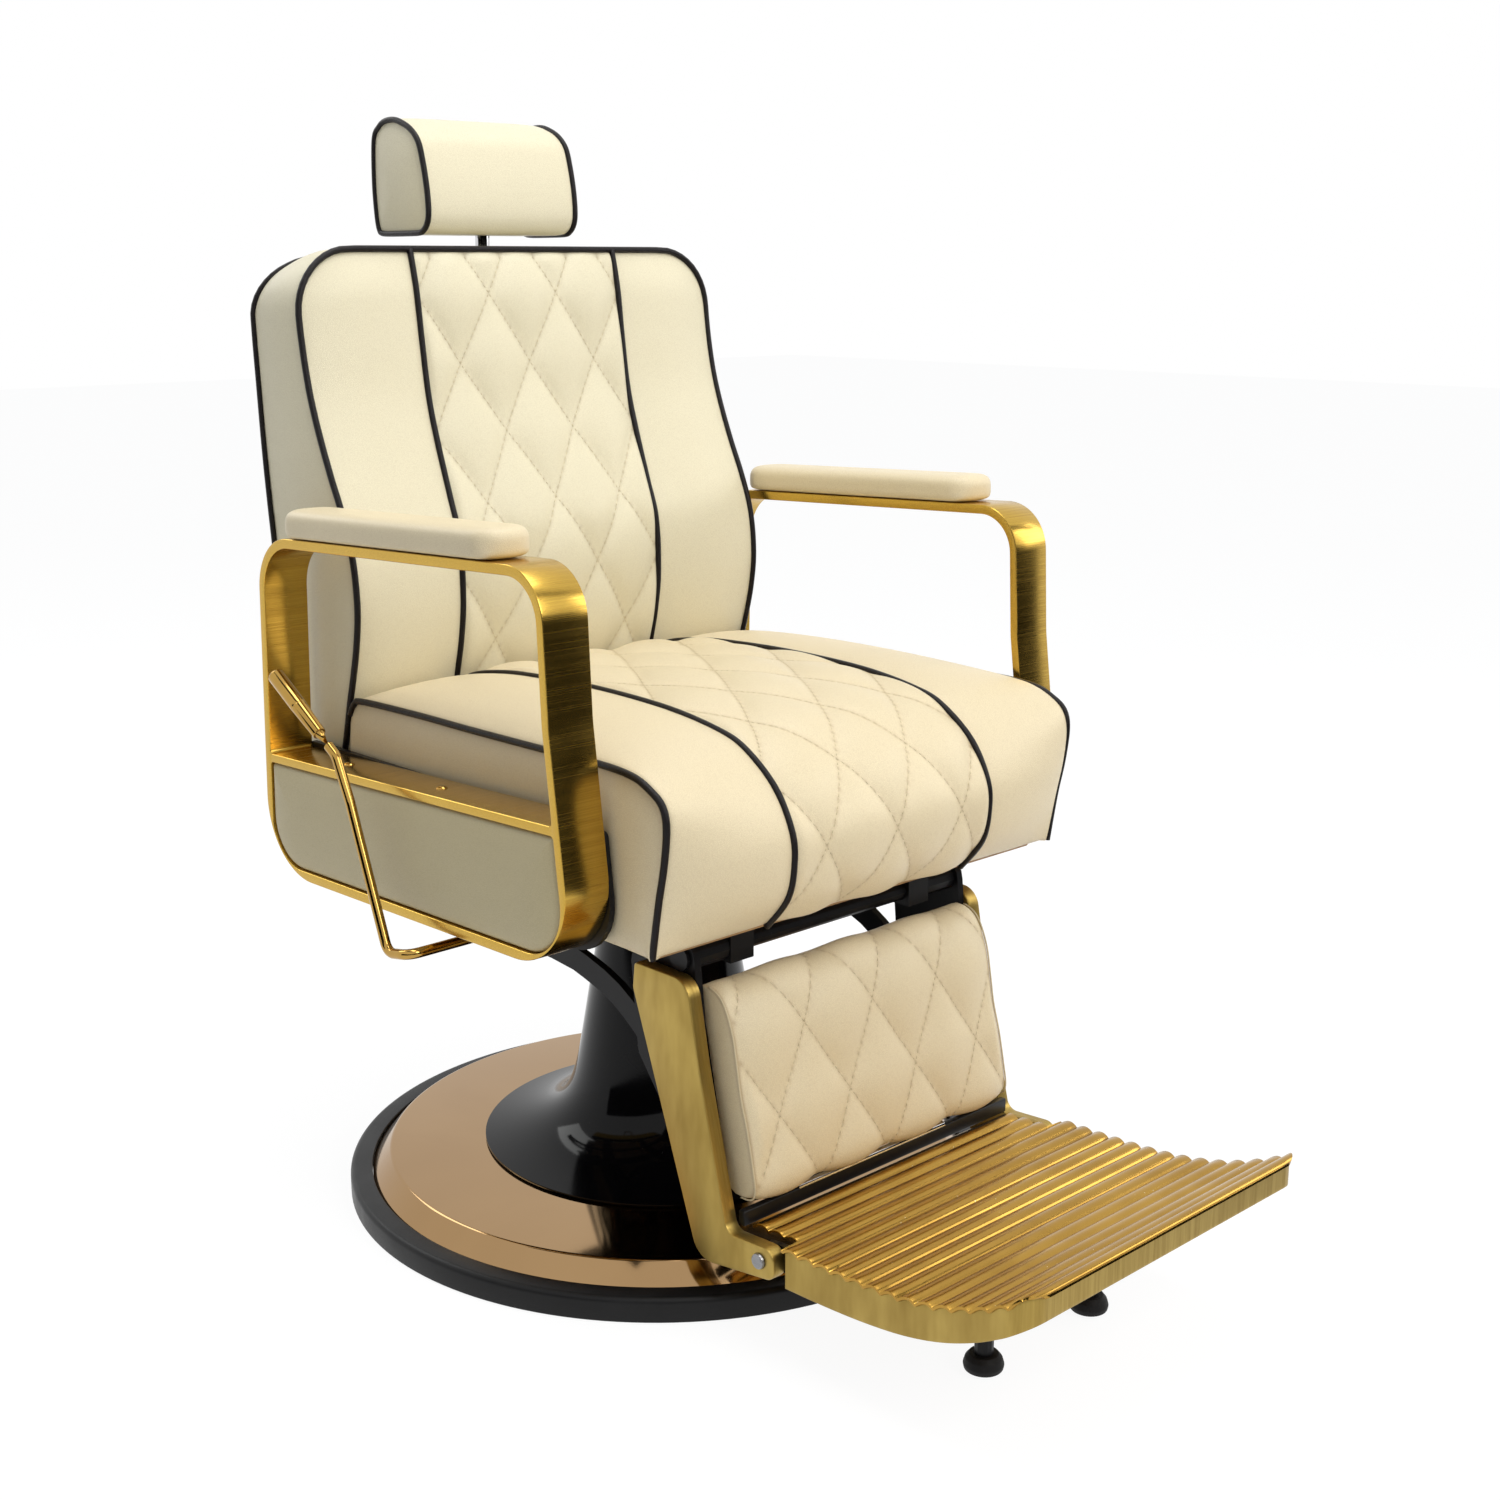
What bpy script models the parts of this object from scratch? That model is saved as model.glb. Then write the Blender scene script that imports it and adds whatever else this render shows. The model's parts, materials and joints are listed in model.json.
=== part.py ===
"""Hydraulic barber chair: pump base, reclining back, linked leg rest and folding footplate.

Metres, +Z up. The origin is the middle of the base on the floor, and the sitter looks along -Y.
Each object is one piece of the chair, and the empties stand on the joints' axes.
"""

import math

import bmesh
import bpy
from mathutils import Matrix, Vector

# Fits
SEAT_GAP = 0.0003  # between pieces that bear on each other
RUN_GAP = 0.0005  # between pieces that turn or slide on each other

# Widths, from the seat outward to the arms and the lever
SEAT_HALF_W = 0.2768
SEAT_SWELL_ROOM = 0.0067  # for the cushion's side, which swells under a sitter
SIDE_PLATE_T = 0.0059
ARM_W = 0.050
ARM_PAD_OUT = 0.0005
LEVER_CLEAR = 0.032
PAN_INSET = 0.0148
BACK_INSET = 0.0008
BACK_CARRIER_INSET = 0.026
CARRIER_X = SEAT_HALF_W + SEAT_SWELL_ROOM
ARM_X0 = CARRIER_X + SIDE_PLATE_T + 2 * SEAT_GAP
ARM_X1 = ARM_X0 + ARM_W
ARM_PAD_X = (ARM_X0 + ARM_X1) / 2 + ARM_PAD_OUT
LEVER_X = ARM_X1 + LEVER_CLEAR
PAN_HALF_W = SEAT_HALF_W - PAN_INSET
BACK_HALF_W = SEAT_HALF_W - BACK_INSET
BACK_CARRIER_X = BACK_HALF_W - BACK_CARRIER_INSET

# Base
BASE_R = 0.350
RING_H = 0.026
RING_BAND = 0.024
PLATE_T = 0.018
PLATE_LEDGE = 0.006
DISC_T = 0.0015
DISC_EDGE_Z = 0.0225
DISC_CREASE_IN = 0.020
DISC_CREASE_Z = 0.044
DISC_CROWN_Z = 0.047
DISC_CROWN_R = 0.190
HUB_H = 0.058
HUB_WALL = 0.009
HUB_FLANGE_R = 0.088
HUB_FLANGE_T = 0.009
HUB_BOLT_CIRCLE = 0.073
HUB_BOLT_R = 0.0065
HUB_BOLT_H = 0.0055
HUB_BOLTS = 6

# Pump column
CYLINDER_R = 0.046
CYLINDER_BORE_R = 0.0345
CYLINDER_TOP_Z = 0.318
CYLINDER_FLOOR_T = 0.012
WASHER_T = 0.003
GLAND_T = 0.010
GLAND_NECK = 0.022
COVER_T = 0.003
COVER_TOP_Z = 0.335
COVER_TOP_R = 0.066
COVER_TAPER = 0.165
COVER_FOOT_R = 0.203
COVER_FOOT_H = 0.003
COVER_FLARE_LENGTH = 0.018
RAM_R = 0.028
RAM_PISTON_H = 0.020
RAM_FLOOR_GAP = 0.046

# Pump pedal, in the column's radial plane
PEDAL_TURN = math.radians(45.0)
PEDAL_PIVOT_R = 0.062
PEDAL_PIVOT_Z = 0.145
PEDAL_ROD_R = 0.008
PEDAL_BOSS_R = 0.0125
PEDAL_PIN_R = 0.005
PEDAL_REACH = 0.375
PEDAL_DROP = 0.013
PEDAL_ELBOW_R = 0.130
PEDAL_TREAD_L = 0.078
PEDAL_TREAD_W = 0.092
PEDAL_TREAD_T = 0.013
PUMP_BLOCK_Z0 = 0.079
PUMP_BLOCK_Z1 = 0.116
PUMP_BLOCK_R = 0.0885
PUMP_BLOCK_W = 0.032
PUMP_EAR_R = 0.014
PUMP_EAR_GAP = 0.0184
PLUNGER_OFFSET = 0.019
PLUNGER_R = 0.006
PLUNGER_DEPTH = 0.024
PEDAL_SLOT_W = 0.027
PEDAL_SLOT_Z0 = 0.118
PEDAL_SLOT_Z1 = 0.160

# Seat frame under the seat
FRAME_Z0 = 0.3365
FRAME_Z1 = 0.3717
RAIL_IN = 0.110
RAIL_OUT = 0.140
RAIL_FRONT_Y = -0.252
RAIL_REAR_Y = 0.200
CROSS_W = 0.025
CROSS_FRONT_Y = -0.215
HUB_FLANGE_HALF = 0.090
HUB_FLANGE_H = 0.012
SEAT_HUB_R = 0.055
SEAT_HUB_Z0 = 0.3358
RAM_SOCKET_Z = 0.352
CARRIER_T = 0.006
CARRIER_W = 0.040
CARRIER_TOP_Z = 0.470
CARRIER_FRONT_Y = -0.080
CARRIER_REAR_Y = 0.100
PAN_FRONT_Y = -0.285
PAN_REAR_Y = 0.172

# Reclining linkage, in the side plane (y, z)
BACK_PIVOT = (0.230, 0.420)
LEG_PIVOT = (-0.238, 0.351)
LINK_ARM = 0.118
LINK_ARM_TILT = math.radians(25.0)
SHAFT_R = 0.010
SHAFT_COLLAR_R = 0.0135
LINK_T = 0.008
LINK_W = 0.025
LINK_PIN_R = 0.006
LINK_X = 0.1734  # inner face of the push links
PLATE_STEEL_T = 0.008
LINK_CLEAR = 0.0006  # round the front pin of each push link

# Armrest loops, in the side plane (y, z)
ARM_STRAP_T = 0.010
ARM_CORNERS = (
    ((0.2445, 0.3625), 0.077),
    ((0.2325, 0.7145), 0.058),
    ((-0.2320, 0.7322), 0.050),
    ((-0.2385, 0.5950), 0.150),
    ((-0.2665, 0.3740), 0.077),
)
ARM_BAR_REAR_Z = 0.4885
ARM_BAR_FRONT_Z = 0.5085
ARM_BAR_T = 0.009
SIDE_PANEL_CROWN = 0.006
ARM_PAD_W = 0.062
ARM_PAD_H = 0.029
ARM_PAD_Y0 = -0.164
ARM_PAD_Y1 = 0.186

# Upholstery
DIAMOND_W = 0.094
DIAMOND_H = 0.150
DIAMOND_PARTS = 6
QUILT_HALF_W = 0.1365
SEAT_QUILT_DEPTH = 0.007
SEAT_BOTTOM_Z = 0.385
SEAT_REAR_Y = 0.1755
BACK_BOTTOM_Z = 0.470
BACK_TOP_Z = 1.003
BACK_CORNER_R = 0.065
BACK_PANEL_T = 0.014
BACK_PANEL_GAP = 0.0008  # leaves room for the two curved faces' differing facets
HEADREST_HALF_W = 0.100
HEADREST_POST_Y = 0.3018
HEADREST_POST_R = 0.008
HEADREST_SLEEVE_WALL = 0.003
HEADREST_POST_FOOT_Z = BACK_TOP_Z - 0.138
HEADREST_SLEEVE_Z = BACK_TOP_Z - 0.128
HEADREST_BOTTOM_Z = BACK_TOP_Z + 0.008
CALF_HALF_W = 0.1812
CALF_QUILT_DEPTH = 0.007

# Leg rest
LEG_ARM_X = 0.1817  # inner face of the leg arms
LEG_BAR_X0 = 0.190
LEG_BAR_T = 0.016
LEG_BAR_CORNERS = (
    ((-0.1880, 0.3385), 0.005),
    ((-0.1850, 0.3120), 0.012),
    ((-0.2755, 0.0635), 0.024),
    ((-0.3795, 0.0795), 0.012),
    ((-0.3780, 0.1095), 0.012),
    ((-0.3160, 0.1050), 0.012),
    ((-0.2790, 0.2550), 0.120),
    ((-0.2630, 0.3385), 0.022),
)
CALF_BOARD_T = 0.008
CALF_BAR_R = 0.009
CALF_BAR_HEIGHTS = (0.185, 0.275)

# Footplate
FOOT_PIVOT = (-0.360, 0.094)
FOOT_HALF_W = 0.203
FOOT_HEEL_HALF_W = 0.1815
FOOT_HEEL_Y = -0.326
FOOT_STEP_Y = -0.386
FOOT_SHEET_T = 0.0025
FOOT_TOP = ((-0.326, 0.1085), (-0.386, 0.1125), (-0.440, 0.1145), (-0.490, 0.1175), (-0.535, 0.1225),
            (-0.575, 0.1310), (-0.610, 0.1430), (-0.640, 0.1570), (-0.668, 0.1720))
RIB_PITCH = 0.020
RIB_H = 0.004
SKIRT_T = 0.004
SKIRT_GAP = 0.0008  # under the tread, whose rib facets dip below its even curve
SKIRT_DEPTH = 0.034
SKIRT_DEPTH_FRONT = 0.022
LUG_T = 0.006
FOOT_LEG_X = 0.078
FOOT_LEG_Y = -0.522
FOOT_LEG_R = 0.009
FOOT_SCREW_R = 0.004
FOOT_SCREW_HEAD_R = 0.0055
FOOT_BRIDGE_T = 0.005
FOOT_BRIDGE_W = 0.034
FOOT_PAD_R = 0.019
FOOT_PAD_H = 0.016
FOOT_PAD_Z0 = 0.003

# Recline lever
LEVER_PIVOT = (-0.060, 0.352)
LEVER_R = 0.005
LEVER_IN_X = 0.104
LEVER_GRIP_R = 0.008
LEVER_GRIP_L = 0.062
LEVER_BEARING_X = CARRIER_X - 0.0335
LEVER_BEARING_W = 0.018

ROUND = 24  # facets round a turned piece
WIDE_ROUND = 40  # and round the base
SIDES = 12


# ---------------------------------------------------------------- outlines

def arc_corner(before, corner, after, radius, steps):
    """Points of the fillet that rounds one corner of a polygon."""
    corner = Vector(corner)
    to_before = Vector(before) - corner
    to_after = Vector(after) - corner
    half = to_before.angle(to_after) / 2.0
    room = 0.49 * min(to_before.length, to_after.length)
    back = min(radius / math.tan(half), room)
    radius = back * math.tan(half)
    start = corner + to_before.normalized() * back
    end = corner + to_after.normalized() * back
    middle = corner + (to_before.normalized() + to_after.normalized()).normalized() * (radius / math.sin(half))
    a = (start - middle).to_2d()
    sweep = a.angle_signed((end - middle).to_2d())
    points = []
    for step in range(steps + 1):
        turn = -sweep * step / steps
        points.append((middle.x + a.x * math.cos(turn) - a.y * math.sin(turn),
                       middle.y + a.x * math.sin(turn) + a.y * math.cos(turn)))
    return points


def filleted(corners, steps=5):
    """A closed outline from ((a, b), radius) corners."""
    count = len(corners)
    points = []
    for index, (corner, radius) in enumerate(corners):
        if radius <= 0.0:
            points.append(tuple(corner))
            continue
        before = corners[index - 1][0]
        after = corners[(index + 1) % count][0]
        points.extend(arc_corner(before, corner, after, radius, steps))
    return points


def signed_area(points):
    return sum(a[0] * b[1] - b[0] * a[1] for a, b in zip(points, points[1:] + points[:1])) / 2.0


def cross_point(a, b, c, d):
    """Where the lines a-b and c-d cross."""
    r = Vector(b) - Vector(a)
    s = Vector(d) - Vector(c)
    t = (Vector(c) - Vector(a)).cross(s) / r.cross(s)
    point = Vector(a) + r * t
    return point.x, point.y


def inset_corners(corners, distance):
    """The same filleted polygon, moved inward by a distance."""
    points = [Vector(corner) for corner, _ in corners]
    inward = 1.0 if signed_area([tuple(p) for p in points]) > 0.0 else -1.0
    lines = []
    for a, b in zip(points, points[1:] + points[:1]):
        along = (b - a).normalized()
        shift = Vector((-along.y, along.x)) * distance * inward
        lines.append((a + shift, b + shift))
    moved = []
    for index, (_, radius) in enumerate(corners):
        moved.append((cross_point(*lines[index - 1], *lines[index]), max(radius - distance, 0.001)))
    return moved


def inset_points(points, distance):
    """An outline whose every point moves inward along its mitre."""
    inward = 1.0 if signed_area(points) > 0.0 else -1.0
    moved = []
    for index, point in enumerate(points):
        before = Vector(point) - Vector(points[index - 1])
        after = Vector(points[(index + 1) % len(points)]) - Vector(point)
        one = Vector((-before.y, before.x)).normalized()
        two = Vector((-after.y, after.x)).normalized()
        mitre = (one + two).normalized()
        reach = distance * inward / max(mitre.dot(one), 0.3)
        moved.append((point[0] + mitre.x * reach, point[1] + mitre.y * reach))
    return moved


def hull(circles, steps=7):
    """The outline of a strap drawn tight round some circles ((a, b), radius)."""
    points = [
        (centre[0] + radius * math.cos(math.tau * step / (2 * steps)),
         centre[1] + radius * math.sin(math.tau * step / (2 * steps)))
        for centre, radius in circles
        for step in range(2 * steps)
    ]
    points.sort()
    chains = []
    for run in (points, points[::-1]):
        chain = []
        for point in run:
            while len(chain) > 1 and (Vector(chain[-1]) - Vector(chain[-2])).cross(
                    Vector(point) - Vector(chain[-1])) <= 1e-12:
                chain.pop()
            chain.append(point)
        chains.append(chain[:-1])
    return chains[0] + chains[1]


def circle(centre, radius, count=SIDES):
    """A round outline whose facets touch the true circle from outside."""
    radius = radius / math.cos(math.pi / count)
    return [
        (centre[0] + radius * math.cos(math.tau * step / count),
         centre[1] + radius * math.sin(math.tau * step / count))
        for step in range(count)
    ]


def ribbon(path, width, cap_steps=6):
    """A flat bar's outline: a smooth middle line with round ends."""
    middle = [Vector(p) for p in path]
    left, right = [], []
    for index, point in enumerate(middle):
        along = (middle[min(index + 1, len(middle) - 1)] - middle[max(index - 1, 0)]).normalized()
        side = Vector((-along.y, along.x)) * (width / 2.0)
        left.append(point + side)
        right.append(point - side)

    def cap(centre, start):
        return [centre + Matrix.Rotation(-math.pi * step / cap_steps, 2) @ (start - centre)
                for step in range(1, cap_steps)]

    outline = left + cap(middle[-1], left[-1]) + right[::-1] + cap(middle[0], right[0])
    return [(p.x, p.y) for p in outline]


def smooth_path(points, parts):
    """Points of a Catmull-Rom curve through the given ones."""
    points = [Vector(p) for p in points]
    ends = [points[0] * 2 - points[1], *points, points[-1] * 2 - points[-2]]
    out = []
    for i in range(1, len(ends) - 2):
        a, b, c, d = ends[i - 1:i + 3]
        for part in range(parts):
            t = part / parts
            out.append(0.5 * ((2 * b) + (c - a) * t + (2 * a - 5 * b + 4 * c - d) * t * t
                              + (3 * b - a - 3 * c + d) * t ** 3))
    out.append(points[-1])
    return out


def height_at(knots, place):
    """A smooth height through (place, height) knots."""
    knots = sorted(knots)
    if place <= knots[0][0]:
        low, high = knots[0], knots[1]
        return low[1] + (high[1] - low[1]) * (place - low[0]) / (high[0] - low[0])
    if place >= knots[-1][0]:
        low, high = knots[-2], knots[-1]
        return high[1] + (high[1] - low[1]) * (place - high[0]) / (high[0] - low[0])
    for index in range(len(knots) - 1):
        if knots[index][0] <= place <= knots[index + 1][0]:
            break

    def slope(i):
        a, b = knots[max(i - 1, 0)], knots[min(i + 1, len(knots) - 1)]
        return (b[1] - a[1]) / (b[0] - a[0])

    (x0, y0), (x1, y1) = knots[index], knots[index + 1]
    span = x1 - x0
    t = (place - x0) / span
    return ((2 * t ** 3 - 3 * t * t + 1) * y0 + (t ** 3 - 2 * t * t + t) * span * slope(index)
            + (3 * t * t - 2 * t ** 3) * y1 + (t ** 3 - t * t) * span * slope(index + 1))


# ---------------------------------------------------------------- objects

def finish_mesh(bm, name, paint, sharp=35.0):
    """Turns a bmesh into a named object with its material."""
    bmesh.ops.recalc_face_normals(bm, faces=bm.faces)
    mesh = bpy.data.meshes.new(name)
    bm.to_mesh(mesh)
    bm.free()
    mesh.shade_smooth()
    mesh.set_sharp_from_angle(angle=math.radians(sharp))
    thing = bpy.data.objects.new(name, mesh)
    bpy.context.collection.objects.link(thing)
    thing.data.materials.append(paint_of(name, *paint))
    return thing


def paint_of(name, color, roughness, metallic):
    paint = bpy.data.materials.new(name)
    paint.use_nodes = True
    shader = paint.node_tree.nodes["Principled BSDF"]
    shader.inputs["Base Color"].default_value = (*color, 1.0)
    shader.inputs["Roughness"].default_value = roughness
    shader.inputs["Metallic"].default_value = metallic
    return paint


LEATHER = ((0.80, 0.68, 0.48), 0.45, 0.0)
GOLD = ((0.42, 0.28, 0.10), 0.30, 1.0)
BRONZE = ((0.33, 0.22, 0.12), 0.35, 1.0)
BLACK = ((0.012, 0.011, 0.012), 0.25, 0.0)
BLACK_STEEL = ((0.02, 0.02, 0.02), 0.40, 0.6)
RUBBER = ((0.015, 0.015, 0.015), 0.75, 0.0)
STEEL = ((0.55, 0.55, 0.56), 0.30, 1.0)
CHROME = ((0.75, 0.75, 0.76), 0.12, 1.0)
PLY = ((0.45, 0.31, 0.17), 0.70, 0.0)


def side_place(x=0.0):
    """Stands an outline of (y, z) points in the side plane."""
    return Matrix.Translation((x, 0.0, 0.0)) @ Matrix(((0, 0, 1, 0), (1, 0, 0, 0), (0, 1, 0, 0), (0, 0, 0, 1)))


def front_place(y=0.0):
    """Stands an outline of (x, z) points in the front plane, its depth towards -Y."""
    return Matrix.Translation((0.0, y, 0.0)) @ Matrix.Rotation(math.pi / 2, 4, "X")


def plate(name, paint, loops, low, high, place=None, chamfer=0.0):
    """A flat piece from an outline and its holes, with an even chamfer on every edge."""
    bm = bmesh.new()
    levels = [(low, chamfer), (low + chamfer, 0.0), (high - chamfer, 0.0), (high, chamfer)]
    if chamfer <= 0.0:
        levels = [(low, 0.0), (high, 0.0)]
    rims = {low: [], high: []}
    for number, loop in enumerate(loops):
        rings = []
        for height, step in levels:
            points = inset_points(list(loop), step if number == 0 else -step) if step else loop
            ring = [bm.verts.new((p[0], p[1], height)) for p in points]
            rings.append(ring)
        for one, two in zip(rings, rings[1:]):
            for i in range(len(one)):
                j = (i + 1) % len(one)
                bm.faces.new((one[i], one[j], two[j], two[i]))
        for ring, height in ((rings[0], low), (rings[-1], high)):
            for i in range(len(ring)):
                rims[height].append(bm.edges.get((ring[i], ring[(i + 1) % len(ring)])))
    for height in (low, high):
        bmesh.ops.triangle_fill(bm, use_beauty=True, use_dissolve=False, edges=rims[height])
    if place is not None:
        bmesh.ops.transform(bm, matrix=place, verts=bm.verts)
    return finish_mesh(bm, name, paint)


def turned_into(bm, profile, place, steps):
    """Adds a closed (r, z) profile, turned about Z and then placed."""
    part = bmesh.new()
    verts = [part.verts.new((r, 0.0, z)) for r, z in profile]
    edges = [part.edges.new((a, b)) for a, b in zip(verts, verts[1:] + verts[:1])
             if a.co.x > 1e-7 or b.co.x > 1e-7]
    bmesh.ops.spin(part, geom=verts + edges, axis=(0, 0, 1), cent=(0, 0, 0), angle=math.tau,
                   steps=steps, use_merge=True)
    bmesh.ops.remove_doubles(part, verts=part.verts, dist=1e-6)
    bmesh.ops.recalc_face_normals(part, faces=part.faces)
    bmesh.ops.transform(part, matrix=place, verts=part.verts)
    mesh = bpy.data.meshes.new("turned")
    part.to_mesh(mesh)
    part.free()
    bm.from_mesh(mesh)
    bpy.data.meshes.remove(mesh)


def turned(name, paint, profile, places=None, steps=ROUND, sharp=35.0):
    """A turned piece, or a group of equal ones."""
    bm = bmesh.new()
    for place in places or [Matrix.Identity(4)]:
        turned_into(bm, profile, place, steps)
    return finish_mesh(bm, name, paint, sharp)


def rod_profile(radius, low, high):
    return [(0.0, low), (radius, low), (radius, high), (0.0, high)]


def tube_profile(inner, outer, low, high):
    return [(inner, low), (outer, low), (outer, high), (inner, high)]


def sheet_profile(line, thickness):
    """A turned sheet: the outer line and the same line moved inward."""
    inner = []
    for index, point in enumerate(line):
        before = Vector(point) - Vector(line[max(index - 1, 0)])
        after = Vector(line[min(index + 1, len(line) - 1)]) - Vector(point)
        if before.length < 1e-9:
            before = after
        if after.length < 1e-9:
            after = before
        one = Vector((-before.y, before.x)).normalized()
        two = Vector((-after.y, after.x)).normalized()
        mitre = (one + two).normalized()
        reach = thickness / max(mitre.dot(one), 0.35)
        inner.append((point[0] + mitre.x * reach, point[1] + mitre.y * reach))
    return list(line) + inner[::-1]


def along_x(x=0.0, y=0.0, z=0.0):
    """Turns a Z profile to lie along +X at a point."""
    return Matrix.Translation((x, y, z)) @ Matrix.Rotation(math.pi / 2, 4, "Y")


def rod(name, paint, points, radius, sides=4):
    """A bent rod: a curve with a round bevel and closed ends."""
    curve = bpy.data.curves.new(name, "CURVE")
    curve.dimensions = "3D"
    curve.bevel_depth = radius
    curve.bevel_resolution = sides
    curve.use_fill_caps = True
    spline = curve.splines.new("POLY")
    spline.points.add(len(points) - 1)
    for slot, point in zip(spline.points, points):
        slot.co = (*point, 1.0)
    spline.use_smooth = True
    thing = bpy.data.objects.new(name, curve)
    bpy.context.collection.objects.link(thing)
    curve.materials.append(paint_of(name, *paint))
    return thing


def bent(points, radius, steps=6):
    """A 3-D path with its inner corners rounded."""
    points = [Vector(p) for p in points]
    path = [points[0]]
    for before, corner, after in zip(points, points[1:], points[2:]):
        one, two = (before - corner), (after - corner)
        half = one.angle(two) / 2.0
        back = min(radius / math.tan(half), 0.45 * min(one.length, two.length))
        start, end = corner + one.normalized() * back, corner + two.normalized() * back
        for step in range(steps + 1):
            t = step / steps
            path.append(start * (1 - t) ** 2 + corner * 2 * t * (1 - t) + end * t * t)
    path.append(points[-1])
    return path


def box(name, paint, low, high, chamfer=0.001):
    bm = bmesh.new()
    bmesh.ops.create_cube(bm, size=1.0)
    size = Vector(high) - Vector(low)
    bmesh.ops.transform(bm, verts=bm.verts, matrix=Matrix.Translation((Vector(high) + Vector(low)) / 2)
                        @ Matrix.Diagonal((*size, 1.0)))
    if chamfer > 0.0:
        bmesh.ops.bevel(bm, geom=bm.edges[:], offset=chamfer, segments=1, affect="EDGES", profile=0.5)
    return finish_mesh(bm, name, paint)


def loft(name, paint, rings, diagonal=None, sharp=50.0):
    """A skin over equal closed rings, with both ends filled."""
    bm = bmesh.new()
    rows = [[bm.verts.new(p) for p in ring] for ring in rings]
    count = len(rows[0])
    for i, (one, two) in enumerate(zip(rows, rows[1:])):
        for j in range(count):
            k = (j + 1) % count
            a, b, c, d = one[j], one[k], two[k], two[j]
            way = diagonal(i, j) if diagonal else None
            if way is None:
                bm.faces.new((a, b, c, d))
            elif way:
                bm.faces.new((a, b, c))
                bm.faces.new((a, c, d))
            else:
                bm.faces.new((a, b, d))
                bm.faces.new((b, c, d))
    for row in (rows[0], rows[-1]):
        bmesh.ops.triangle_fill(bm, use_beauty=True,
                                edges=[bm.edges.get((row[j], row[(j + 1) % count])) for j in range(count)])
    return finish_mesh(bm, name, paint, sharp)


def round_tube(name, paint, points, radius, count=8):
    """A bent round bar as a mesh, for welding to another piece."""
    points = [Vector(p) for p in points]
    rings = []
    for index, point in enumerate(points):
        along = (points[min(index + 1, len(points) - 1)] - points[max(index - 1, 0)]).normalized()
        turn = Vector((1.0, 0.0, 0.0)).rotation_difference(along)
        rings.append([point + turn @ Vector((0.0, radius * math.cos(math.tau * i / count),
                                             radius * math.sin(math.tau * i / count))) for i in range(count)])
    return loft(name, paint, rings)


def cutter_mesh(name, bm):
    mesh = bpy.data.meshes.new(name)
    bmesh.ops.recalc_face_normals(bm, faces=bm.faces)
    bm.to_mesh(mesh)
    bm.free()
    thing = bpy.data.objects.new(name, mesh)
    bpy.context.collection.objects.link(thing)
    thing.hide_render = True
    thing.display_type = "WIRE"
    return thing


def round_cutter(name, radius, low, high, place, steps=SIDES * 2):
    bm = bmesh.new()
    outer = radius / math.cos(math.pi / steps)
    turned_into(bm, [(0.0, low), (outer, low), (outer, high), (0.0, high)], place, steps)
    return cutter_mesh(name, bm)


def box_cutter(name, low, high, place=None):
    bm = bmesh.new()
    bmesh.ops.create_cube(bm, size=1.0)
    size = Vector(high) - Vector(low)
    bmesh.ops.transform(bm, verts=bm.verts, matrix=(place or Matrix.Identity(4)) @ Matrix.Translation(
        (Vector(high) + Vector(low)) / 2) @ Matrix.Diagonal((*size, 1.0)))
    return cutter_mesh(name, bm)


def boolean(thing, other, operation="DIFFERENCE"):
    step = thing.modifiers.new(other.name, "BOOLEAN")
    step.operation = operation
    step.object = other
    step.solver = "EXACT"


def joined(thing, other):
    """Welds another solid onto a piece."""
    other.hide_render = True
    other.display_type = "WIRE"
    boolean(thing, other, "UNION")


def joint(name, place, parent=None):
    """An empty on a joint's axis."""
    empty = bpy.data.objects.new(name, None)
    empty.empty_display_size = 0.05
    bpy.context.collection.objects.link(empty)
    empty.location = place
    if parent is not None:
        empty.parent = parent
        empty.matrix_parent_inverse = Matrix.Translation(-WORLD[parent.name])
    WORLD[name] = Vector(place)
    return empty


WORLD = {}


def carry(empty, *things):
    """Hangs pieces, with their cutters, on a joint without moving them."""
    for thing in things:
        thing.parent = empty
        thing.matrix_parent_inverse = Matrix.Translation(-WORLD[empty.name])
        for step in thing.modifiers:
            if step.type == "BOOLEAN":
                step.object.parent = empty
                step.object.matrix_parent_inverse = Matrix.Translation(-WORLD[empty.name])


# ---------------------------------------------------------------- base

PLATE_R = BASE_R - RING_BAND - PLATE_LEDGE
DISC_R = BASE_R - RING_BAND
HUB_BORE_R = CYLINDER_R + RUN_GAP
HUB_R = HUB_BORE_R + HUB_WALL
HUB_Z0 = PLATE_T + SEAT_GAP
CYLINDER_Z0 = HUB_Z0 + WASHER_T + SEAT_GAP


def disc_height(radius):
    """Top of the base disc at a radius inside its crease."""
    crease = DISC_R - DISC_CREASE_IN
    share = min(max((crease - radius) / (crease - DISC_CROWN_R), 0.0), 1.0)
    return DISC_CREASE_Z + (DISC_CROWN_Z - DISC_CREASE_Z) * share


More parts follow.
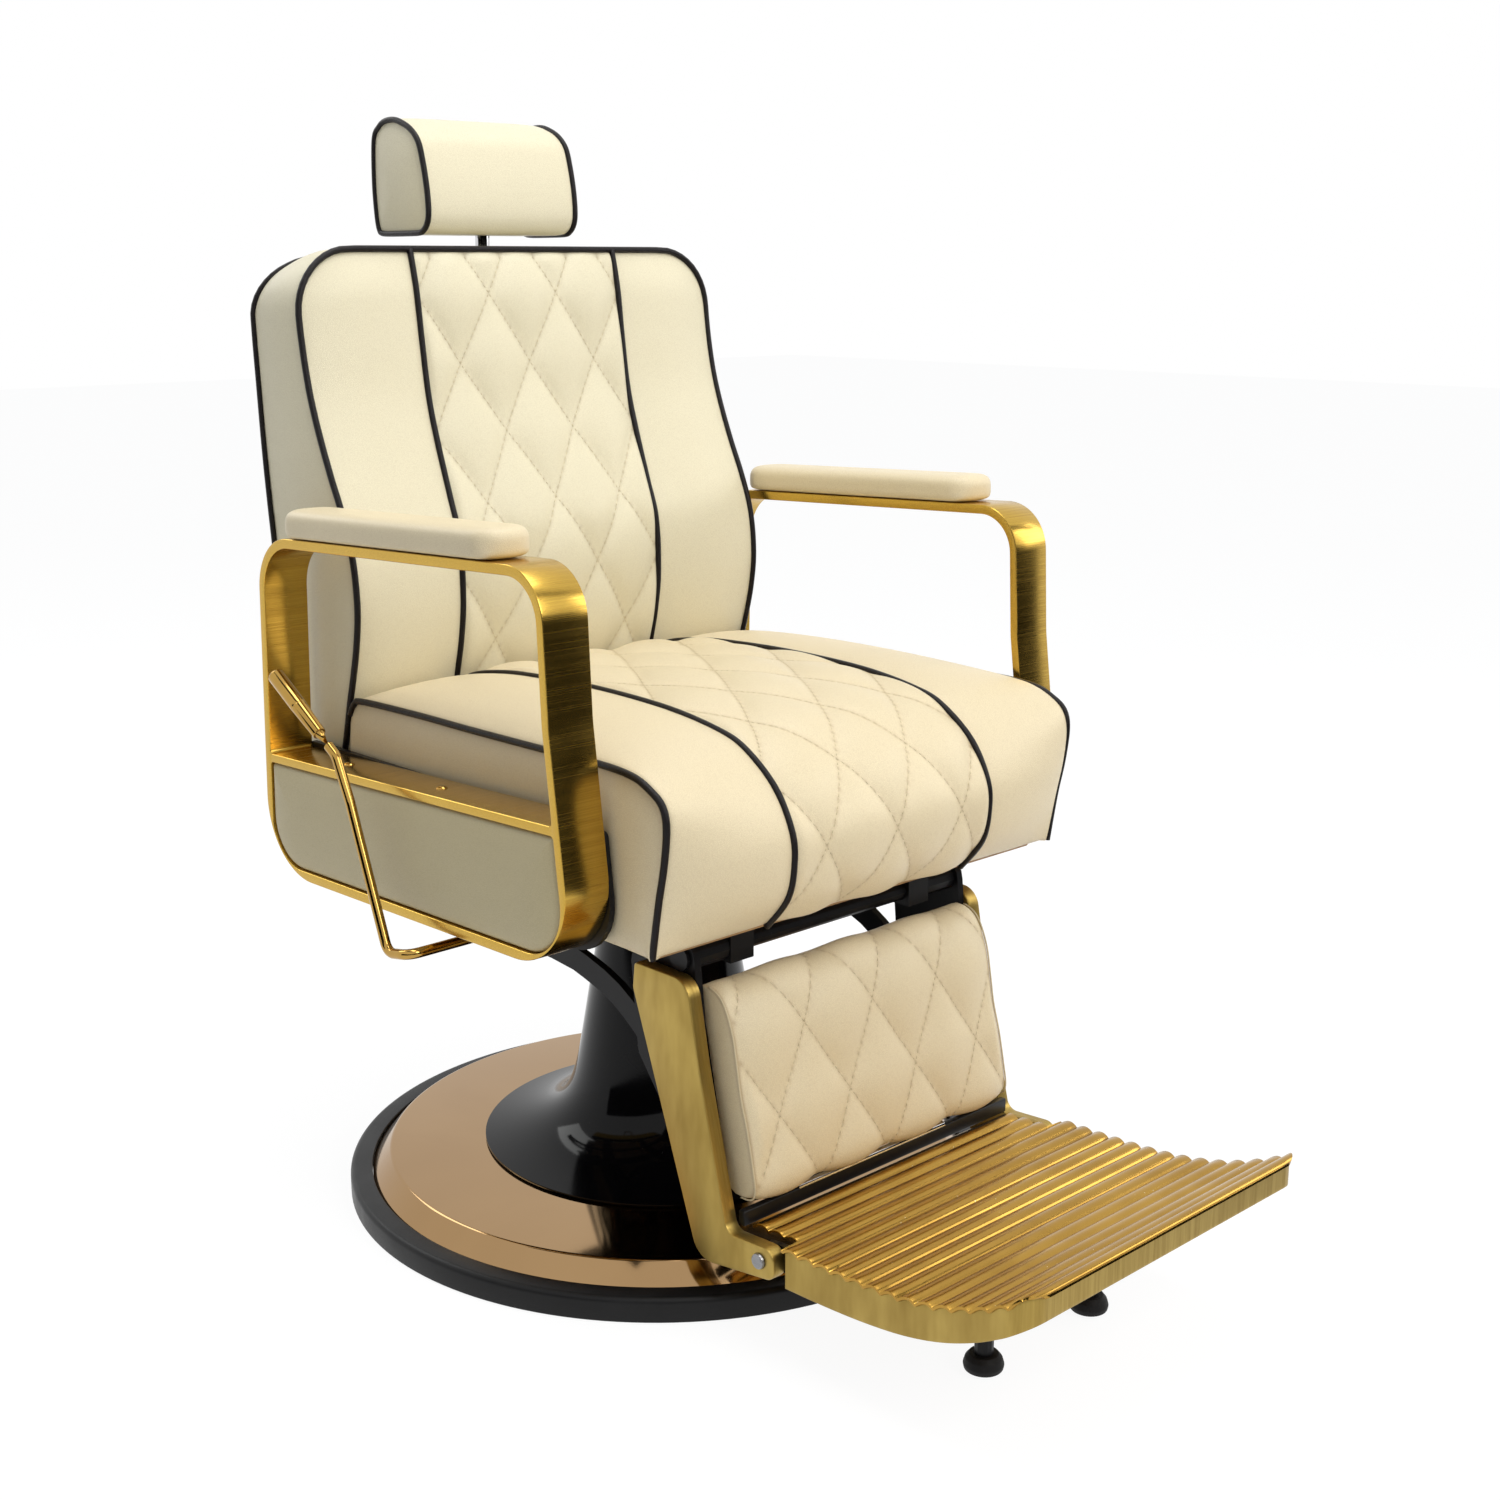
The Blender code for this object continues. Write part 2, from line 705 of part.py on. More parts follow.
def build_base():
    lip = DISC_R + SEAT_GAP
    plate_seat = PLATE_R + SEAT_GAP
    edge = 0.006
    plate_piece = turned("base_plate", BLACK_STEEL, rod_profile(PLATE_R, 0.0, PLATE_T), steps=WIDE_ROUND)
    ring = turned("base_ring", RUBBER, [
        (plate_seat, 0.0), (BASE_R, 0.0), (BASE_R, RING_H - edge), (BASE_R - edge, RING_H), (lip, RING_H),
        (lip, PLATE_T), (plate_seat, PLATE_T)], steps=WIDE_ROUND)
    crease = DISC_R - DISC_CREASE_IN
    line = [(DISC_R, PLATE_T + SEAT_GAP), (DISC_R, DISC_EDGE_Z), (crease, DISC_CREASE_Z),
            (DISC_CROWN_R, DISC_CROWN_Z), (HUB_FLANGE_R + 0.004, DISC_CROWN_Z)]
    disc = turned("base_disc", BRONZE, sheet_profile(line, DISC_T), steps=WIDE_ROUND)
    hub = turned("base_hub", BLACK_STEEL, [
        (HUB_BORE_R, HUB_Z0), (HUB_FLANGE_R, HUB_Z0), (HUB_FLANGE_R, HUB_Z0 + HUB_FLANGE_T),
        (HUB_R + 0.005, HUB_Z0 + HUB_FLANGE_T), (HUB_R, HUB_Z0 + HUB_FLANGE_T + 0.005),
        (HUB_R, HUB_Z0 + HUB_H), (HUB_BORE_R, HUB_Z0 + HUB_H)])
    washer = turned("thrust_washer", STEEL,
                    tube_profile(CYLINDER_R * 0.55, CYLINDER_R, HUB_Z0, HUB_Z0 + WASHER_T))
    seat = HUB_Z0 + HUB_FLANGE_T
    sunk = 0.002
    for number in range(HUB_BOLTS):
        joined(hub, turned(f"hub_bolt_{number}", STEEL, [
            (0.0, -sunk), (HUB_BOLT_R, -sunk), (HUB_BOLT_R, HUB_BOLT_H), (0.0, HUB_BOLT_H)],
            [Matrix.Rotation(math.tau * number / HUB_BOLTS, 4, "Z")
             @ Matrix.Translation((HUB_BOLT_CIRCLE, 0, seat))], steps=6, sharp=20.0))
    return [plate_piece, ring, disc, hub, washer]


# ---------------------------------------------------------------- column and pump

def cover_radius(height):
    """Outer radius of the trumpet cover at a height."""
    foot = disc_height(COVER_FOOT_R) + RUN_GAP + COVER_FOOT_H
    flare = COVER_FOOT_R - COVER_TOP_R - COVER_TAPER * (COVER_TOP_Z - foot)
    return (COVER_TOP_R + COVER_TAPER * (COVER_TOP_Z - height)
            + flare * math.exp(-(height - foot) / COVER_FLARE_LENGTH))


def radial_plane():
    """Stands an outline of (r, z) points in the pedal's radial plane."""
    return Matrix.Rotation(PEDAL_TURN, 4, "Z") @ Matrix.Rotation(math.pi / 2, 4, "X")


def across_pedal(r, z):
    """Lays a Z profile across the pedal's plane at a radius and height."""
    return radial_plane() @ Matrix.Translation((r, z, 0.0))


def build_column():
    cylinder = turned("pump_cylinder", STEEL, [
        (0.0, CYLINDER_Z0), (CYLINDER_R, CYLINDER_Z0),
        (CYLINDER_R, CYLINDER_TOP_Z), (CYLINDER_BORE_R, CYLINDER_TOP_Z),
        (CYLINDER_BORE_R, CYLINDER_Z0 + CYLINDER_FLOOR_T), (0.0, CYLINDER_Z0 + CYLINDER_FLOOR_T)])
    gland_z = CYLINDER_TOP_Z + SEAT_GAP
    neck_r = CYLINDER_BORE_R - SEAT_GAP
    gland = turned("cylinder_gland", STEEL, [
        (RAM_R + RUN_GAP, gland_z - GLAND_NECK), (neck_r, gland_z - GLAND_NECK), (neck_r, gland_z),
        (CYLINDER_R, gland_z), (CYLINDER_R, gland_z + GLAND_T), (RAM_R + RUN_GAP, gland_z + GLAND_T)])
    foot = disc_height(COVER_FOOT_R) + RUN_GAP
    line = [(COVER_FOOT_R, foot), (COVER_FOOT_R, foot + COVER_FOOT_H)]
    heights = 6
    base = foot + COVER_FOOT_H
    for step in range(1, heights + 1):
        height = base + (COVER_TOP_Z - 0.003 - base) * (step / heights) ** 2.6
        line.append((cover_radius(height), height))
    line += [(COVER_TOP_R - 0.0025, COVER_TOP_Z), (RAM_R + 0.004, COVER_TOP_Z)]
    cover = turned("column_cover", BLACK, sheet_profile(line, COVER_T), steps=32)
    slot = box_cutter("pedal_slot", (COVER_TOP_R, PEDAL_SLOT_Z0, -PEDAL_SLOT_W / 2),
                      (COVER_FOOT_R, PEDAL_SLOT_Z1, PEDAL_SLOT_W / 2),
                      radial_plane())
    boolean(cover, slot)
    inner = CYLINDER_R * 0.7
    ear = PUMP_EAR_R
    outline = filleted([
        ((inner, PUMP_BLOCK_Z0), 0.0), ((PUMP_BLOCK_R, PUMP_BLOCK_Z0), 0.004),
        ((PUMP_BLOCK_R, PUMP_BLOCK_Z1), 0.003), ((PEDAL_PIVOT_R + ear, PUMP_BLOCK_Z1), 0.003),
        ((PEDAL_PIVOT_R + ear, PEDAL_PIVOT_Z + ear), ear * 0.95),
        ((PEDAL_PIVOT_R - ear, PEDAL_PIVOT_Z + ear), ear * 0.5),
        ((inner, PUMP_BLOCK_Z1 + ear), 0.0)], 5)
    half = PUMP_BLOCK_W / 2
    block = plate("pump_block", BLACK_STEEL,
                  [outline, circle((PEDAL_PIVOT_R, PEDAL_PIVOT_Z), PEDAL_PIN_R + SEAT_GAP)],
                  -half, half, radial_plane(), 0.0)
    boolean(block, round_cutter("block_saddle", CYLINDER_R + SEAT_GAP, 0.0, CYLINDER_TOP_Z, Matrix.Identity(4)))
    boolean(block, box_cutter("ear_slot", (0.0, PUMP_BLOCK_Z1 + SEAT_GAP, -PUMP_EAR_GAP / 2),
                              (PUMP_BLOCK_R * 1.2, PEDAL_PIVOT_Z + 2 * ear, PUMP_EAR_GAP / 2), radial_plane()))
    plunger_r = PEDAL_PIVOT_R + PLUNGER_OFFSET
    boolean(block, round_cutter("plunger_bore", PLUNGER_R + RUN_GAP, PUMP_BLOCK_Z1 - PLUNGER_DEPTH - 0.010,
                                PUMP_BLOCK_Z1 + 0.01,
                                Matrix.Rotation(PEDAL_TURN, 4, "Z") @ Matrix.Translation((plunger_r, 0, 0)), 24))
    pin_half = half + 0.001
    pin = turned("pedal_pin", STEEL, rod_profile(PEDAL_PIN_R, -pin_half, pin_half),
                 [across_pedal(PEDAL_PIVOT_R, PEDAL_PIVOT_Z)], steps=SIDES)
    return [cylinder, gland, cover, block, pin]


def build_plunger():
    plunger_r = PEDAL_PIVOT_R + PLUNGER_OFFSET
    top = PEDAL_PIVOT_Z - PEDAL_ROD_R - SEAT_GAP
    dome = PLUNGER_R * 1.25
    low = PUMP_BLOCK_Z1 - PLUNGER_DEPTH
    profile = [(0.0, low), (PLUNGER_R, low), (PLUNGER_R, top - dome + 0.0045)]
    edge = math.acos(PLUNGER_R / dome)
    for step in range(1, 4):
        turn = edge + (math.pi / 2 - edge) * step / 3
        profile.append((dome * math.cos(turn) if step < 3 else 0.0, top - dome + dome * math.sin(turn)))
    return [turned("pump_plunger", CHROME, profile,
                   [Matrix.Rotation(PEDAL_TURN, 4, "Z") @ Matrix.Translation((plunger_r, 0, 0))], steps=16)]


def build_pedal():
    wide = PUMP_EAR_GAP / 2 - RUN_GAP
    pedal = turned("pump_pedal", STEEL, tube_profile(PEDAL_PIN_R + RUN_GAP, PEDAL_BOSS_R, -wide, wide),
                   [across_pedal(PEDAL_PIVOT_R, PEDAL_PIVOT_Z)], steps=20)
    start = PEDAL_PIVOT_R + (PEDAL_BOSS_R + PEDAL_PIN_R) / 2
    tread_z = PEDAL_PIVOT_Z - PEDAL_DROP
    line = bent([(start, 0, PEDAL_PIVOT_Z), (PEDAL_ELBOW_R, 0, PEDAL_PIVOT_Z),
                 (PEDAL_REACH * 0.9, 0, tread_z), (PEDAL_REACH, 0, tread_z)], 0.06)
    turn = Matrix.Rotation(PEDAL_TURN, 3, "Z")
    joined(pedal, round_tube("pedal_bar", STEEL, [turn @ p for p in line], PEDAL_ROD_R))
    r0 = PEDAL_REACH + SEAT_GAP
    half = PEDAL_TREAD_W / 2
    outline = filleted([((r0, -half), 0.014), ((r0 + PEDAL_TREAD_L, -half), 0.020),
                        ((r0 + PEDAL_TREAD_L, half), 0.020), ((r0, half), 0.014)], 5)
    tread = plate("pedal_tread", RUBBER, [outline], tread_z - PEDAL_TREAD_T / 2, tread_z + PEDAL_TREAD_T / 2,
                  Matrix.Rotation(PEDAL_TURN, 4, "Z"), 0.002)
    return [pedal, tread]


# ---------------------------------------------------------------- seat frame

def mirrored(low, high):
    """The extents of a piece and of its twin on the other side, with their suffixes."""
    return (("R", -high, -low), ("L", low, high))


def build_ram():
    low = CYLINDER_Z0 + CYLINDER_FLOOR_T + RAM_FLOOR_GAP
    ram = turned("seat_ram", CHROME, rod_profile(RAM_R, low, RAM_SOCKET_Z))
    piston_r = CYLINDER_BORE_R - SEAT_GAP
    piston = turned("ram_piston", STEEL, tube_profile(RAM_R + SEAT_GAP, piston_r, low, low + RAM_PISTON_H))
    socket = RAM_R + SEAT_GAP
    flange = FRAME_Z1 - HUB_FLANGE_H
    hub = turned("seat_hub", BLACK_STEEL, [
        (socket, SEAT_HUB_Z0), (SEAT_HUB_R - 0.008, SEAT_HUB_Z0), (SEAT_HUB_R, SEAT_HUB_Z0 + 0.006),
        (SEAT_HUB_R, flange), (HUB_FLANGE_HALF, flange), (HUB_FLANGE_HALF, FRAME_Z1), (0.0, FRAME_Z1),
        (0.0, RAM_SOCKET_Z + SEAT_GAP), (socket, RAM_SOCKET_Z + SEAT_GAP)])
    return [ram, piston, hub]


def build_frame():
    front, rear = RAIL_FRONT_Y, RAIL_REAR_Y
    outline = [(-RAIL_OUT, front), (-RAIL_IN, front), (-RAIL_IN, CROSS_FRONT_Y), (RAIL_IN, CROSS_FRONT_Y),
               (RAIL_IN, front), (RAIL_OUT, front), (RAIL_OUT, rear), (-RAIL_OUT, rear)]
    bay = HUB_FLANGE_HALF + SEAT_GAP
    holes = []
    for low, high in ((CROSS_FRONT_Y + CROSS_W, -bay - CROSS_W), (-bay, bay), (bay + CROSS_W, rear - CROSS_W)):
        holes.append([(-RAIL_IN, low), (RAIL_IN, low), (RAIL_IN, high), (-RAIL_IN, high)])
    frame = plate("seat_frame", BLACK_STEEL, [outline, *holes], FRAME_Z0, FRAME_Z1)
    wide = RAIL_OUT + 0.02
    boolean(frame, round_cutter("leg_shaft_bores", SHAFT_R + SEAT_GAP, -wide, wide,
                                along_x(0.0, *LEG_PIVOT), 24))
    boolean(frame, round_cutter("lever_bore", LEVER_R + RUN_GAP, -wide, -RAIL_IN + 0.01,
                                along_x(0.0, *LEVER_PIVOT), 20))
    pieces = [frame]
    low = FRAME_Z1 + SEAT_GAP
    out, inner, bend = CARRIER_X, CARRIER_X - CARRIER_T, 0.010
    outline = filleted([
        ((-out, CARRIER_TOP_Z), 0.002), ((-out, low), bend), ((out, low), bend), ((out, CARRIER_TOP_Z), 0.002),
        ((inner, CARRIER_TOP_Z), 0.002), ((inner, low + CARRIER_T), bend - CARRIER_T),
        ((-inner, low + CARRIER_T), bend - CARRIER_T), ((-inner, CARRIER_TOP_Z), 0.002)], 4)
    for name, y in (("arm_carrier_front", CARRIER_FRONT_Y), ("arm_carrier_rear", CARRIER_REAR_Y)):
        pieces.append(plate(name, BLACK_STEEL, [outline], -CARRIER_W / 2, CARRIER_W / 2, front_place(y)))
    pan_z = low + CARRIER_T + SEAT_GAP
    pieces.append(box("seat_pan", PLY, (-PAN_HALF_W, PAN_FRONT_Y, pan_z),
                      (PAN_HALF_W, PAN_REAR_Y, SEAT_BOTTOM_Z - SEAT_GAP), 0.0015))
    bearing_y = LEVER_PIVOT[0]
    bearing = plate("lever_bearing", BLACK_STEEL, [
        filleted([((bearing_y - 0.020, FRAME_Z1), 0.001), ((bearing_y - 0.020, LEVER_PIVOT[1] - 0.011), 0.009),
                  ((bearing_y + 0.014, LEVER_PIVOT[1] - 0.011), 0.009), ((bearing_y + 0.014, FRAME_Z1), 0.001)], 4),
        circle(LEVER_PIVOT, LEVER_R + RUN_GAP, 12)],
        -LEVER_BEARING_X - LEVER_BEARING_W, -LEVER_BEARING_X, side_place())
    pieces.append(bearing)
    head, head_t = SHAFT_R + 0.0025, 0.0035
    reach = LEG_ARM_X + PLATE_STEEL_T + SEAT_GAP
    collar = SHAFT_COLLAR_R
    half = [(SHAFT_R, RAIL_OUT + SEAT_GAP), (collar, RAIL_OUT + SEAT_GAP), (collar, LEG_ARM_X - SEAT_GAP),
            (SHAFT_R, LEG_ARM_X - SEAT_GAP), (SHAFT_R, reach), (head, reach), (head, reach + head_t),
            (0.0, reach + head_t)]
    pieces.append(turned("leg_shaft", STEEL, [(r, -x) for r, x in half[::-1]] + half,
                         [along_x(0.0, *LEG_PIVOT)], steps=SIDES))
    back_x = LINK_X - SEAT_GAP * 4 / 3 - PLATE_STEEL_T
    step_x, end_x = back_x - SEAT_GAP, back_x + PLATE_STEEL_T + SEAT_GAP
    pieces.append(turned("back_shaft", STEEL, [
        (0.0, -end_x - head_t), (collar, -end_x - head_t), (collar, -end_x), (SHAFT_R, -end_x),
        (SHAFT_R, -step_x), (collar, -step_x), (collar, step_x), (SHAFT_R, step_x), (SHAFT_R, end_x),
        (collar, end_x), (collar, end_x + head_t), (0.0, end_x + head_t)],
        [along_x(0.0, *BACK_PIVOT)], steps=SIDES))
    y, z = BACK_PIVOT
    ring = 0.0225
    outline = filleted([
        ((0.130, FRAME_Z0 + 0.001), 0.004), ((RAIL_REAR_Y + 0.012, FRAME_Z0 + 0.001), 0.020),
        ((y + ring, z - 0.030), 0.030), ((y + ring, z + ring), ring * 0.98),
        ((y - ring, z + ring), ring * 0.98), ((y - ring, z - 0.026), 0.015),
        ((SEAT_REAR_Y + 0.008, FRAME_Z1), 0.003), ((0.130, FRAME_Z1), 0.004)], 5)
    for side, low_x, high_x in mirrored(RAIL_OUT + SEAT_GAP, RAIL_OUT + SEAT_GAP + PLATE_STEEL_T):
        pieces.append(plate(f"back_pivot_bracket_{side}", BLACK_STEEL,
                            [outline, circle(BACK_PIVOT, collar + SEAT_GAP, 16)], low_x, high_x, side_place()))
    return pieces


# ---------------------------------------------------------------- armrests

def arm_top(y):
    """Height of the armrest strap's top at y."""
    (y0, z0), (y1, z1) = ARM_CORNERS[1][0], ARM_CORNERS[2][0]
    return z0 + (z1 - z0) * (y - y0) / (y1 - y0)


def arm_loops():
    """The armrest's outline and its two openings."""
    outer = list(ARM_CORNERS)
    inner = inset_corners(outer, ARM_STRAP_T)
    points = [corner for corner, _ in inner]
    bar_top = ((ARM_CORNERS[0][0][0], ARM_BAR_REAR_Z), (ARM_CORNERS[4][0][0], ARM_BAR_FRONT_Z))
    bar_low = tuple((y, z - ARM_BAR_T) for y, z in bar_top)
    tight = 0.004
    rear_top = cross_point(points[0], points[1], *bar_top)
    rear_low = cross_point(points[0], points[1], *bar_low)
    front_top = cross_point(points[3], points[4], *bar_top)
    front_low = cross_point(points[3], points[4], *bar_low)
    upper = filleted([(rear_top, tight), (inner[1][0], inner[1][1]), (inner[2][0], inner[2][1]),
                      (inner[3][0], inner[3][1]), (front_top, tight)], 7)
    lower = filleted([(inner[0][0], inner[0][1]), (rear_low, tight), (front_low, tight),
                      (inner[4][0], inner[4][1])], 7)
    return filleted(outer, 7), upper, lower


def scaled_outline(points, share):
    """An outline shrunk about its middle."""
    middle = (Vector((max(p[0] for p in points), max(p[1] for p in points)))
              + Vector((min(p[0] for p in points), min(p[1] for p in points)))) / 2
    return [(middle.x + (p[0] - middle.x) * share, middle.y + (p[1] - middle.y) * share) for p in points]


def build_armrest(side, sign):
    outer, upper, lower = arm_loops()

    def span(low, high):
        return (low, high) if sign > 0 else (-high, -low)

    frame = plate(f"arm_frame_{side}", GOLD, [outer, upper, lower], *span(ARM_X0, ARM_X1), side_place())
    panel_outline = inset_points(lower, SEAT_GAP)
    edge = ARM_X1 - 0.0010
    levels = [(ARM_X0 + SEAT_GAP, 1.0), (edge - 0.0045, 1.0), (edge, 0.955),
              (edge + SIDE_PANEL_CROWN * 0.7, 0.72), (edge + SIDE_PANEL_CROWN, 0.36)]
    rings = [[(sign * x, y, z) for y, z in scaled_outline(panel_outline, share)] for x, share in levels]
    panel = loft(f"side_panel_{side}", LEATHER, rings)
    return [frame, panel, build_arm_pad(side, sign)]


def build_side_plates():
    """The steel plates behind the upholstered side panels."""
    bar_z = (ARM_BAR_REAR_Z + ARM_BAR_FRONT_Z) / 2 - ARM_BAR_T / 2
    inset = inset_corners(list(ARM_CORNERS), 0.003)
    points = [corner for corner, _ in inset]
    rear = cross_point(points[0], points[1], (0.0, bar_z), (1.0, bar_z))
    front = cross_point(points[3], points[4], (0.0, bar_z), (1.0, bar_z))
    outline = filleted([inset[0], (rear, 0.006), (front, 0.006), inset[4]], 8)
    return [plate(f"side_plate_{side}", BLACK_STEEL, [outline], low, high, side_place())
            for side, low, high in mirrored(CARRIER_X + SEAT_GAP, ARM_X0 - SEAT_GAP)]


def build_arm_pad(side, sign):
    length = ARM_PAD_Y1 - ARM_PAD_Y0
    section = ((-0.44, 0.0), (-0.49, 0.10), (-0.50, 0.30), (-0.485, 0.52), (-0.43, 0.74), (-0.32, 0.90),
               (-0.17, 0.98), (0.0, 1.0), (0.17, 0.98), (0.32, 0.90), (0.43, 0.74), (0.485, 0.52),
               (0.50, 0.30), (0.49, 0.10), (0.44, 0.0))
    rings = []
    stations = 11
    for step in range(stations + 1):
        u = -math.cos(math.pi * step / stations) * 0.998
        y = ARM_PAD_Y0 + length * (u + 1.0) / 2.0
        wide = (1.0 - abs(u) ** 6.0) ** 0.5
        tall = (1.0 - abs(u) ** 5.0) ** 0.55
        base = arm_top(y) + SEAT_GAP
        rings.append([(sign * ARM_PAD_X + ARM_PAD_W * wide * a, y,
                       base + ARM_PAD_H * (b * tall + 0.12 * (1.0 - tall))) for a, b in section])
    return loft(f"arm_pad_{side}", LEATHER, rings)


# ---------------------------------------------------------------- upholstery

def diamond_step():
    return DIAMOND_W / DIAMOND_PARTS, DIAMOND_H / DIAMOND_PARTS


def puff(across, along):
    """Height share of the diamond quilting at a place on a cushion's face."""
    a = across / DIAMOND_W + along / DIAMOND_H
    b = across / DIAMOND_W - along / DIAMOND_H
    return (abs(math.sin(math.pi * a)) * abs(math.sin(math.pi * b))) ** 0.6


def columns_of(quilt, half, edge):
    """Stations across a cushion: the diamonds' lattice, then the plain sides."""
    step = diamond_step()[0]
    inner = [i * step for i in range(int(quilt / step) + 1)]
    if quilt - inner[-1] > 0.002:
        inner.append(quilt)
    stations = list(inner)
    for share in edge:
        stations.append(inner[-1] + (half - inner[-1]) * share)
    return sorted({round(x, 6) for x in [-s for s in stations] + stations})


def by_length(knots, parts=24):
    """A dense smooth path with its running lengths."""
    path = smooth_path(knots, parts)
    lengths = [0.0]
    for a, b in zip(path, path[1:]):
        lengths.append(lengths[-1] + (b - a).length)
    return path, lengths


def path_point(dense, share):
    """The point and outward normal at a share of a path that runs with the outside on its right."""
    path, lengths = dense
    goal = min(max(share, 0.0), 1.0) * lengths[-1]
    low, high = 0, len(lengths) - 1
    while high - low > 1:
        middle = (low + high) // 2
        if lengths[middle] <= goal:
            low = middle
        else:
            high = middle
    t = (goal - lengths[low]) / max(lengths[high] - lengths[low], 1e-9)
    along = (path[high] - path[low]).normalized()
    return path[low].lerp(path[high], t), Vector((along.y, -along.x))


def diagonals(columns, rows, first_row):
    """Which way each lattice cell is cut, so that the facets follow the stitched lines."""
    step = diamond_step()[0]

    def way(i, j):
        if j < first_row or j >= rows:
            return None
        column = round((columns[i] + columns[i + 1]) / 2 / step - 0.5)
        rising = (column + j - first_row + 1) % DIAMOND_PARTS
        falling = (column - j + first_row) % DIAMOND_PARTS
        return min(falling, DIAMOND_PARTS - falling) <= min(rising, DIAMOND_PARTS - rising)

    return way


SEAT_SIDE = [(SEAT_REAR_Y, 0.530), (0.167, 0.543), (0.150, 0.548), (0.051, 0.550), (-0.034, 0.550),
             (-0.149, 0.551), (-0.228, 0.552), (-0.275, 0.549), (-0.300, 0.540), (-0.315, 0.529),
             (-0.320, 0.510), (-0.316, 0.475), (-0.308, 0.438), (-0.299, 0.385)]
SEAT_MIDDLE = [(SEAT_REAR_Y, 0.530), (0.158, 0.551), (0.100, 0.563), (0.031, 0.568), (-0.057, 0.570),
               (-0.160, 0.567), (-0.235, 0.557), (-0.270, 0.545), (-0.307, 0.517), (-0.328, 0.482),
               (-0.3315, 0.454), (-0.324, 0.419), (-0.296, 0.385)]


def build_seat_cushion():
    side, middle = by_length(SEAT_SIDE), by_length(SEAT_MIDDLE)
    down = diamond_step()[1]
    length = middle[1][-1]
    rows = int(length / down)
    columns = columns_of(QUILT_HALF_W, SEAT_HALF_W - 0.0023, (0.12, 0.3, 0.5, 0.7, 0.88, 1.0))
    columns = [-SEAT_HALF_W, *columns, SEAT_HALF_W]
    rings = []
    for x in columns:
        off = abs(x)
        out = max(off - QUILT_HALF_W, 0.0) / (SEAT_HALF_W - QUILT_HALF_W)
        blend = 1.0 - out * out
        draw = 0.004 if off >= SEAT_HALF_W - 1e-6 else 0.0
        ring = []
        for row in range(rows + 2):
            share = min(row * down / length, 1.0)
            a, na = path_point(side, share)
            b, nb = path_point(middle, share)
            point = a.lerp(b, blend)
            normal = -(na.lerp(nb, blend).normalized())
            window = math.sin(math.pi * min(max(share, 0.0), 1.0)) ** 0.4
            if off < QUILT_HALF_W:
                fade = min(1.0, (QUILT_HALF_W - off) / 0.006)
                lift = SEAT_QUILT_DEPTH * puff(x, row * down) * fade * window
                lift += 0.004 * math.cos(math.pi * off / (2 * QUILT_HALF_W)) * window
            else:
                lift = 0.005 * math.sin(math.pi * min(out, 1.0)) * window
            point = point + normal * (lift - draw)
            ring.append((x, point.x, max(point.y, SEAT_BOTTOM_Z)))
        back = SEAT_REAR_Y - draw
        front = ring[-1][1]
        ring += [(x, front * 0.66 + back * 0.34, SEAT_BOTTOM_Z), (x, front * 0.33 + back * 0.67, SEAT_BOTTOM_Z),
                 (x, back - 0.004, SEAT_BOTTOM_Z), (x, back, SEAT_BOTTOM_Z + 0.006), (x, back, 0.460)]
        rings.append(ring)
    return loft("seat_cushion", LEATHER, rings, diagonals(columns, rows, 0))


BACK_SIDE = [(0.470, 0.197), (0.496, 0.189), (0.544, 0.1765), (0.569, 0.169), (0.605, 0.160), (0.645, 0.1555),
             (0.694, 0.161), (0.738, 0.177), (0.773, 0.194), (0.820, 0.214), (0.860, 0.227), (0.913, 0.237),
             (0.960, 0.241), (1.003, 0.244)]
BACK_MIDDLE = [(0.470, 0.197), (0.545, 0.186), (0.591, 0.175), (0.635, 0.169), (0.698, 0.172), (0.739, 0.186),
               (0.791, 0.204), (0.842, 0.219), (0.904, 0.2285), (0.955, 0.235), (1.003, 0.246)]
BACK_REAR = [(0.470, 0.298), (0.687, 0.312), (0.733, 0.317), (0.785, 0.322), (0.863, 0.327), (0.914, 0.330),
             (0.952, 0.330), (1.003, 0.322)]


def back_top(x):
    """Height of the backrest's top edge at x."""
    over = max(abs(x) - (BACK_HALF_W - BACK_CORNER_R), 0.0)
    return BACK_TOP_Z - BACK_CORNER_R + math.sqrt(max(BACK_CORNER_R ** 2 - over ** 2, 0.0))


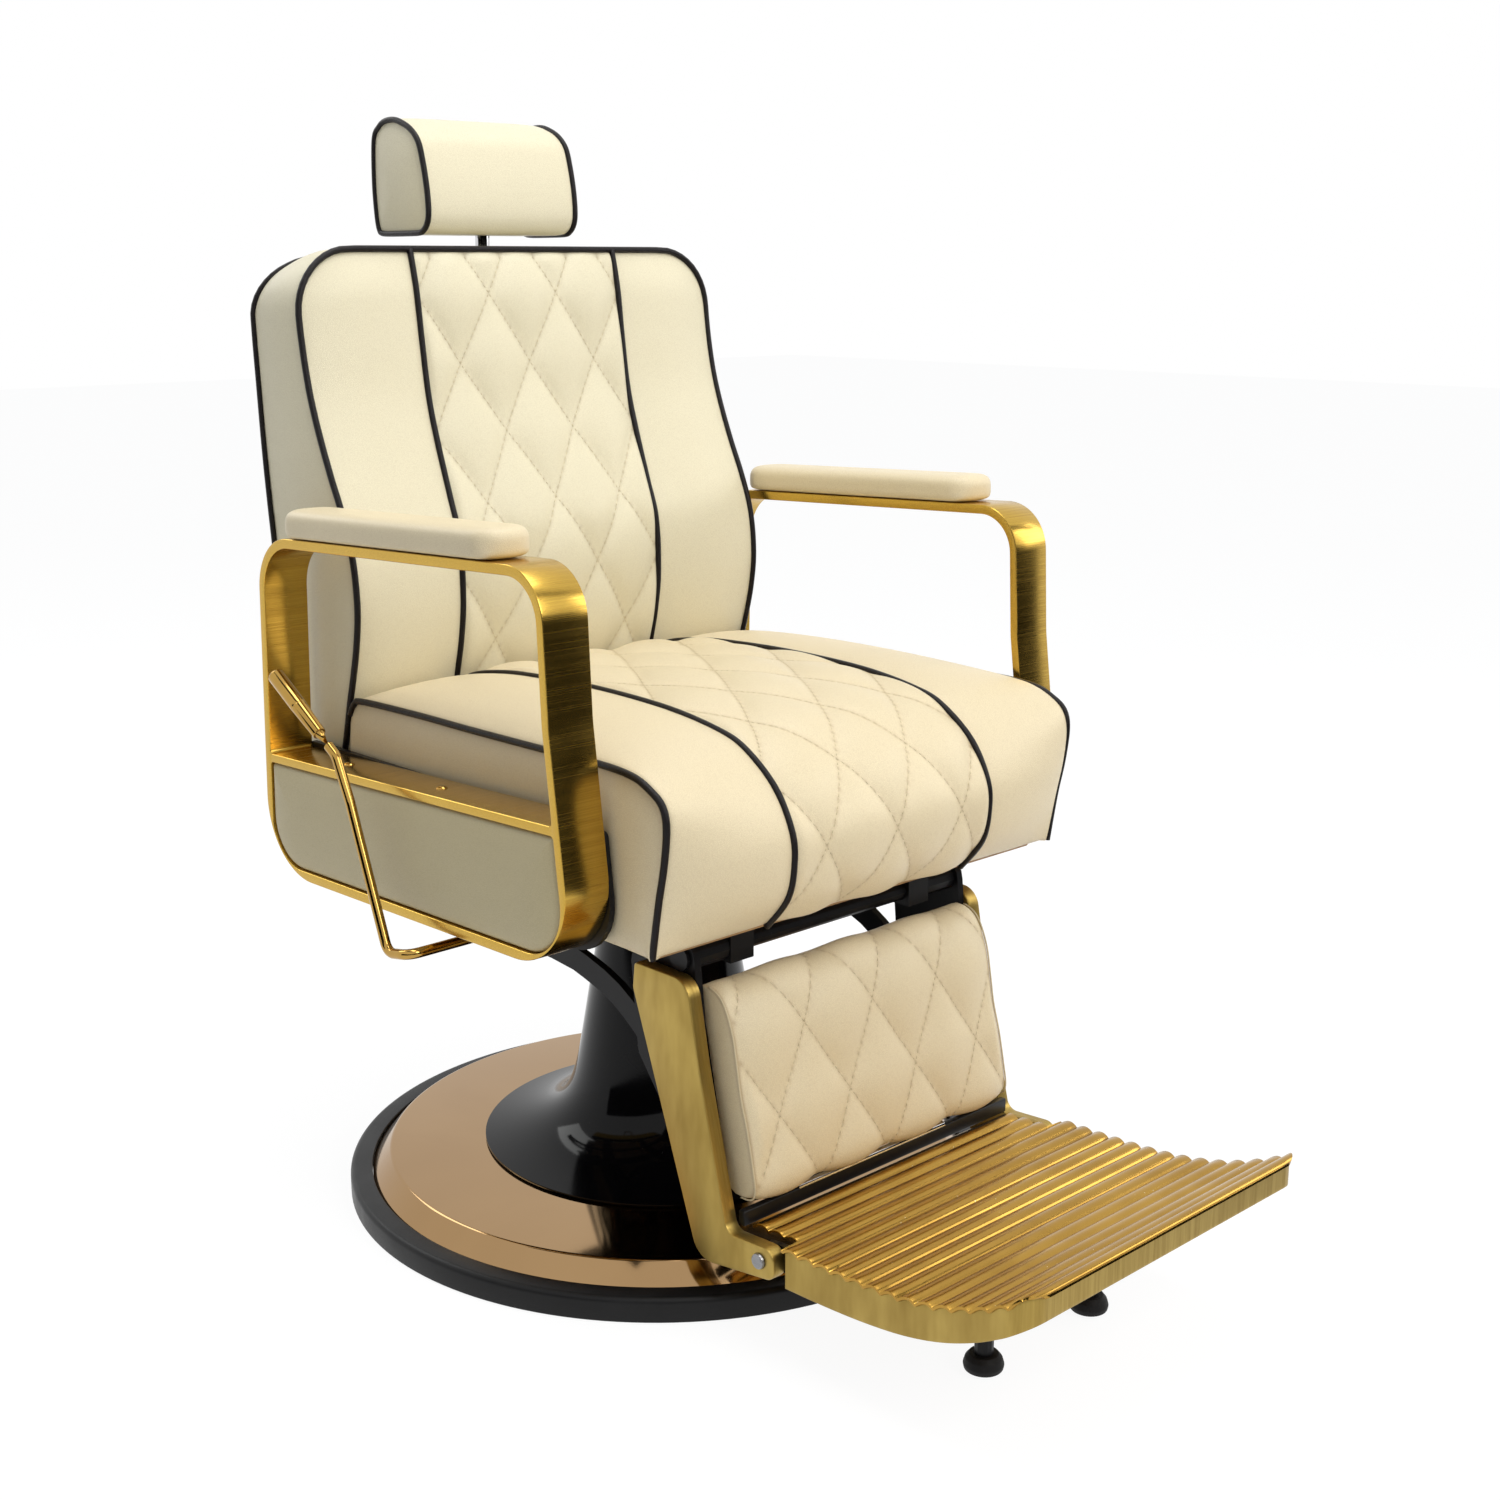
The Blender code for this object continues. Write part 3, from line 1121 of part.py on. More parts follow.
def build_back_cushion():
    up = diamond_step()[1]
    rows = int((BACK_TOP_Z - 0.012 - BACK_BOTTOM_Z) / up)
    columns = columns_of(QUILT_HALF_W, BACK_HALF_W - 0.0025, (0.18, 0.42, 0.64, 0.80, 0.92, 1.0))
    columns = [-BACK_HALF_W, *columns, BACK_HALF_W]
    rings = []
    for x in columns:
        off = abs(x)
        out = max(off - QUILT_HALF_W, 0.0) / (BACK_HALF_W - QUILT_HALF_W)
        blend = 1.0 - out * out
        draw = 0.003 if off >= BACK_HALF_W - 1e-6 else 0.0
        top = back_top(min(off, BACK_HALF_W - 0.0025)) - draw
        stretch = (top - 0.012 - BACK_BOTTOM_Z) / (BACK_TOP_Z - 0.012 - BACK_BOTTOM_Z)
        ring = []
        for row in range(rows + 1):
            flat = BACK_BOTTOM_Z + row * up
            z = BACK_BOTTOM_Z + row * up * stretch
            y = height_at(BACK_SIDE, z) * (1.0 - blend) + height_at(BACK_MIDDLE, z) * blend
            window = min(max((z - 0.556) / 0.05, 0.0), 1.0) * min(1.0, (top - 0.005 - z) / 0.03)
            if off < QUILT_HALF_W:
                lift = SEAT_QUILT_DEPTH * puff(x, flat - BACK_BOTTOM_Z) * min(1.0, (QUILT_HALF_W - off) / 0.006)
            else:
                lift = 0.006 * math.sin(math.pi * min(out, 1.0))
            ring.append((x, y - lift * window + draw, z))
        rear = height_at(BACK_REAR, top - 0.030) - BACK_PANEL_T - BACK_PANEL_GAP
        front = ring[-1][1]
        ring += [(x, front + 0.008, top - 0.002), (x, front + 0.022, top),
                 (x, (front + rear) / 2 + 0.010, top + 0.001), (x, rear - 0.012, top - 0.003),
                 (x, rear - 0.002, top - 0.012)]
        for share in (1.0, 0.8, 0.6, 0.4, 0.2, 0.0):
            z = BACK_BOTTOM_Z + (top - 0.030 - BACK_BOTTOM_Z) * share
            ring.append((x, height_at(BACK_REAR, z) - BACK_PANEL_T - BACK_PANEL_GAP, z))
        ring.append((x, 0.245, BACK_BOTTOM_Z))
        rings.append(ring)
    cushion = loft("back_cushion", LEATHER, rings, diagonals(columns, rows, 0))
    sleeve = HEADREST_POST_R + RUN_GAP + HEADREST_SLEEVE_WALL + SEAT_GAP
    boolean(cushion, round_cutter("sleeve_hole", sleeve, HEADREST_POST_FOOT_Z - 0.006, BACK_TOP_Z + 0.02,
                                  Matrix.Translation((0.0, HEADREST_POST_Y, 0.0)), 24))
    return cushion


def build_back_panel():
    low = BACK_BOTTOM_Z + 0.008
    half = BACK_HALF_W - 0.012
    stations = sorted({sign * half * share for share in (0.4, 0.75, 0.86, 0.94, 1.0) for sign in (-1, 1)})
    rings = []
    for x in stations:
        top = back_top(x * BACK_HALF_W / half) - 0.034
        heights = [low + (top - low) * share for share in (0.0, 0.2, 0.4, 0.6, 0.75, 0.9, 1.0)]
        rings.append([(x, height_at(BACK_REAR, z) - BACK_PANEL_T, z) for z in heights]
                     + [(x, height_at(BACK_REAR, z), z) for z in heights[::-1]])
    return loft("back_panel", LEATHER, rings)


HEADREST_OUTLINE = [  # (y, height over the headrest's bottom)
    (0.281, 0.0005), (0.27, 0.003), (0.262, 0.011), (0.259, 0.024), (0.261, 0.049), (0.267, 0.077),
    (0.274, 0.097), (0.287, 0.11), (0.304, 0.118), (0.32, 0.122), (0.337, 0.121), (0.348, 0.116),
    (0.359, 0.103), (0.362, 0.059), (0.36, 0.024), (0.356, 0.005), (0.348, 0.0005), (0.315, 0.0)]


def build_headrest():
    middle = (0.312, HEADREST_BOTTOM_Z + 0.054)
    rings = []
    half = HEADREST_HALF_W
    for share in (-1.0, -0.97, -0.85, -0.6, -0.2, 0.2, 0.6, 0.85, 0.97, 1.0):
        x = half * share
        swell = 0.955 if abs(share) == 1.0 else 1.0 + 0.035 * (1.0 - share * share)
        rings.append([(x, middle[0] + (y - middle[0]) * swell,
                       max(middle[1] + (HEADREST_BOTTOM_Z + rise - middle[1]) * swell, HEADREST_BOTTOM_Z))
                      for y, rise in HEADREST_OUTLINE])
    cushion = loft("headrest_cushion", LEATHER, rings)
    sink = 0.045
    place = Matrix.Translation((0.0, HEADREST_POST_Y, 0.0))
    boolean(cushion, round_cutter("post_hole", HEADREST_POST_R + SEAT_GAP, HEADREST_BOTTOM_Z - 0.01,
                                  HEADREST_BOTTOM_Z + sink + SEAT_GAP, place, 24))
    post = turned("headrest_post", CHROME,
                  rod_profile(HEADREST_POST_R, HEADREST_POST_FOOT_Z, HEADREST_BOTTOM_Z + sink), [place],
                  steps=24)
    return [cushion, post]


CALF_FRONT = [(-0.2555, 0.3265), (-0.270, 0.3260), (-0.285, 0.3165), (-0.2975, 0.290), (-0.304, 0.258),
              (-0.309, 0.230), (-0.3175, 0.200), (-0.3245, 0.168), (-0.3285, 0.143),
              (-0.3220, 0.1325), (-0.3000, 0.1315)]
CALF_REAR = ((-0.2525, 0.3230), (-0.2920, 0.1350))


def build_calf_pad():
    front = by_length(CALF_FRONT)
    down = diamond_step()[1]
    length = front[1][-1]
    rows = int(length / down)
    half = CALF_HALF_W
    columns = columns_of(half - 0.0022, half - 0.0022, ())
    columns = [-half, *columns, half]
    rings = []
    for x in columns:
        off = abs(x)
        draw = 0.004 if off >= half - 1e-6 else 0.0
        crown = 0.005 * (1.0 - (off / half) ** 2)
        ring = []
        for row in range(rows + 2):
            share = min(row * down / length, 1.0)
            point, normal = path_point(front, share)
            window = math.sin(math.pi * share) ** 0.5 if share < 1.0 else 0.0
            fade = min(1.0, (half - off) / 0.008)
            lift = (CALF_QUILT_DEPTH * puff(x, row * down) * fade + crown) * window
            point = point - normal * (lift - draw)
            ring.append((x, point.x, point.y))
        (y0, z0), (y1, z1) = CALF_REAR
        for share in (0.0, 0.33, 0.67, 1.0):
            ring.append((x, y1 + (y0 - y1) * share, z1 + (z0 - z1) * share - draw * (share - 0.5)))
        rings.append(ring)
    return loft("calf_pad", LEATHER, rings, diagonals(columns, rows, 0))


# ---------------------------------------------------------------- back

def link_offset():
    """From a recline pivot to the push link's pin at rest."""
    return Vector((LINK_ARM * math.sin(LINK_ARM_TILT), -LINK_ARM * math.cos(LINK_ARM_TILT)))


def headed_pin(length):
    """A link's pin: its shank runs up from zero to a flat head."""
    head_r, head_t = LINK_PIN_R + 0.004, 0.003
    return [(0.0, 0.0), (LINK_PIN_R, 0.0), (LINK_PIN_R, length), (head_r, length),
            (head_r, length + head_t), (0.0, length + head_t)]


def both_sides(x, point):
    """Places that lay a profile outward along X on each side."""
    return [along_x(x, *point), Matrix.Rotation(math.pi, 4, "Z") @ along_x(x, -point[0], point[1])]


def build_back():
    pieces = [build_back_cushion(), build_back_panel()]
    pin = tuple(Vector(BACK_PIVOT) + link_offset())
    rail_t = 0.0077
    rail_z = BACK_BOTTOM_Z - SEAT_GAP - rail_t
    carrier = box("back_carrier", BLACK_STEEL, (-BACK_CARRIER_X, 0.206, rail_z),
                  (BACK_CARRIER_X, 0.286, rail_z + rail_t), 0.0015)
    arm_top_z = rail_z + 0.002
    outline = hull([(pin, 0.015), (BACK_PIVOT, 0.024), ((0.216, arm_top_z - 0.004), 0.004),
                    ((0.276, arm_top_z - 0.004), 0.004)])
    inner = LINK_X - SEAT_GAP * 4 / 3 - PLATE_STEEL_T
    for side, low, high in mirrored(inner, inner + PLATE_STEEL_T):
        joined(carrier, plate(f"back_arm_{side}", BLACK_STEEL,
                              [outline, circle(BACK_PIVOT, SHAFT_R + SEAT_GAP, 12)], low, high, side_place()))
    for side, place in zip("LR", both_sides(inner + PLATE_STEEL_T / 2, pin)):
        joined(carrier, turned(f"link_pin_rear_{side}", STEEL, headed_pin(
            LINK_X + LINK_T + SEAT_GAP - inner - PLATE_STEEL_T / 2), [place], steps=SIDES))
    pieces.append(carrier)
    sleeve = HEADREST_POST_R + RUN_GAP
    pieces.append(turned("headrest_sleeve", STEEL,
                         tube_profile(sleeve, sleeve + HEADREST_SLEEVE_WALL, HEADREST_SLEEVE_Z,
                                      BACK_TOP_Z - 0.004),
                         [Matrix.Translation((0.0, HEADREST_POST_Y, 0.0))], steps=24))
    return pieces


def build_links():
    rear = Vector(BACK_PIVOT) + link_offset()
    front = Vector(LEG_PIVOT) + link_offset()
    path = smooth_path([front, front + Vector((0.023, 0.018)), front + Vector((0.058, 0.040)),
                        front + Vector((0.103, 0.055)), front + Vector((0.158, 0.063)),
                        rear - Vector((0.130, 0.001)), rear], 2)
    outline = ribbon(path, LINK_W)
    holes = [circle(front, LINK_PIN_R + LINK_CLEAR, 12), circle(rear, LINK_PIN_R + SEAT_GAP, 12)]
    return [plate(f"push_link_{side}", BLACK_STEEL, [outline, *holes], low, high, side_place())
            for side, low, high in mirrored(LINK_X, LINK_X + LINK_T)]


# ---------------------------------------------------------------- leg rest

def calf_frame():
    """The pad's rear line: its top, its direction down and its normal to the rear."""
    top, low = Vector(CALF_REAR[0]), Vector(CALF_REAR[1])
    down = (low - top).normalized()
    return top, down, Vector((-down.y, down.x))


def build_leg_rest():
    pieces = [build_calf_pad()]
    pin = tuple(Vector(LEG_PIVOT) + link_offset())
    low_end = (-0.262, 0.150)
    heel = (LEG_PIVOT[0] + 0.053, LEG_PIVOT[1] - 0.021)
    outline = hull([(LEG_PIVOT, 0.018), (heel, 0.020), (pin, 0.015), (low_end, 0.014)])
    top, down, rear = calf_frame()
    stand = SEAT_GAP * 2 + CALF_BOARD_T + CALF_BAR_R
    reach = LEG_ARM_X + PLATE_STEEL_T / 2
    bars = []
    for number, height in enumerate(CALF_BAR_HEIGHTS):
        centre = top + down * ((top.y - height) / -down.y) + rear * stand
        bars.append(turned(f"calf_crossbar_{number}", BLACK_STEEL, rod_profile(CALF_BAR_R, -reach, reach),
                           [along_x(0.0, *centre)], steps=SIDES))
    arms = [plate(f"leg_arm_{side}", BLACK_STEEL, [outline, circle(LEG_PIVOT, SHAFT_R + SEAT_GAP, 12)],
                  low, high, side_place())
            for side, low, high in mirrored(LEG_ARM_X, LEG_ARM_X + PLATE_STEEL_T)]
    frame = arms[0]
    frame.name = "leg_frame"
    for other in (*bars, arms[1]):
        joined(frame, other)
    for number, (x, turn) in enumerate(((-1, 0.0), (1, math.pi))):
        place = Matrix.Rotation(turn, 4, "Z") @ along_x(-LEG_ARM_X - PLATE_STEEL_T / 2, -x * pin[0], pin[1])
        joined(frame, turned(f"link_pin_front_{number}", STEEL, headed_pin(
            LEG_ARM_X + PLATE_STEEL_T / 2 - LINK_X + SEAT_GAP), [place], steps=SIDES))
    pieces.append(frame)
    bar = filleted(list(LEG_BAR_CORNERS), 4)
    for side, low, high in mirrored(LEG_BAR_X0, LEG_BAR_X0 + LEG_BAR_T):
        pieces.append(plate(f"leg_bar_{side}", GOLD, [bar, circle(FOOT_PIVOT, FOOT_SCREW_R + SEAT_GAP, 12)],
                            low, high, side_place()))
    near, far = rear * SEAT_GAP, rear * (SEAT_GAP + CALF_BOARD_T)
    board = [top + down * 0.020 + near, top + down * 0.175 + near,
             top + down * 0.175 + far, top + down * 0.020 + far]
    board_half = CALF_HALF_W - 0.018
    pieces.append(plate("calf_board", PLY, [[tuple(p) for p in board]], -board_half, board_half, side_place()))
    inner = LEG_ARM_X + 0.0020 - SEAT_GAP
    outer = LEG_BAR_X0 + LEG_BAR_T + SEAT_GAP
    long, nut = outer - inner, 0.0065
    screw = [(0.0, -0.004), (nut, -0.004), (nut, 0.0), (FOOT_SCREW_R, 0.0), (FOOT_SCREW_R, long),
             (FOOT_SCREW_HEAD_R, long), (FOOT_SCREW_HEAD_R, long + 0.002),
             (FOOT_SCREW_HEAD_R * 0.8, long + 0.003), (0.0, long + 0.003)]
    for side, place in zip("LR", both_sides(inner, FOOT_PIVOT)):
        pieces.append(turned(f"footplate_screw_{side}", GOLD, screw, [place], steps=SIDES))
    return pieces


# ---------------------------------------------------------------- footplate

def foot_top(y):
    """Height of the footplate's sheet between its ribs at y."""
    return height_at([(-a, b) for a, b in FOOT_TOP], -y)


def foot_under(y):
    return foot_top(y) - FOOT_SHEET_T


def build_footplate():
    front = FOOT_TOP[-1][0]
    depth = FOOT_HEEL_Y - front
    ribs = int(depth / RIB_PITCH)
    margin = (depth - ribs * RIB_PITCH) / 2
    top = [(FOOT_HEEL_Y, foot_top(FOOT_HEEL_Y))]
    for rib in range(ribs):
        start = FOOT_HEEL_Y - margin - rib * RIB_PITCH
        for share, lift in ((0.18, 0.0), (0.34, 1.0), (0.66, 1.0), (0.82, 0.0)):
            y = start - RIB_PITCH * share
            top.append((y, foot_top(y) + RIB_H * lift))
    top.append((front, foot_top(front)))
    under = [(y, z - FOOT_SHEET_T) for y, z in top]
    blank_half = FOOT_HALF_W + 0.01
    tread = plate("footplate_tread", GOLD, [top + under[::-1]], -blank_half, blank_half, side_place())
    plan = filleted([
        ((-FOOT_HEEL_HALF_W, FOOT_HEEL_Y + 0.01), 0.0), ((-FOOT_HEEL_HALF_W, FOOT_STEP_Y), 0.003),
        ((-FOOT_HALF_W, FOOT_STEP_Y), 0.006), ((-FOOT_HALF_W, front + 0.001), 0.027),
        ((FOOT_HALF_W, front + 0.001), 0.027), ((FOOT_HALF_W, FOOT_STEP_Y), 0.006),
        ((FOOT_HEEL_HALF_W, FOOT_STEP_Y), 0.003), ((FOOT_HEEL_HALF_W, FOOT_HEEL_Y + 0.01), 0.0)], 5)
    shape = plate("tread_plan", GOLD, [plan], 0.05, 0.25)
    shape.hide_render = True
    shape.display_type = "WIRE"
    boolean(tread, shape, "INTERSECT")
    out = FOOT_HALF_W - 0.0015
    edge = front + 0.0025
    corners = [((-out, FOOT_STEP_Y - 0.003), 0.0), ((-out, edge), 0.0255), ((out, edge), 0.0255),
               ((out, FOOT_STEP_Y - 0.003), 0.0)]
    wall = []
    for index, (corner, radius) in enumerate(corners):
        if radius:
            wall += arc_corner(corners[index - 1][0], corner, corners[index + 1][0], radius, 6)
        else:
            wall.append(corner)
    fine = [wall[0]]
    for a, b in zip(wall, wall[1:]):
        pieces = max(int((Vector(b) - Vector(a)).length / 0.03), 1)
        fine += [tuple(Vector(a).lerp(Vector(b), (i + 1) / pieces)) for i in range(pieces)]
    inward = inset_points(fine, SKIRT_T)
    inward[0] = (fine[0][0] + SKIRT_T, fine[0][1])
    inward[-1] = (fine[-1][0] - SKIRT_T, fine[-1][1])
    rings = []
    for (xo, yo), (xi, yi) in zip(fine, inward):
        reach = (FOOT_STEP_Y - yo) / (FOOT_STEP_Y - edge)
        deep = SKIRT_DEPTH + (SKIRT_DEPTH_FRONT - SKIRT_DEPTH) * reach ** 2
        outer_top, inner_top = foot_under(yo) - SKIRT_GAP, foot_under(yi) - SKIRT_GAP
        rings.append([(xo, yo, outer_top), (xo, yo, outer_top - deep), (xi, yi, outer_top - deep),
                      (xi, yi, inner_top)])
    skirt = loft("footplate_skirt", GOLD, rings)
    low_z, far = FOOT_PIVOT[1] - 0.008, -0.462
    ring = 0.0125
    lug = []
    for step in range(13):
        turn = math.radians(88.0 - 178.0 * step / 12)
        lug.append((FOOT_PIVOT[0] + ring * math.cos(turn), FOOT_PIVOT[1] + ring * math.sin(turn)))
    lug += [(far + 0.004, low_z), (far, low_z + 0.004)]
    lug += [(y, foot_under(y) - SEAT_GAP) for y in (far, far + 0.025, far + 0.050, far + 0.072)]
    lug_x = LEG_BAR_X0 - SEAT_GAP - LUG_T
    lugs = [plate(f"footplate_lug_{side}", BLACK_STEEL, [lug, circle(FOOT_PIVOT, FOOT_SCREW_R + SEAT_GAP, 12)],
                  low, high, side_place())
            for side, low, high in mirrored(lug_x, lug_x + LUG_T)]
    frame = lugs[0]
    frame.name = "footplate_frame"
    joined(frame, lugs[1])
    bridge_y, half = far + 0.020, FOOT_BRIDGE_W / 2
    tip = FOOT_LEG_Y - FOOT_LEG_R * 1.5
    reach = lug_x + LUG_T / 2
    near, off = FOOT_LEG_X - FOOT_LEG_R * 1.5, FOOT_LEG_X + FOOT_LEG_R * 1.5
    plan = [(-reach, bridge_y + half), (-reach, bridge_y - half), (-off, bridge_y - half), (-off, tip),
            (-near, tip), (-near, bridge_y - half), (near, bridge_y - half), (near, tip),
            (off, tip), (off, bridge_y - half), (reach, bridge_y - half), (reach, bridge_y + half)]
    bridge_z = foot_under(bridge_y + half) - SEAT_GAP
    joined(frame, plate("footplate_bridge", BLACK_STEEL, [plan], bridge_z - FOOT_BRIDGE_T, bridge_z))
    leg_z = FOOT_PAD_Z0 + FOOT_PAD_H + SEAT_GAP
    pads = []
    for side, x in (("R", -FOOT_LEG_X), ("L", FOOT_LEG_X)):
        spot = Matrix.Translation((x, FOOT_LEG_Y, 0.0))
        joined(frame, turned(f"footplate_leg_{side}", GOLD, rod_profile(
            FOOT_LEG_R, leg_z, foot_under(FOOT_LEG_Y + FOOT_LEG_R) - SEAT_GAP), [spot], steps=SIDES))
        pads.append(turned(f"footplate_pad_{side}", RUBBER, [
            (0.0, FOOT_PAD_Z0), (FOOT_PAD_R - 0.002, FOOT_PAD_Z0), (FOOT_PAD_R, FOOT_PAD_Z0 + 0.002),
            (FOOT_PAD_R * 0.9, FOOT_PAD_Z0 + FOOT_PAD_H - 0.003), (FOOT_PAD_R * 0.75, FOOT_PAD_Z0 + FOOT_PAD_H),
            (0.0, FOOT_PAD_Z0 + FOOT_PAD_H)], [spot], steps=20))
    return [tread, skirt, frame, *pads]


# ---------------------------------------------------------------- recline lever

def build_lever():
    y, z = LEVER_PIVOT
    knee = Vector((-LEVER_X, 0.0515, 0.5245))
    way = Vector((0.0, 0.091, 0.055)).normalized()
    grip_start = knee + way * 0.014
    path = bent([(-LEVER_IN_X, y, z), (-LEVER_X, y, z), (-LEVER_X, -0.024, 0.345), (-LEVER_X, 0.030, 0.482),
                 tuple(knee), tuple(grip_start)], 0.012, 4)
    lever = rod("lever_rod", GOLD, path, LEVER_R, 2)
    turn = Vector((0.0, 0.0, 1.0)).rotation_difference(way).to_matrix().to_4x4()
    place = Matrix.Translation(grip_start + way * SEAT_GAP) @ turn
    neck = 0.058
    end = neck + LEVER_GRIP_L - 0.012
    grip = turned("lever_grip", GOLD, [
        (0.0, 0.0), (LEVER_R, 0.0), (LEVER_R + 0.0005, 0.010), (LEVER_GRIP_R, neck), (LEVER_GRIP_R, end - 0.003),
        (LEVER_GRIP_R * 0.85, end - 0.001), (LEVER_GRIP_R * 0.55, end), (0.0, end)], [place], steps=SIDES)
    return [lever, grip]


# ---------------------------------------------------------------- chair

def main():
    for old in list(bpy.data.objects):
        bpy.data.objects.remove(old, do_unlink=True)
    base = joint("base_origin", (0.0, 0.0, 0.0))
    carry(base, *build_base())
    column = joint("swivel_axis", (0.0, 0.0, CYLINDER_Z0), base)
    carry(column, *build_column())
    radial = Vector((math.cos(PEDAL_TURN), math.sin(PEDAL_TURN), 0.0))
    pedal = joint("pedal_axis", radial * PEDAL_PIVOT_R + Vector((0.0, 0.0, PEDAL_PIVOT_Z)), column)
    carry(pedal, *build_pedal())
    plunger = joint("plunger_axis", radial * (PEDAL_PIVOT_R + PLUNGER_OFFSET)
                    + Vector((0.0, 0.0, PUMP_BLOCK_Z1)), column)
    carry(plunger, *build_plunger())
    seat = joint("lift_axis", (0.0, 0.0, RAM_SOCKET_Z), column)
    carry(seat, *build_ram(), *build_frame(), build_seat_cushion(), *build_side_plates(),
          *build_armrest("R", -1), *build_armrest("L", 1))
    back = joint("back_axis", (0.0, *BACK_PIVOT), seat)
    carry(back, *build_back())
    headrest = joint("headrest_axis", (0.0, HEADREST_POST_Y, BACK_TOP_Z), back)
    carry(headrest, *build_headrest())
    links = joint("link_axis", (0.0, *(Vector(BACK_PIVOT) + link_offset())), back)
    carry(links, *build_links())
    legs = joint("leg_rest_axis", (0.0, *LEG_PIVOT), seat)
    carry(legs, *build_leg_rest())
    foot = joint("footplate_axis", (0.0, *FOOT_PIVOT), legs)
    carry(foot, *build_footplate())
    lever = joint("lever_axis", (0.0, *LEVER_PIVOT), seat)
    carry(lever, *build_lever())


main()
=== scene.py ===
"""Looks of a hydraulic barber chair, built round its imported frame.

The frame gives every node's place. Each class below dresses one sub-assembly: it models the pieces
that show with bmesh, rides them on the frame's bodies and gives them their finish. Sizes are in
metres, +Z is up, the sitter faces -Y and +X is the sitter's left.
"""

from __future__ import annotations

import json
import logging
import math
from dataclasses import dataclass, field
from enum import Enum
from functools import cached_property
from typing import Callable, Iterable, Sequence

import bmesh
import bpy
from mathutils import Matrix, Vector
from mathutils.bvhtree import BVHTree

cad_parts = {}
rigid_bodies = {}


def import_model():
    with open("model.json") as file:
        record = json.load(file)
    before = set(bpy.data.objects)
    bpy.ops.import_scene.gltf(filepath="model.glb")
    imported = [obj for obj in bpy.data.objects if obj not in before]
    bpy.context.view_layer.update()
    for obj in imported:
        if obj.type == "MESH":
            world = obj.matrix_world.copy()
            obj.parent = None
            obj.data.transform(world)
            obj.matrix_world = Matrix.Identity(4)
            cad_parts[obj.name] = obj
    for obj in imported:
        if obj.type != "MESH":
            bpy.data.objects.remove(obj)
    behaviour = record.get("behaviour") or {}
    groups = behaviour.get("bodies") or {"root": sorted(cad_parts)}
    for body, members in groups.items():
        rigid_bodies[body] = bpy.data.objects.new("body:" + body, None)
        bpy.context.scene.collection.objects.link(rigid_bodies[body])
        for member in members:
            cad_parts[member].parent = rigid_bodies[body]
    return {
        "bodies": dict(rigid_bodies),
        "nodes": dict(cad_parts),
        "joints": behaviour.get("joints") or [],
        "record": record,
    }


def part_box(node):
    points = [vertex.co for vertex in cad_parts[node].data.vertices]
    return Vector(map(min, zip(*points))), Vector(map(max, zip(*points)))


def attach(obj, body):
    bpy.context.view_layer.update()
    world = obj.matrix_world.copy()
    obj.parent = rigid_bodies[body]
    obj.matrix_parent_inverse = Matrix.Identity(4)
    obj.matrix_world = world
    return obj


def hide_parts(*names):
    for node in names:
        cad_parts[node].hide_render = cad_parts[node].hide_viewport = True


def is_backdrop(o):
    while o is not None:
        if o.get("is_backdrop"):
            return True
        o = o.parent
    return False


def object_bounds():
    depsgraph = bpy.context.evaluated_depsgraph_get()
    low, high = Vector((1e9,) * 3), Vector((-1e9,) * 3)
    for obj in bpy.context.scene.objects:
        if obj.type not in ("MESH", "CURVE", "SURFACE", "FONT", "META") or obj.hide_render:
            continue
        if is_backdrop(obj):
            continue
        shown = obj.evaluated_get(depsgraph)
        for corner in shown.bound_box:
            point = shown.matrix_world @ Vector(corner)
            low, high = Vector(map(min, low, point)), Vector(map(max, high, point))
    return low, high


LOG = logging.getLogger("barber_chair")
Point2 = tuple[float, float]
Corner = tuple[Point2, float]


class Side(Enum):
    """A side of the chair, as the sitter has it, with its sign along X."""

    RIGHT = -1
    LEFT = 1

    @property
    def letter(self) -> str:
        """The letter that ends the names of this side's nodes."""
        return "R" if self is Side.RIGHT else "L"


class Shading(Enum):
    """How a piece's faces meet: the angle in degrees past which an edge stays sharp."""

    FLAT = 0.0
    CRISP = 28.0
    ROUND = 50.0
    SOFT = 180.0


# ---------------------------------------------------------------- colours and node groups

def linear(red: int, green: int, blue: int) -> tuple[float, float, float, float]:
    """Turn an sRGB colour of 0 to 255 into the linear colour that a shader takes.

    Args:
        red: The red part.
        green: The green part.
        blue: The blue part.

    Returns:
        The linear colour with an alpha of 1.
    """
    parts = []
    for part in (red, green, blue):
        share = part / 255.0
        parts.append(share / 12.92 if share <= 0.04045 else ((share + 0.055) / 1.055) ** 2.4)
    return (parts[0], parts[1], parts[2], 1.0)


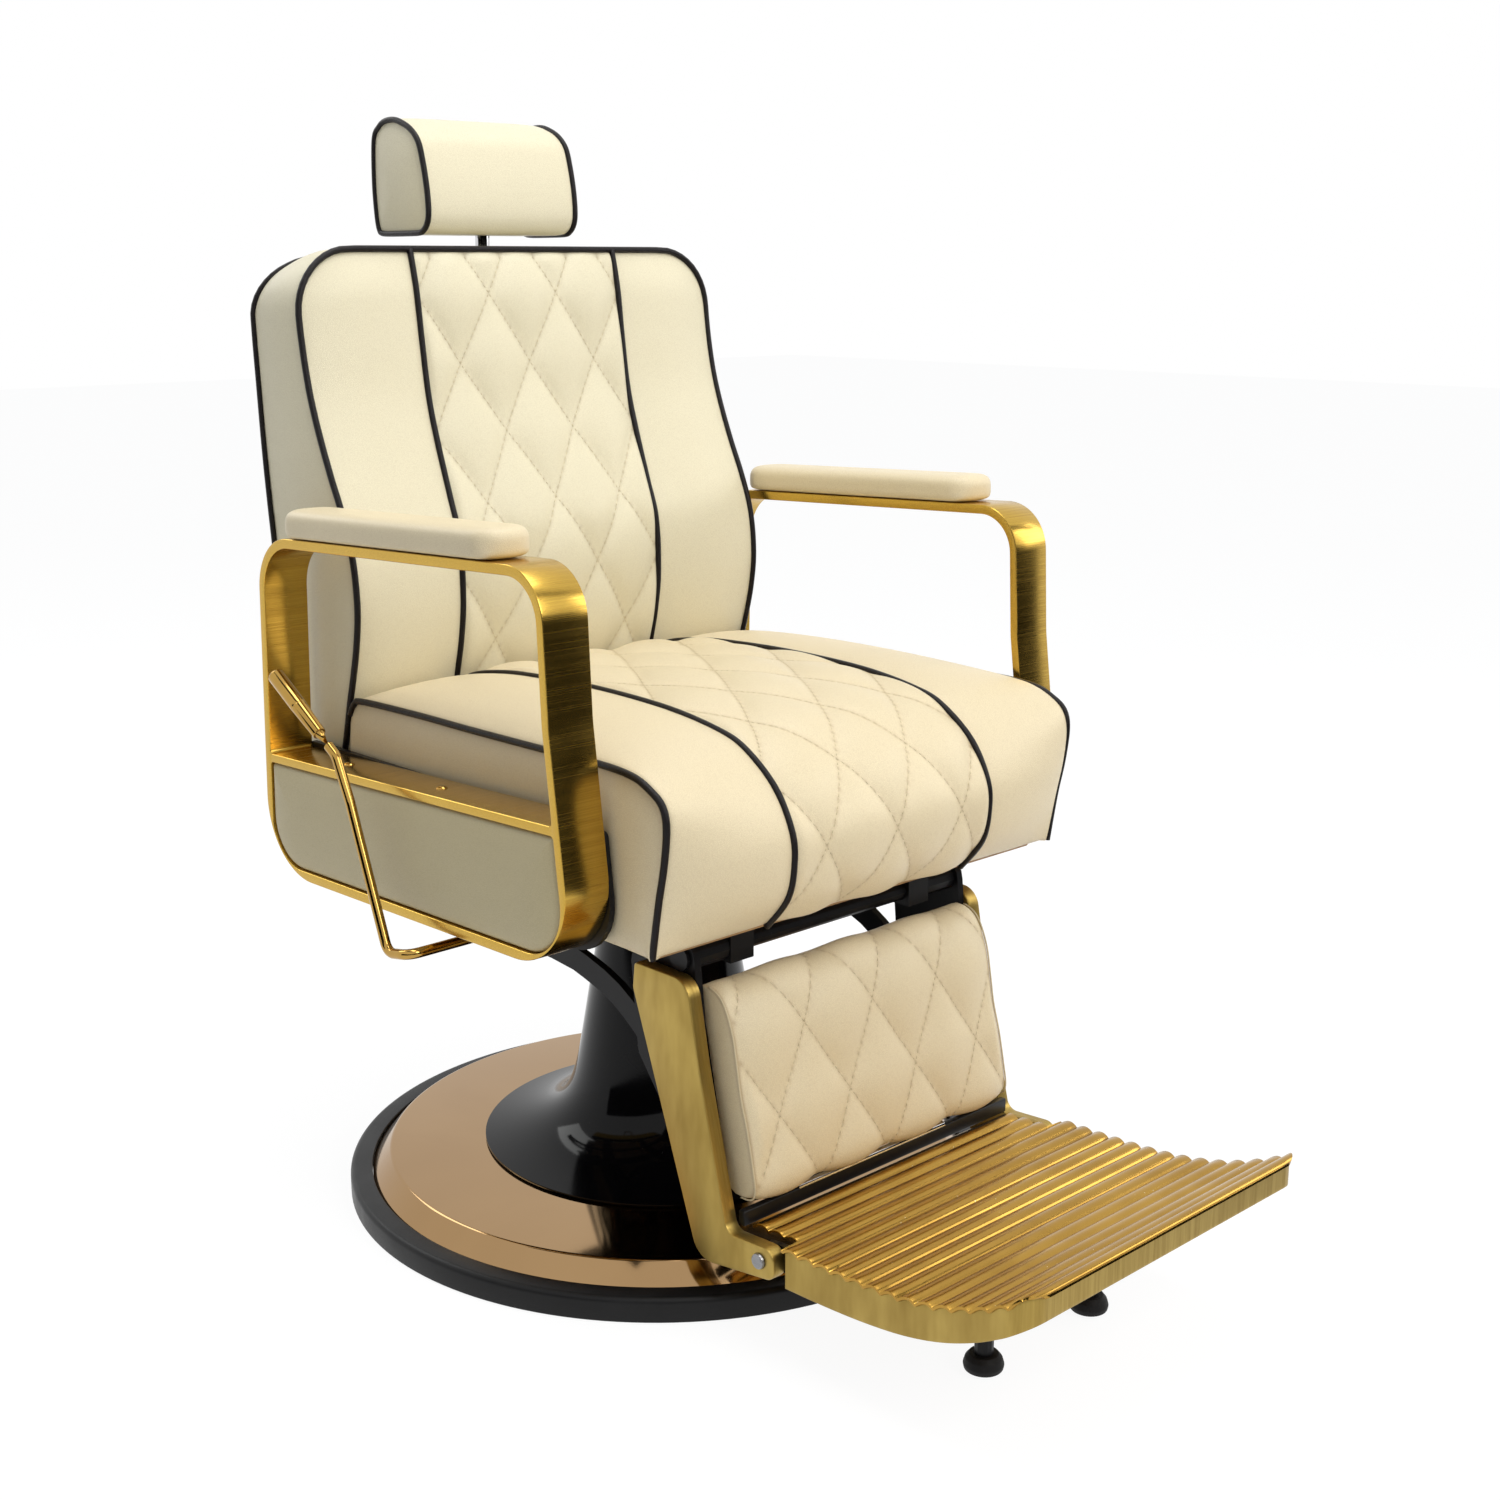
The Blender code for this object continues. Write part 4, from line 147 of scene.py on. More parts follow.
class Effects:
    """The shader node groups that several finishes share, each built once."""

    def __init__(self) -> None:
        """Start with no group built."""
        self._built: dict[str, bpy.types.NodeTree] = {}

    def _group(self, name: str, inputs: Sequence[tuple[str, str, object]],
               outputs: Sequence[tuple[str, str]]) -> tuple[bpy.types.NodeTree, bpy.types.Node, bpy.types.Node]:
        """Make an empty group with its sockets.

        Args:
            name: The group's name.
            inputs: (name, socket type, default) of each input.
            outputs: (name, socket type) of each output.

        Returns:
            The tree with its input and output nodes.
        """
        tree = bpy.data.node_groups.new(name, "ShaderNodeTree")
        for title, kind, default in inputs:
            socket = tree.interface.new_socket(title, in_out="INPUT", socket_type=kind)
            if default is not None:
                socket.default_value = default
        for title, kind in outputs:
            tree.interface.new_socket(title, in_out="OUTPUT", socket_type=kind)
        self._built[name] = tree
        return tree, tree.nodes.new("NodeGroupInput"), tree.nodes.new("NodeGroupOutput")

    def hide_grain(self) -> bpy.types.NodeTree:
        """Build the pebbled grain of coated leather: a height and a mask of its hollows."""
        if "hide_grain" in self._built:
            return self._built["hide_grain"]
        tree, start, end = self._group(
            "hide_grain",
            [("Vector", "NodeSocketVector", None), ("Scale", "NodeSocketFloat", 700.0),
             ("Crease", "NodeSocketFloat", 0.25)],
            [("Height", "NodeSocketFloat"), ("Hollow", "NodeSocketFloat")])
        cells = tree.nodes.new("ShaderNodeTexVoronoi")
        cells.feature = "DISTANCE_TO_EDGE"
        tree.links.new(start.outputs["Vector"], cells.inputs["Vector"])
        tree.links.new(start.outputs["Scale"], cells.inputs["Scale"])
        plump = tree.nodes.new("ShaderNodeMapRange")
        plump.inputs["From Max"].default_value = 0.28
        plump.interpolation_type = "SMOOTHSTEP"
        tree.links.new(cells.outputs["Distance"], plump.inputs["Value"])
        folds = tree.nodes.new("ShaderNodeTexNoise")
        folds.inputs["Scale"].default_value = 26.0
        folds.inputs["Detail"].default_value = 3.0
        tree.links.new(start.outputs["Vector"], folds.inputs["Vector"])
        amount = tree.nodes.new("ShaderNodeMath")
        amount.operation = "MULTIPLY_ADD"
        tree.links.new(folds.outputs["Fac"], amount.inputs[0])
        tree.links.new(start.outputs["Crease"], amount.inputs[1])
        tree.links.new(plump.outputs["Result"], amount.inputs[2])
        hollow = tree.nodes.new("ShaderNodeMath")
        hollow.operation = "SUBTRACT"
        hollow.inputs[0].default_value = 1.0
        tree.links.new(plump.outputs["Result"], hollow.inputs[1])
        tree.links.new(amount.outputs[0], end.inputs["Height"])
        tree.links.new(hollow.outputs[0], end.inputs["Hollow"])
        return tree

    def handling(self) -> bpy.types.NodeTree:
        """Build soft uneven patches, as hands and cloths leave, from 0 to 1."""
        if "handling" in self._built:
            return self._built["handling"]
        tree, start, end = self._group(
            "handling",
            [("Vector", "NodeSocketVector", None), ("Scale", "NodeSocketFloat", 9.0),
             ("Contrast", "NodeSocketFloat", 0.5)],
            [("Patch", "NodeSocketFloat")])
        cloud = tree.nodes.new("ShaderNodeTexNoise")
        cloud.inputs["Detail"].default_value = 4.0
        cloud.inputs["Distortion"].default_value = 0.4
        tree.links.new(start.outputs["Vector"], cloud.inputs["Vector"])
        tree.links.new(start.outputs["Scale"], cloud.inputs["Scale"])
        middle = tree.nodes.new("ShaderNodeMath")
        middle.operation = "SUBTRACT"
        middle.inputs[1].default_value = 0.5
        tree.links.new(cloud.outputs["Fac"], middle.inputs[0])
        spread = tree.nodes.new("ShaderNodeMath")
        spread.operation = "MULTIPLY_ADD"
        spread.use_clamp = True
        spread.inputs[2].default_value = 0.5
        tree.links.new(middle.outputs[0], spread.inputs[0])
        tree.links.new(start.outputs["Contrast"], spread.inputs[1])
        tree.links.new(spread.outputs[0], end.inputs["Patch"])
        return tree

    def brush_lines(self) -> bpy.types.NodeTree:
        """Build the fine parallel lines of brushed metal, along the vector's two slow axes."""
        if "brush_lines" in self._built:
            return self._built["brush_lines"]
        tree, start, end = self._group(
            "brush_lines",
            [("Vector", "NodeSocketVector", None), ("Scale", "NodeSocketFloat", 1.0)],
            [("Line", "NodeSocketFloat")])
        fine = tree.nodes.new("ShaderNodeTexNoise")
        fine.inputs["Detail"].default_value = 3.0
        fine.inputs["Roughness"].default_value = 0.65
        tree.links.new(start.outputs["Vector"], fine.inputs["Vector"])
        tree.links.new(start.outputs["Scale"], fine.inputs["Scale"])
        sharpen = tree.nodes.new("ShaderNodeMapRange")
        sharpen.inputs["From Min"].default_value = 0.3
        sharpen.inputs["From Max"].default_value = 0.7
        tree.links.new(fine.outputs["Fac"], sharpen.inputs["Value"])
        tree.links.new(sharpen.outputs["Result"], end.inputs["Line"])
        return tree

    def specks(self) -> bpy.types.NodeTree:
        """Build scattered small specks, used as dust on gloss paint and as painted glints on plating."""
        if "specks" in self._built:
            return self._built["specks"]
        tree, start, end = self._group(
            "specks",
            [("Vector", "NodeSocketVector", None), ("Scale", "NodeSocketFloat", 120.0),
             ("Size", "NodeSocketFloat", 0.06)],
            [("Speck", "NodeSocketFloat")])
        dots = tree.nodes.new("ShaderNodeTexVoronoi")
        tree.links.new(start.outputs["Vector"], dots.inputs["Vector"])
        tree.links.new(start.outputs["Scale"], dots.inputs["Scale"])
        near = tree.nodes.new("ShaderNodeMath")
        near.operation = "LESS_THAN"
        tree.links.new(dots.outputs["Distance"], near.inputs[0])
        tree.links.new(start.outputs["Size"], near.inputs[1])
        few = tree.nodes.new("ShaderNodeTexNoise")
        few.inputs["Scale"].default_value = 14.0
        tree.links.new(start.outputs["Vector"], few.inputs["Vector"])
        where = tree.nodes.new("ShaderNodeMath")
        where.operation = "GREATER_THAN"
        where.inputs[1].default_value = 0.56
        tree.links.new(few.outputs["Fac"], where.inputs[0])
        both = tree.nodes.new("ShaderNodeMath")
        both.operation = "MULTIPLY"
        tree.links.new(near.outputs[0], both.inputs[0])
        tree.links.new(where.outputs[0], both.inputs[1])
        tree.links.new(both.outputs[0], end.inputs["Speck"])
        return tree


EFFECTS = Effects()


@dataclass(frozen=True)
class Finish:
    """A surface finish that makes one material the first time it is asked for."""

    name: str
    colour: tuple[float, float, float, float]
    rough: float = 0.5

    def material(self) -> bpy.types.Material:
        """Return this finish's material, made once."""
        found = bpy.data.materials.get(self.name)
        return found if found else self._make()

    def _make(self) -> bpy.types.Material:
        """Build the material's nodes."""
        made = bpy.data.materials.new(self.name)
        made.use_nodes = True
        made.diffuse_color = self.colour
        shader = made.node_tree.nodes["Principled BSDF"]
        shader.inputs["Base Color"].default_value = self.colour
        shader.inputs["Roughness"].default_value = self.rough
        self._dress(made.node_tree, shader, made.node_tree.nodes.new("ShaderNodeTexCoord").outputs["Object"])
        return made

    def _dress(self, tree: bpy.types.NodeTree, shader: bpy.types.Node, place: bpy.types.NodeSocket) -> None:
        """Add this finish's own nodes. Subclasses say which."""

    @staticmethod
    def _place(tree: bpy.types.NodeTree, place: bpy.types.NodeSocket,
               scale: tuple[float, float, float]) -> bpy.types.NodeSocket:
        """Stretch a pattern's coordinates along the axes."""
        mapping = tree.nodes.new("ShaderNodeMapping")
        mapping.inputs["Scale"].default_value = scale
        tree.links.new(place, mapping.inputs["Vector"])
        return mapping.outputs["Vector"]

    @staticmethod
    def _effect(tree: bpy.types.NodeTree, group: bpy.types.NodeTree, place: bpy.types.NodeSocket,
                **values: float) -> bpy.types.Node:
        """Place a node group with its values."""
        node = tree.nodes.new("ShaderNodeGroup")
        node.node_tree = group
        tree.links.new(place, node.inputs["Vector"])
        for title, value in values.items():
            node.inputs[title].default_value = value
        return node

    @staticmethod
    def _blend(tree: bpy.types.NodeTree, share: bpy.types.NodeSocket, first: object, second: object,
               ) -> bpy.types.NodeSocket:
        """Mix two colours, each a value or a socket, by a share."""
        mix = tree.nodes.new("ShaderNodeMix")
        mix.data_type = "RGBA"
        tree.links.new(share, mix.inputs["Factor"])
        for value, socket in ((first, mix.inputs[6]), (second, mix.inputs[7])):
            if isinstance(value, bpy.types.NodeSocket):
                tree.links.new(value, socket)
            else:
                socket.default_value = value
        return mix.outputs[2]

    @staticmethod
    def _range(tree: bpy.types.NodeTree, value: bpy.types.NodeSocket, low: float, high: float,
               ) -> bpy.types.NodeSocket:
        """Turn a mask of 0 to 1 into a value from low to high."""
        node = tree.nodes.new("ShaderNodeMapRange")
        node.inputs["To Min"].default_value = low
        node.inputs["To Max"].default_value = high
        tree.links.new(value, node.inputs["Value"])
        return node.outputs["Result"]

    @staticmethod
    def _bump(tree: bpy.types.NodeTree, shader: bpy.types.Node, height: bpy.types.NodeSocket,
              depth: float, strength: float = 0.6) -> None:
        """Raise the surface by a height, in metres at a height of 1."""
        node = tree.nodes.new("ShaderNodeBump")
        node.inputs["Distance"].default_value = depth
        node.inputs["Strength"].default_value = strength
        tree.links.new(height, node.inputs["Height"])
        tree.links.new(node.outputs["Normal"], shader.inputs["Normal"])


@dataclass(frozen=True)
class CoatedLeather(Finish):
    """Semi-gloss leather with a fine grain, with painted shade in its grain's hollows and along its stitched lines."""

    # The colour of the painted shade in the grain's hollows and along the stitched lines.
    shade: tuple[float, float, float, float] = (0.5, 0.4, 0.26, 1.0)
    grain: float = 720.0
    # Whether the stitched lines take painted shade.
    seams: bool = True
    sheen: float = 0.5

    def _dress(self, tree: bpy.types.NodeTree, shader: bpy.types.Node, place: bpy.types.NodeSocket) -> None:
        """Add the grain, the handling, and the painted shade in the grain's hollows and along the stitched lines."""
        shader.inputs["Specular IOR Level"].default_value = self.sheen
        grain = self._effect(tree, EFFECTS.hide_grain(), place, Scale=self.grain, Crease=0.3)
        patch = self._effect(tree, EFFECTS.handling(), place, Scale=5.0, Contrast=0.9)
        worn = tuple(c * 0.93 for c in self.colour[:3]) + (1.0,)
        colour = self._blend(tree, patch.outputs["Patch"], self.colour, worn)
        # Painted shade in the grain's hollows.
        hollow = self._range(tree, grain.outputs["Hollow"], 0.0, 0.22)
        colour = self._blend(tree, hollow, colour, self.shade)
        # Painted shade along the stitched lines and edges, read from the mesh's seam layer.
        if self.seams:
            seam = tree.nodes.new("ShaderNodeAttribute")
            seam.attribute_name = "seam"
            narrow = tree.nodes.new("ShaderNodeMath")
            narrow.operation = "POWER"
            narrow.inputs[1].default_value = 2.6
            tree.links.new(seam.outputs["Fac"], narrow.inputs[0])
            share = self._range(tree, narrow.outputs[0], 0.0, 0.52)
            colour = self._blend(tree, share, colour, self.shade)
        tree.links.new(colour, shader.inputs["Base Color"])
        tree.links.new(self._range(tree, patch.outputs["Patch"], self.rough - 0.05, self.rough + 0.07),
                       shader.inputs["Roughness"])
        self._bump(tree, shader, grain.outputs["Height"], 0.00022, 0.5)


@dataclass(frozen=True)
class BrushedMetal(Finish):
    """Plated metal brushed one way, with a darker and a lighter tone along the lines."""

    dark: tuple[float, float, float, float] = (0.2, 0.1, 0.02, 1.0)
    lines: tuple[float, float, float] = (900.0, 6.0, 6.0)
    depth: float = 0.00004

    def _dress(self, tree: bpy.types.NodeTree, shader: bpy.types.Node, place: bpy.types.NodeSocket) -> None:
        """Add the brushing and the handling."""
        shader.inputs["Metallic"].default_value = 1.0
        line = self._effect(tree, EFFECTS.brush_lines(), self._place(tree, place, self.lines))
        patch = self._effect(tree, EFFECTS.handling(), place, Scale=11.0, Contrast=1.2)
        share = self._range(tree, line.outputs["Line"], 0.0, 0.55)
        colour = self._blend(tree, share, self.colour, self.dark)
        mark = self._range(tree, patch.outputs["Patch"], 0.0, 0.25)
        tree.links.new(self._blend(tree, mark, colour, self.dark), shader.inputs["Base Color"])
        worn = tree.nodes.new("ShaderNodeMath")
        worn.operation = "MULTIPLY_ADD"
        worn.inputs[1].default_value = 0.12
        tree.links.new(line.outputs["Line"], worn.inputs[0])
        tree.links.new(self._range(tree, patch.outputs["Patch"], self.rough - 0.05, self.rough + 0.06),
                       worn.inputs[2])
        tree.links.new(worn.outputs[0], shader.inputs["Roughness"])
        self._bump(tree, shader, line.outputs["Line"], self.depth, 0.5)


@dataclass(frozen=True)
class PlatedMetal(Finish):
    """Polished or satin plating with faint patches and painted glints as bright specks."""

    dark: tuple[float, float, float, float] = (0.2, 0.1, 0.02, 1.0)
    glint: tuple[float, float, float, float] = (1.0, 0.9, 0.7, 1.0)
    glint_size: float = 0.0
    cloud: float = 18.0

    def _dress(self, tree: bpy.types.NodeTree, shader: bpy.types.Node, place: bpy.types.NodeSocket) -> None:
        """Add the patches and the painted glints."""
        shader.inputs["Metallic"].default_value = 1.0
        patch = self._effect(tree, EFFECTS.handling(), place, Scale=self.cloud, Contrast=1.5)
        colour = self._blend(tree, self._range(tree, patch.outputs["Patch"], 0.0, 0.5), self.colour, self.dark)
        # Bright specks over the plating are painted glints.
        if self.glint_size > 0.0:
            glints = self._effect(tree, EFFECTS.specks(), place, Scale=160.0, Size=self.glint_size)
            colour = self._blend(tree, glints.outputs["Speck"], colour, self.glint)
        tree.links.new(colour, shader.inputs["Base Color"])
        tree.links.new(self._range(tree, patch.outputs["Patch"], self.rough * 0.75, self.rough * 1.35),
                       shader.inputs["Roughness"])
        fine = self._effect(tree, EFFECTS.handling(), place, Scale=420.0, Contrast=1.0)
        self._bump(tree, shader, fine.outputs["Patch"], 0.00002, 0.3)


@dataclass(frozen=True)
class Enamel(Finish):
    """Black paint, glossy or satin, with a little dust."""

    dust: float = 0.025
    sheen: float = 0.3

    def _dress(self, tree: bpy.types.NodeTree, shader: bpy.types.Node, place: bpy.types.NodeSocket) -> None:
        """Add the dust, the orange peel and the sheen."""
        shader.inputs["Specular IOR Level"].default_value = self.sheen
        dust = self._effect(tree, EFFECTS.specks(), place, Scale=140.0, Size=self.dust)
        patch = self._effect(tree, EFFECTS.handling(), place, Scale=16.0, Contrast=1.4)
        pale = tuple(min(c * 1.8 + 0.004, 1.0) for c in self.colour[:3]) + (1.0,)
        colour = self._blend(tree, self._range(tree, patch.outputs["Patch"], 0.0, 0.6), self.colour, pale)
        tree.links.new(self._blend(tree, dust.outputs["Speck"], colour, (0.5, 0.49, 0.47, 1.0)),
                       shader.inputs["Base Color"])
        tree.links.new(self._range(tree, patch.outputs["Patch"], self.rough * 0.8, self.rough * 1.25),
                       shader.inputs["Roughness"])
        peel = self._effect(tree, EFFECTS.handling(), place, Scale=260.0, Contrast=1.0)
        self._bump(tree, shader, peel.outputs["Patch"], 0.00003, 0.25)


@dataclass(frozen=True)
class Rubber(Finish):
    """Matt moulded rubber with a scuffed bloom."""

    def _dress(self, tree: bpy.types.NodeTree, shader: bpy.types.Node, place: bpy.types.NodeSocket) -> None:
        """Add the bloom and the moulded texture."""
        shader.inputs["Specular IOR Level"].default_value = 0.25
        patch = self._effect(tree, EFFECTS.handling(), place, Scale=22.0, Contrast=1.6)
        pale = tuple(c * 1.6 + 0.006 for c in self.colour[:3]) + (1.0,)
        tree.links.new(self._blend(tree, patch.outputs["Patch"], self.colour, pale), shader.inputs["Base Color"])
        tree.links.new(self._range(tree, patch.outputs["Patch"], self.rough - 0.08, self.rough + 0.08),
                       shader.inputs["Roughness"])
        grain = self._effect(tree, EFFECTS.hide_grain(), place, Scale=900.0, Crease=0.2)
        self._bump(tree, shader, grain.outputs["Height"], 0.00008, 0.4)


@dataclass(frozen=True)
class Plywood(Finish):
    """Birch plywood with its long grain along X."""

    dark: tuple[float, float, float, float] = (0.2, 0.11, 0.05, 1.0)

    def _dress(self, tree: bpy.types.NodeTree, shader: bpy.types.Node, place: bpy.types.NodeSocket) -> None:
        """Add the grain."""
        grain = self._effect(tree, EFFECTS.brush_lines(), self._place(tree, place, (5.0, 110.0, 110.0)))
        tree.links.new(self._blend(tree, self._range(tree, grain.outputs["Line"], 0.0, 0.6), self.colour, self.dark),
                       shader.inputs["Base Color"])
        tree.links.new(self._range(tree, grain.outputs["Line"], self.rough - 0.1, self.rough),
                       shader.inputs["Roughness"])
        self._bump(tree, shader, grain.outputs["Line"], 0.0001, 0.5)


CREAM = CoatedLeather("cream_leather", linear(238, 223, 187), 0.38, linear(170, 142, 102))
CREAM_BACK = CoatedLeather("cream_leather_back", linear(236, 228, 198), 0.38, linear(168, 150, 116))
# A darker copy of the cream leather that paints the shade on the side panels.
CREAM_SHADED_SIDE = CoatedLeather("cream_leather_panel_shaded", linear(204, 190, 148), 0.40, linear(138, 122, 88))
WELT = CoatedLeather("black_piping", linear(20, 14, 16), 0.28, linear(6, 4, 5), 900.0, False, 0.22)
THREAD = CoatedLeather("cream_thread", linear(222, 208, 174), 0.65, linear(160, 138, 102), 2400.0, False, 0.2)
STRAP_GOLD = BrushedMetal("brushed_gold_strap", linear(222, 186, 88), 0.17, linear(150, 108, 38), (5.0, 1500.0, 1500.0),
                          0.0000035)
BAR_GOLD = BrushedMetal("satin_gold_bar", linear(190, 164, 92), 0.36, linear(142, 114, 52), (260.0, 30.0, 9.0))
# The cast tread's bright specks are painted glints.
TREAD_GOLD = PlatedMetal("cast_gold_tread", linear(190, 150, 70), 0.20, linear(126, 90, 36), glint_size=0.055)
LEVER_GOLD = PlatedMetal("polished_gold", linear(196, 158, 84), 0.10, linear(122, 90, 38))
DISC_BRONZE = PlatedMetal("rose_bronze_disc", linear(172, 140, 100), 0.08, linear(146, 114, 78), cloud=6.0)
CHROME = PlatedMetal("chrome_plate", linear(214, 214, 216), 0.08, linear(180, 182, 186))
STEEL = BrushedMetal("machined_steel", linear(168, 168, 170), 0.30, linear(120, 121, 124), (30.0, 30.0, 700.0))
GLOSS_BLACK = Enamel("gloss_black_enamel", linear(6, 6, 8), 0.08, 0.02, 0.16)
SATIN_BLACK = Enamel("satin_black_paint", linear(16, 16, 18), 0.36, 0.018, 0.2)
SCREW_BLACK = Enamel("blackened_screw", linear(26, 25, 26), 0.28, 0.0)
BASE_RUBBER = Rubber("base_rubber", linear(12, 12, 13), 0.40)
PAD_RUBBER = Rubber("pad_rubber", linear(14, 13, 14), 0.60)
PLY = Plywood("birch_plywood", linear(190, 152, 104), 0.7)


# ---------------------------------------------------------------- outlines and lines

def rounded(corners: Sequence[Corner], steps: int = 10) -> list[Point2]:
    """Round the corners of a closed outline.

    Args:
        corners: Each corner with its fillet radius.
        steps: Segments in each fillet.

    Returns:
        The outline's points.
    """
    points: list[Point2] = []
    for index, (corner, radius) in enumerate(corners):
        here = Vector(corner)
        before = Vector(corners[index - 1][0]) - here
        after = Vector(corners[(index + 1) % len(corners)][0]) - here
        if radius <= 0.0:
            points.append(corner)
            continue
        half = before.angle(after) / 2.0
        back = min(radius / math.tan(half), 0.49 * min(before.length, after.length))
        start = here + before.normalized() * back
        end = here + after.normalized() * back
        bend = back * math.tan(half)
        middle = here + (before.normalized() + after.normalized()).normalized() * (bend / math.sin(half))
        first, last = start - middle, end - middle
        sweep = first.angle_signed(last)
        for step in range(steps + 1):
            turned = Matrix.Rotation(-sweep * step / steps, 2) @ first
            points.append(tuple(middle + turned))
    return points


def inset(corners: Sequence[Corner], distance: float) -> list[Corner]:
    """Move a closed outline's straight sides inward by a distance.

    Args:
        corners: Each corner with its fillet radius.
        distance: How far in the new outline lies.

    Returns:
        The new corners, their radii less by the distance.
    """
    area = sum(a[0][0] * b[0][1] - b[0][0] * a[0][1] for a, b in zip(corners, [*corners[1:], corners[0]]))
    turn = 1.0 if area > 0.0 else -1.0
    moved: list[Corner] = []
    for index, (corner, radius) in enumerate(corners):
        here = Vector(corner)
        along = (here - Vector(corners[index - 1][0])).normalized()
        onward = (Vector(corners[(index + 1) % len(corners)][0]) - here).normalized()
        one = Vector((-along.y, along.x)) * turn
        two = Vector((-onward.y, onward.x)) * turn
        mitre = (one + two).normalized()
        spot = here + mitre * (distance / max(mitre.dot(one), 0.2))
        moved.append((tuple(spot), max(radius - distance, 0.001)))
    return moved


def height_on(knots: Sequence[Point2], at: float) -> float:
    """Read a smooth line through (position, value) knots at a position.

    Args:
        knots: The knots in rising position.
        at: The position.

    Returns:
        The line's value there.
    """
    if at <= knots[0][0]:
        return knots[0][1]
    for index in range(len(knots) - 1):
        (x0, y0), (x1, y1) = knots[index], knots[index + 1]
        if at <= x1:
            before = knots[max(index - 1, 0)]
            after = knots[min(index + 2, len(knots) - 1)]
            span = x1 - x0
            start = (y1 - before[1]) / max(x1 - before[0], 1e-9) * span
            end = (after[1] - y0) / max(after[0] - x0, 1e-9) * span
            t = (at - x0) / span
            return ((2 * t ** 3 - 3 * t ** 2 + 1) * y0 + (t ** 3 - 2 * t ** 2 + t) * start
                    + (-2 * t ** 3 + 3 * t ** 2) * y1 + (t ** 3 - t ** 2) * end)
    return knots[-1][1]


@dataclass
class Line:
    """A smooth line through knots in a plane, read by its running length."""

    knots: Sequence[Point2]
    parts: int = 24
    points: list[Vector] = field(init=False)
    lengths: list[float] = field(init=False)

    def __post_init__(self) -> None:
        """Lay dense points along the knots."""
        knots = [Vector(k) for k in self.knots]
        self.points = []
        for index in range(len(knots) - 1):
            before, start = knots[max(index - 1, 0)], knots[index]
            end, after = knots[index + 1], knots[min(index + 2, len(knots) - 1)]
            for step in range(self.parts):
                t = step / self.parts
                self.points.append(0.5 * (2 * start + (end - before) * t
                                          + (2 * before - 5 * start + 4 * end - after) * t * t
                                          + (3 * start - before - 3 * end + after) * t ** 3))
        self.points.append(knots[-1])
        self.lengths = [0.0]
        for a, b in zip(self.points, self.points[1:]):
            self.lengths.append(self.lengths[-1] + (b - a).length)

    @property
    def length(self) -> float:
        """The line's whole length."""
        return self.lengths[-1]

    def at(self, share: float) -> tuple[Vector, Vector]:
        """Read the line.

        Args:
            share: From 0 at its start to 1 at its end.

        Returns:
            The point there and the direction of the line.
        """
        goal = min(max(share, 0.0), 1.0) * self.length
        low, high = 0, len(self.lengths) - 1
        while high - low > 1:
            middle = (low + high) // 2
            if self.lengths[middle] <= goal:
                low = middle
            else:
                high = middle
        part = (goal - self.lengths[low]) / max(self.lengths[high] - self.lengths[low], 1e-9)
        return self.points[low].lerp(self.points[high], part), (self.points[high] - self.points[low]).normalized()


# ---------------------------------------------------------------- meshes

SIDE_PLACE = Matrix(((0, 0, 1, 0), (1, 0, 0, 0), (0, 1, 0, 0), (0, 0, 0, 1)))


def slab(loops: Sequence[Sequence[Point2]], low: float, high: float, edge: float = 0.0,
         segments: int = 3) -> bmesh.types.BMesh:
    """Model a flat plate with rounded edges.

    Args:
        loops: The outline, then the outlines of its openings.
        low: Height of its lower face.
        high: Height of its upper face.
        edge: Radius of its edges.
        segments: Segments round each edge.

    Returns:
        The plate's mesh, its outline in XY.
    """
    bm = bmesh.new()
    rims = []
    for loop in loops:
        verts = [bm.verts.new((x, y, low)) for x, y in loop]
        rims += [bm.edges.new(pair) for pair in zip(verts, verts[1:] + verts[:1])]
    bmesh.ops.triangle_fill(bm, use_beauty=True, use_dissolve=False, edges=rims)
    grown = bmesh.ops.extrude_face_region(bm, geom=bm.faces[:])
    bmesh.ops.translate(bm, vec=(0.0, 0.0, high - low),
                        verts=[v for v in grown["geom"] if isinstance(v, bmesh.types.BMVert)])
    bmesh.ops.recalc_face_normals(bm, faces=bm.faces)
    if edge > 0.0:
        bmesh.ops.bevel(bm, geom=[e for e in bm.edges if e.calc_face_angle(0.0) > 0.6], offset=edge,
                        offset_type="OFFSET", segments=segments, profile=0.5, affect="EDGES", material=-1)
    return bm


def lathe(profile: Sequence[Point2], steps: int = 96) -> bmesh.types.BMesh:
    """Turn a profile of (radius, height) points about Z.

    Args:
        profile: The points, from the axis back to it, or closed on themselves.
        steps: Facets in a full turn.

    Returns:
        The turned mesh.
    """
    bm = bmesh.new()
    verts = [bm.verts.new((max(r, 0.0), 0.0, z)) for r, z in profile]
    edges = [bm.edges.new(pair) for pair in zip(verts, verts[1:])]
    bmesh.ops.spin(bm, geom=verts + edges, cent=(0, 0, 0), axis=(0, 0, 1), angle=math.tau, steps=steps,
                   use_merge=True, use_duplicate=False)
    bmesh.ops.remove_doubles(bm, verts=bm.verts, dist=1e-6)
    return bm


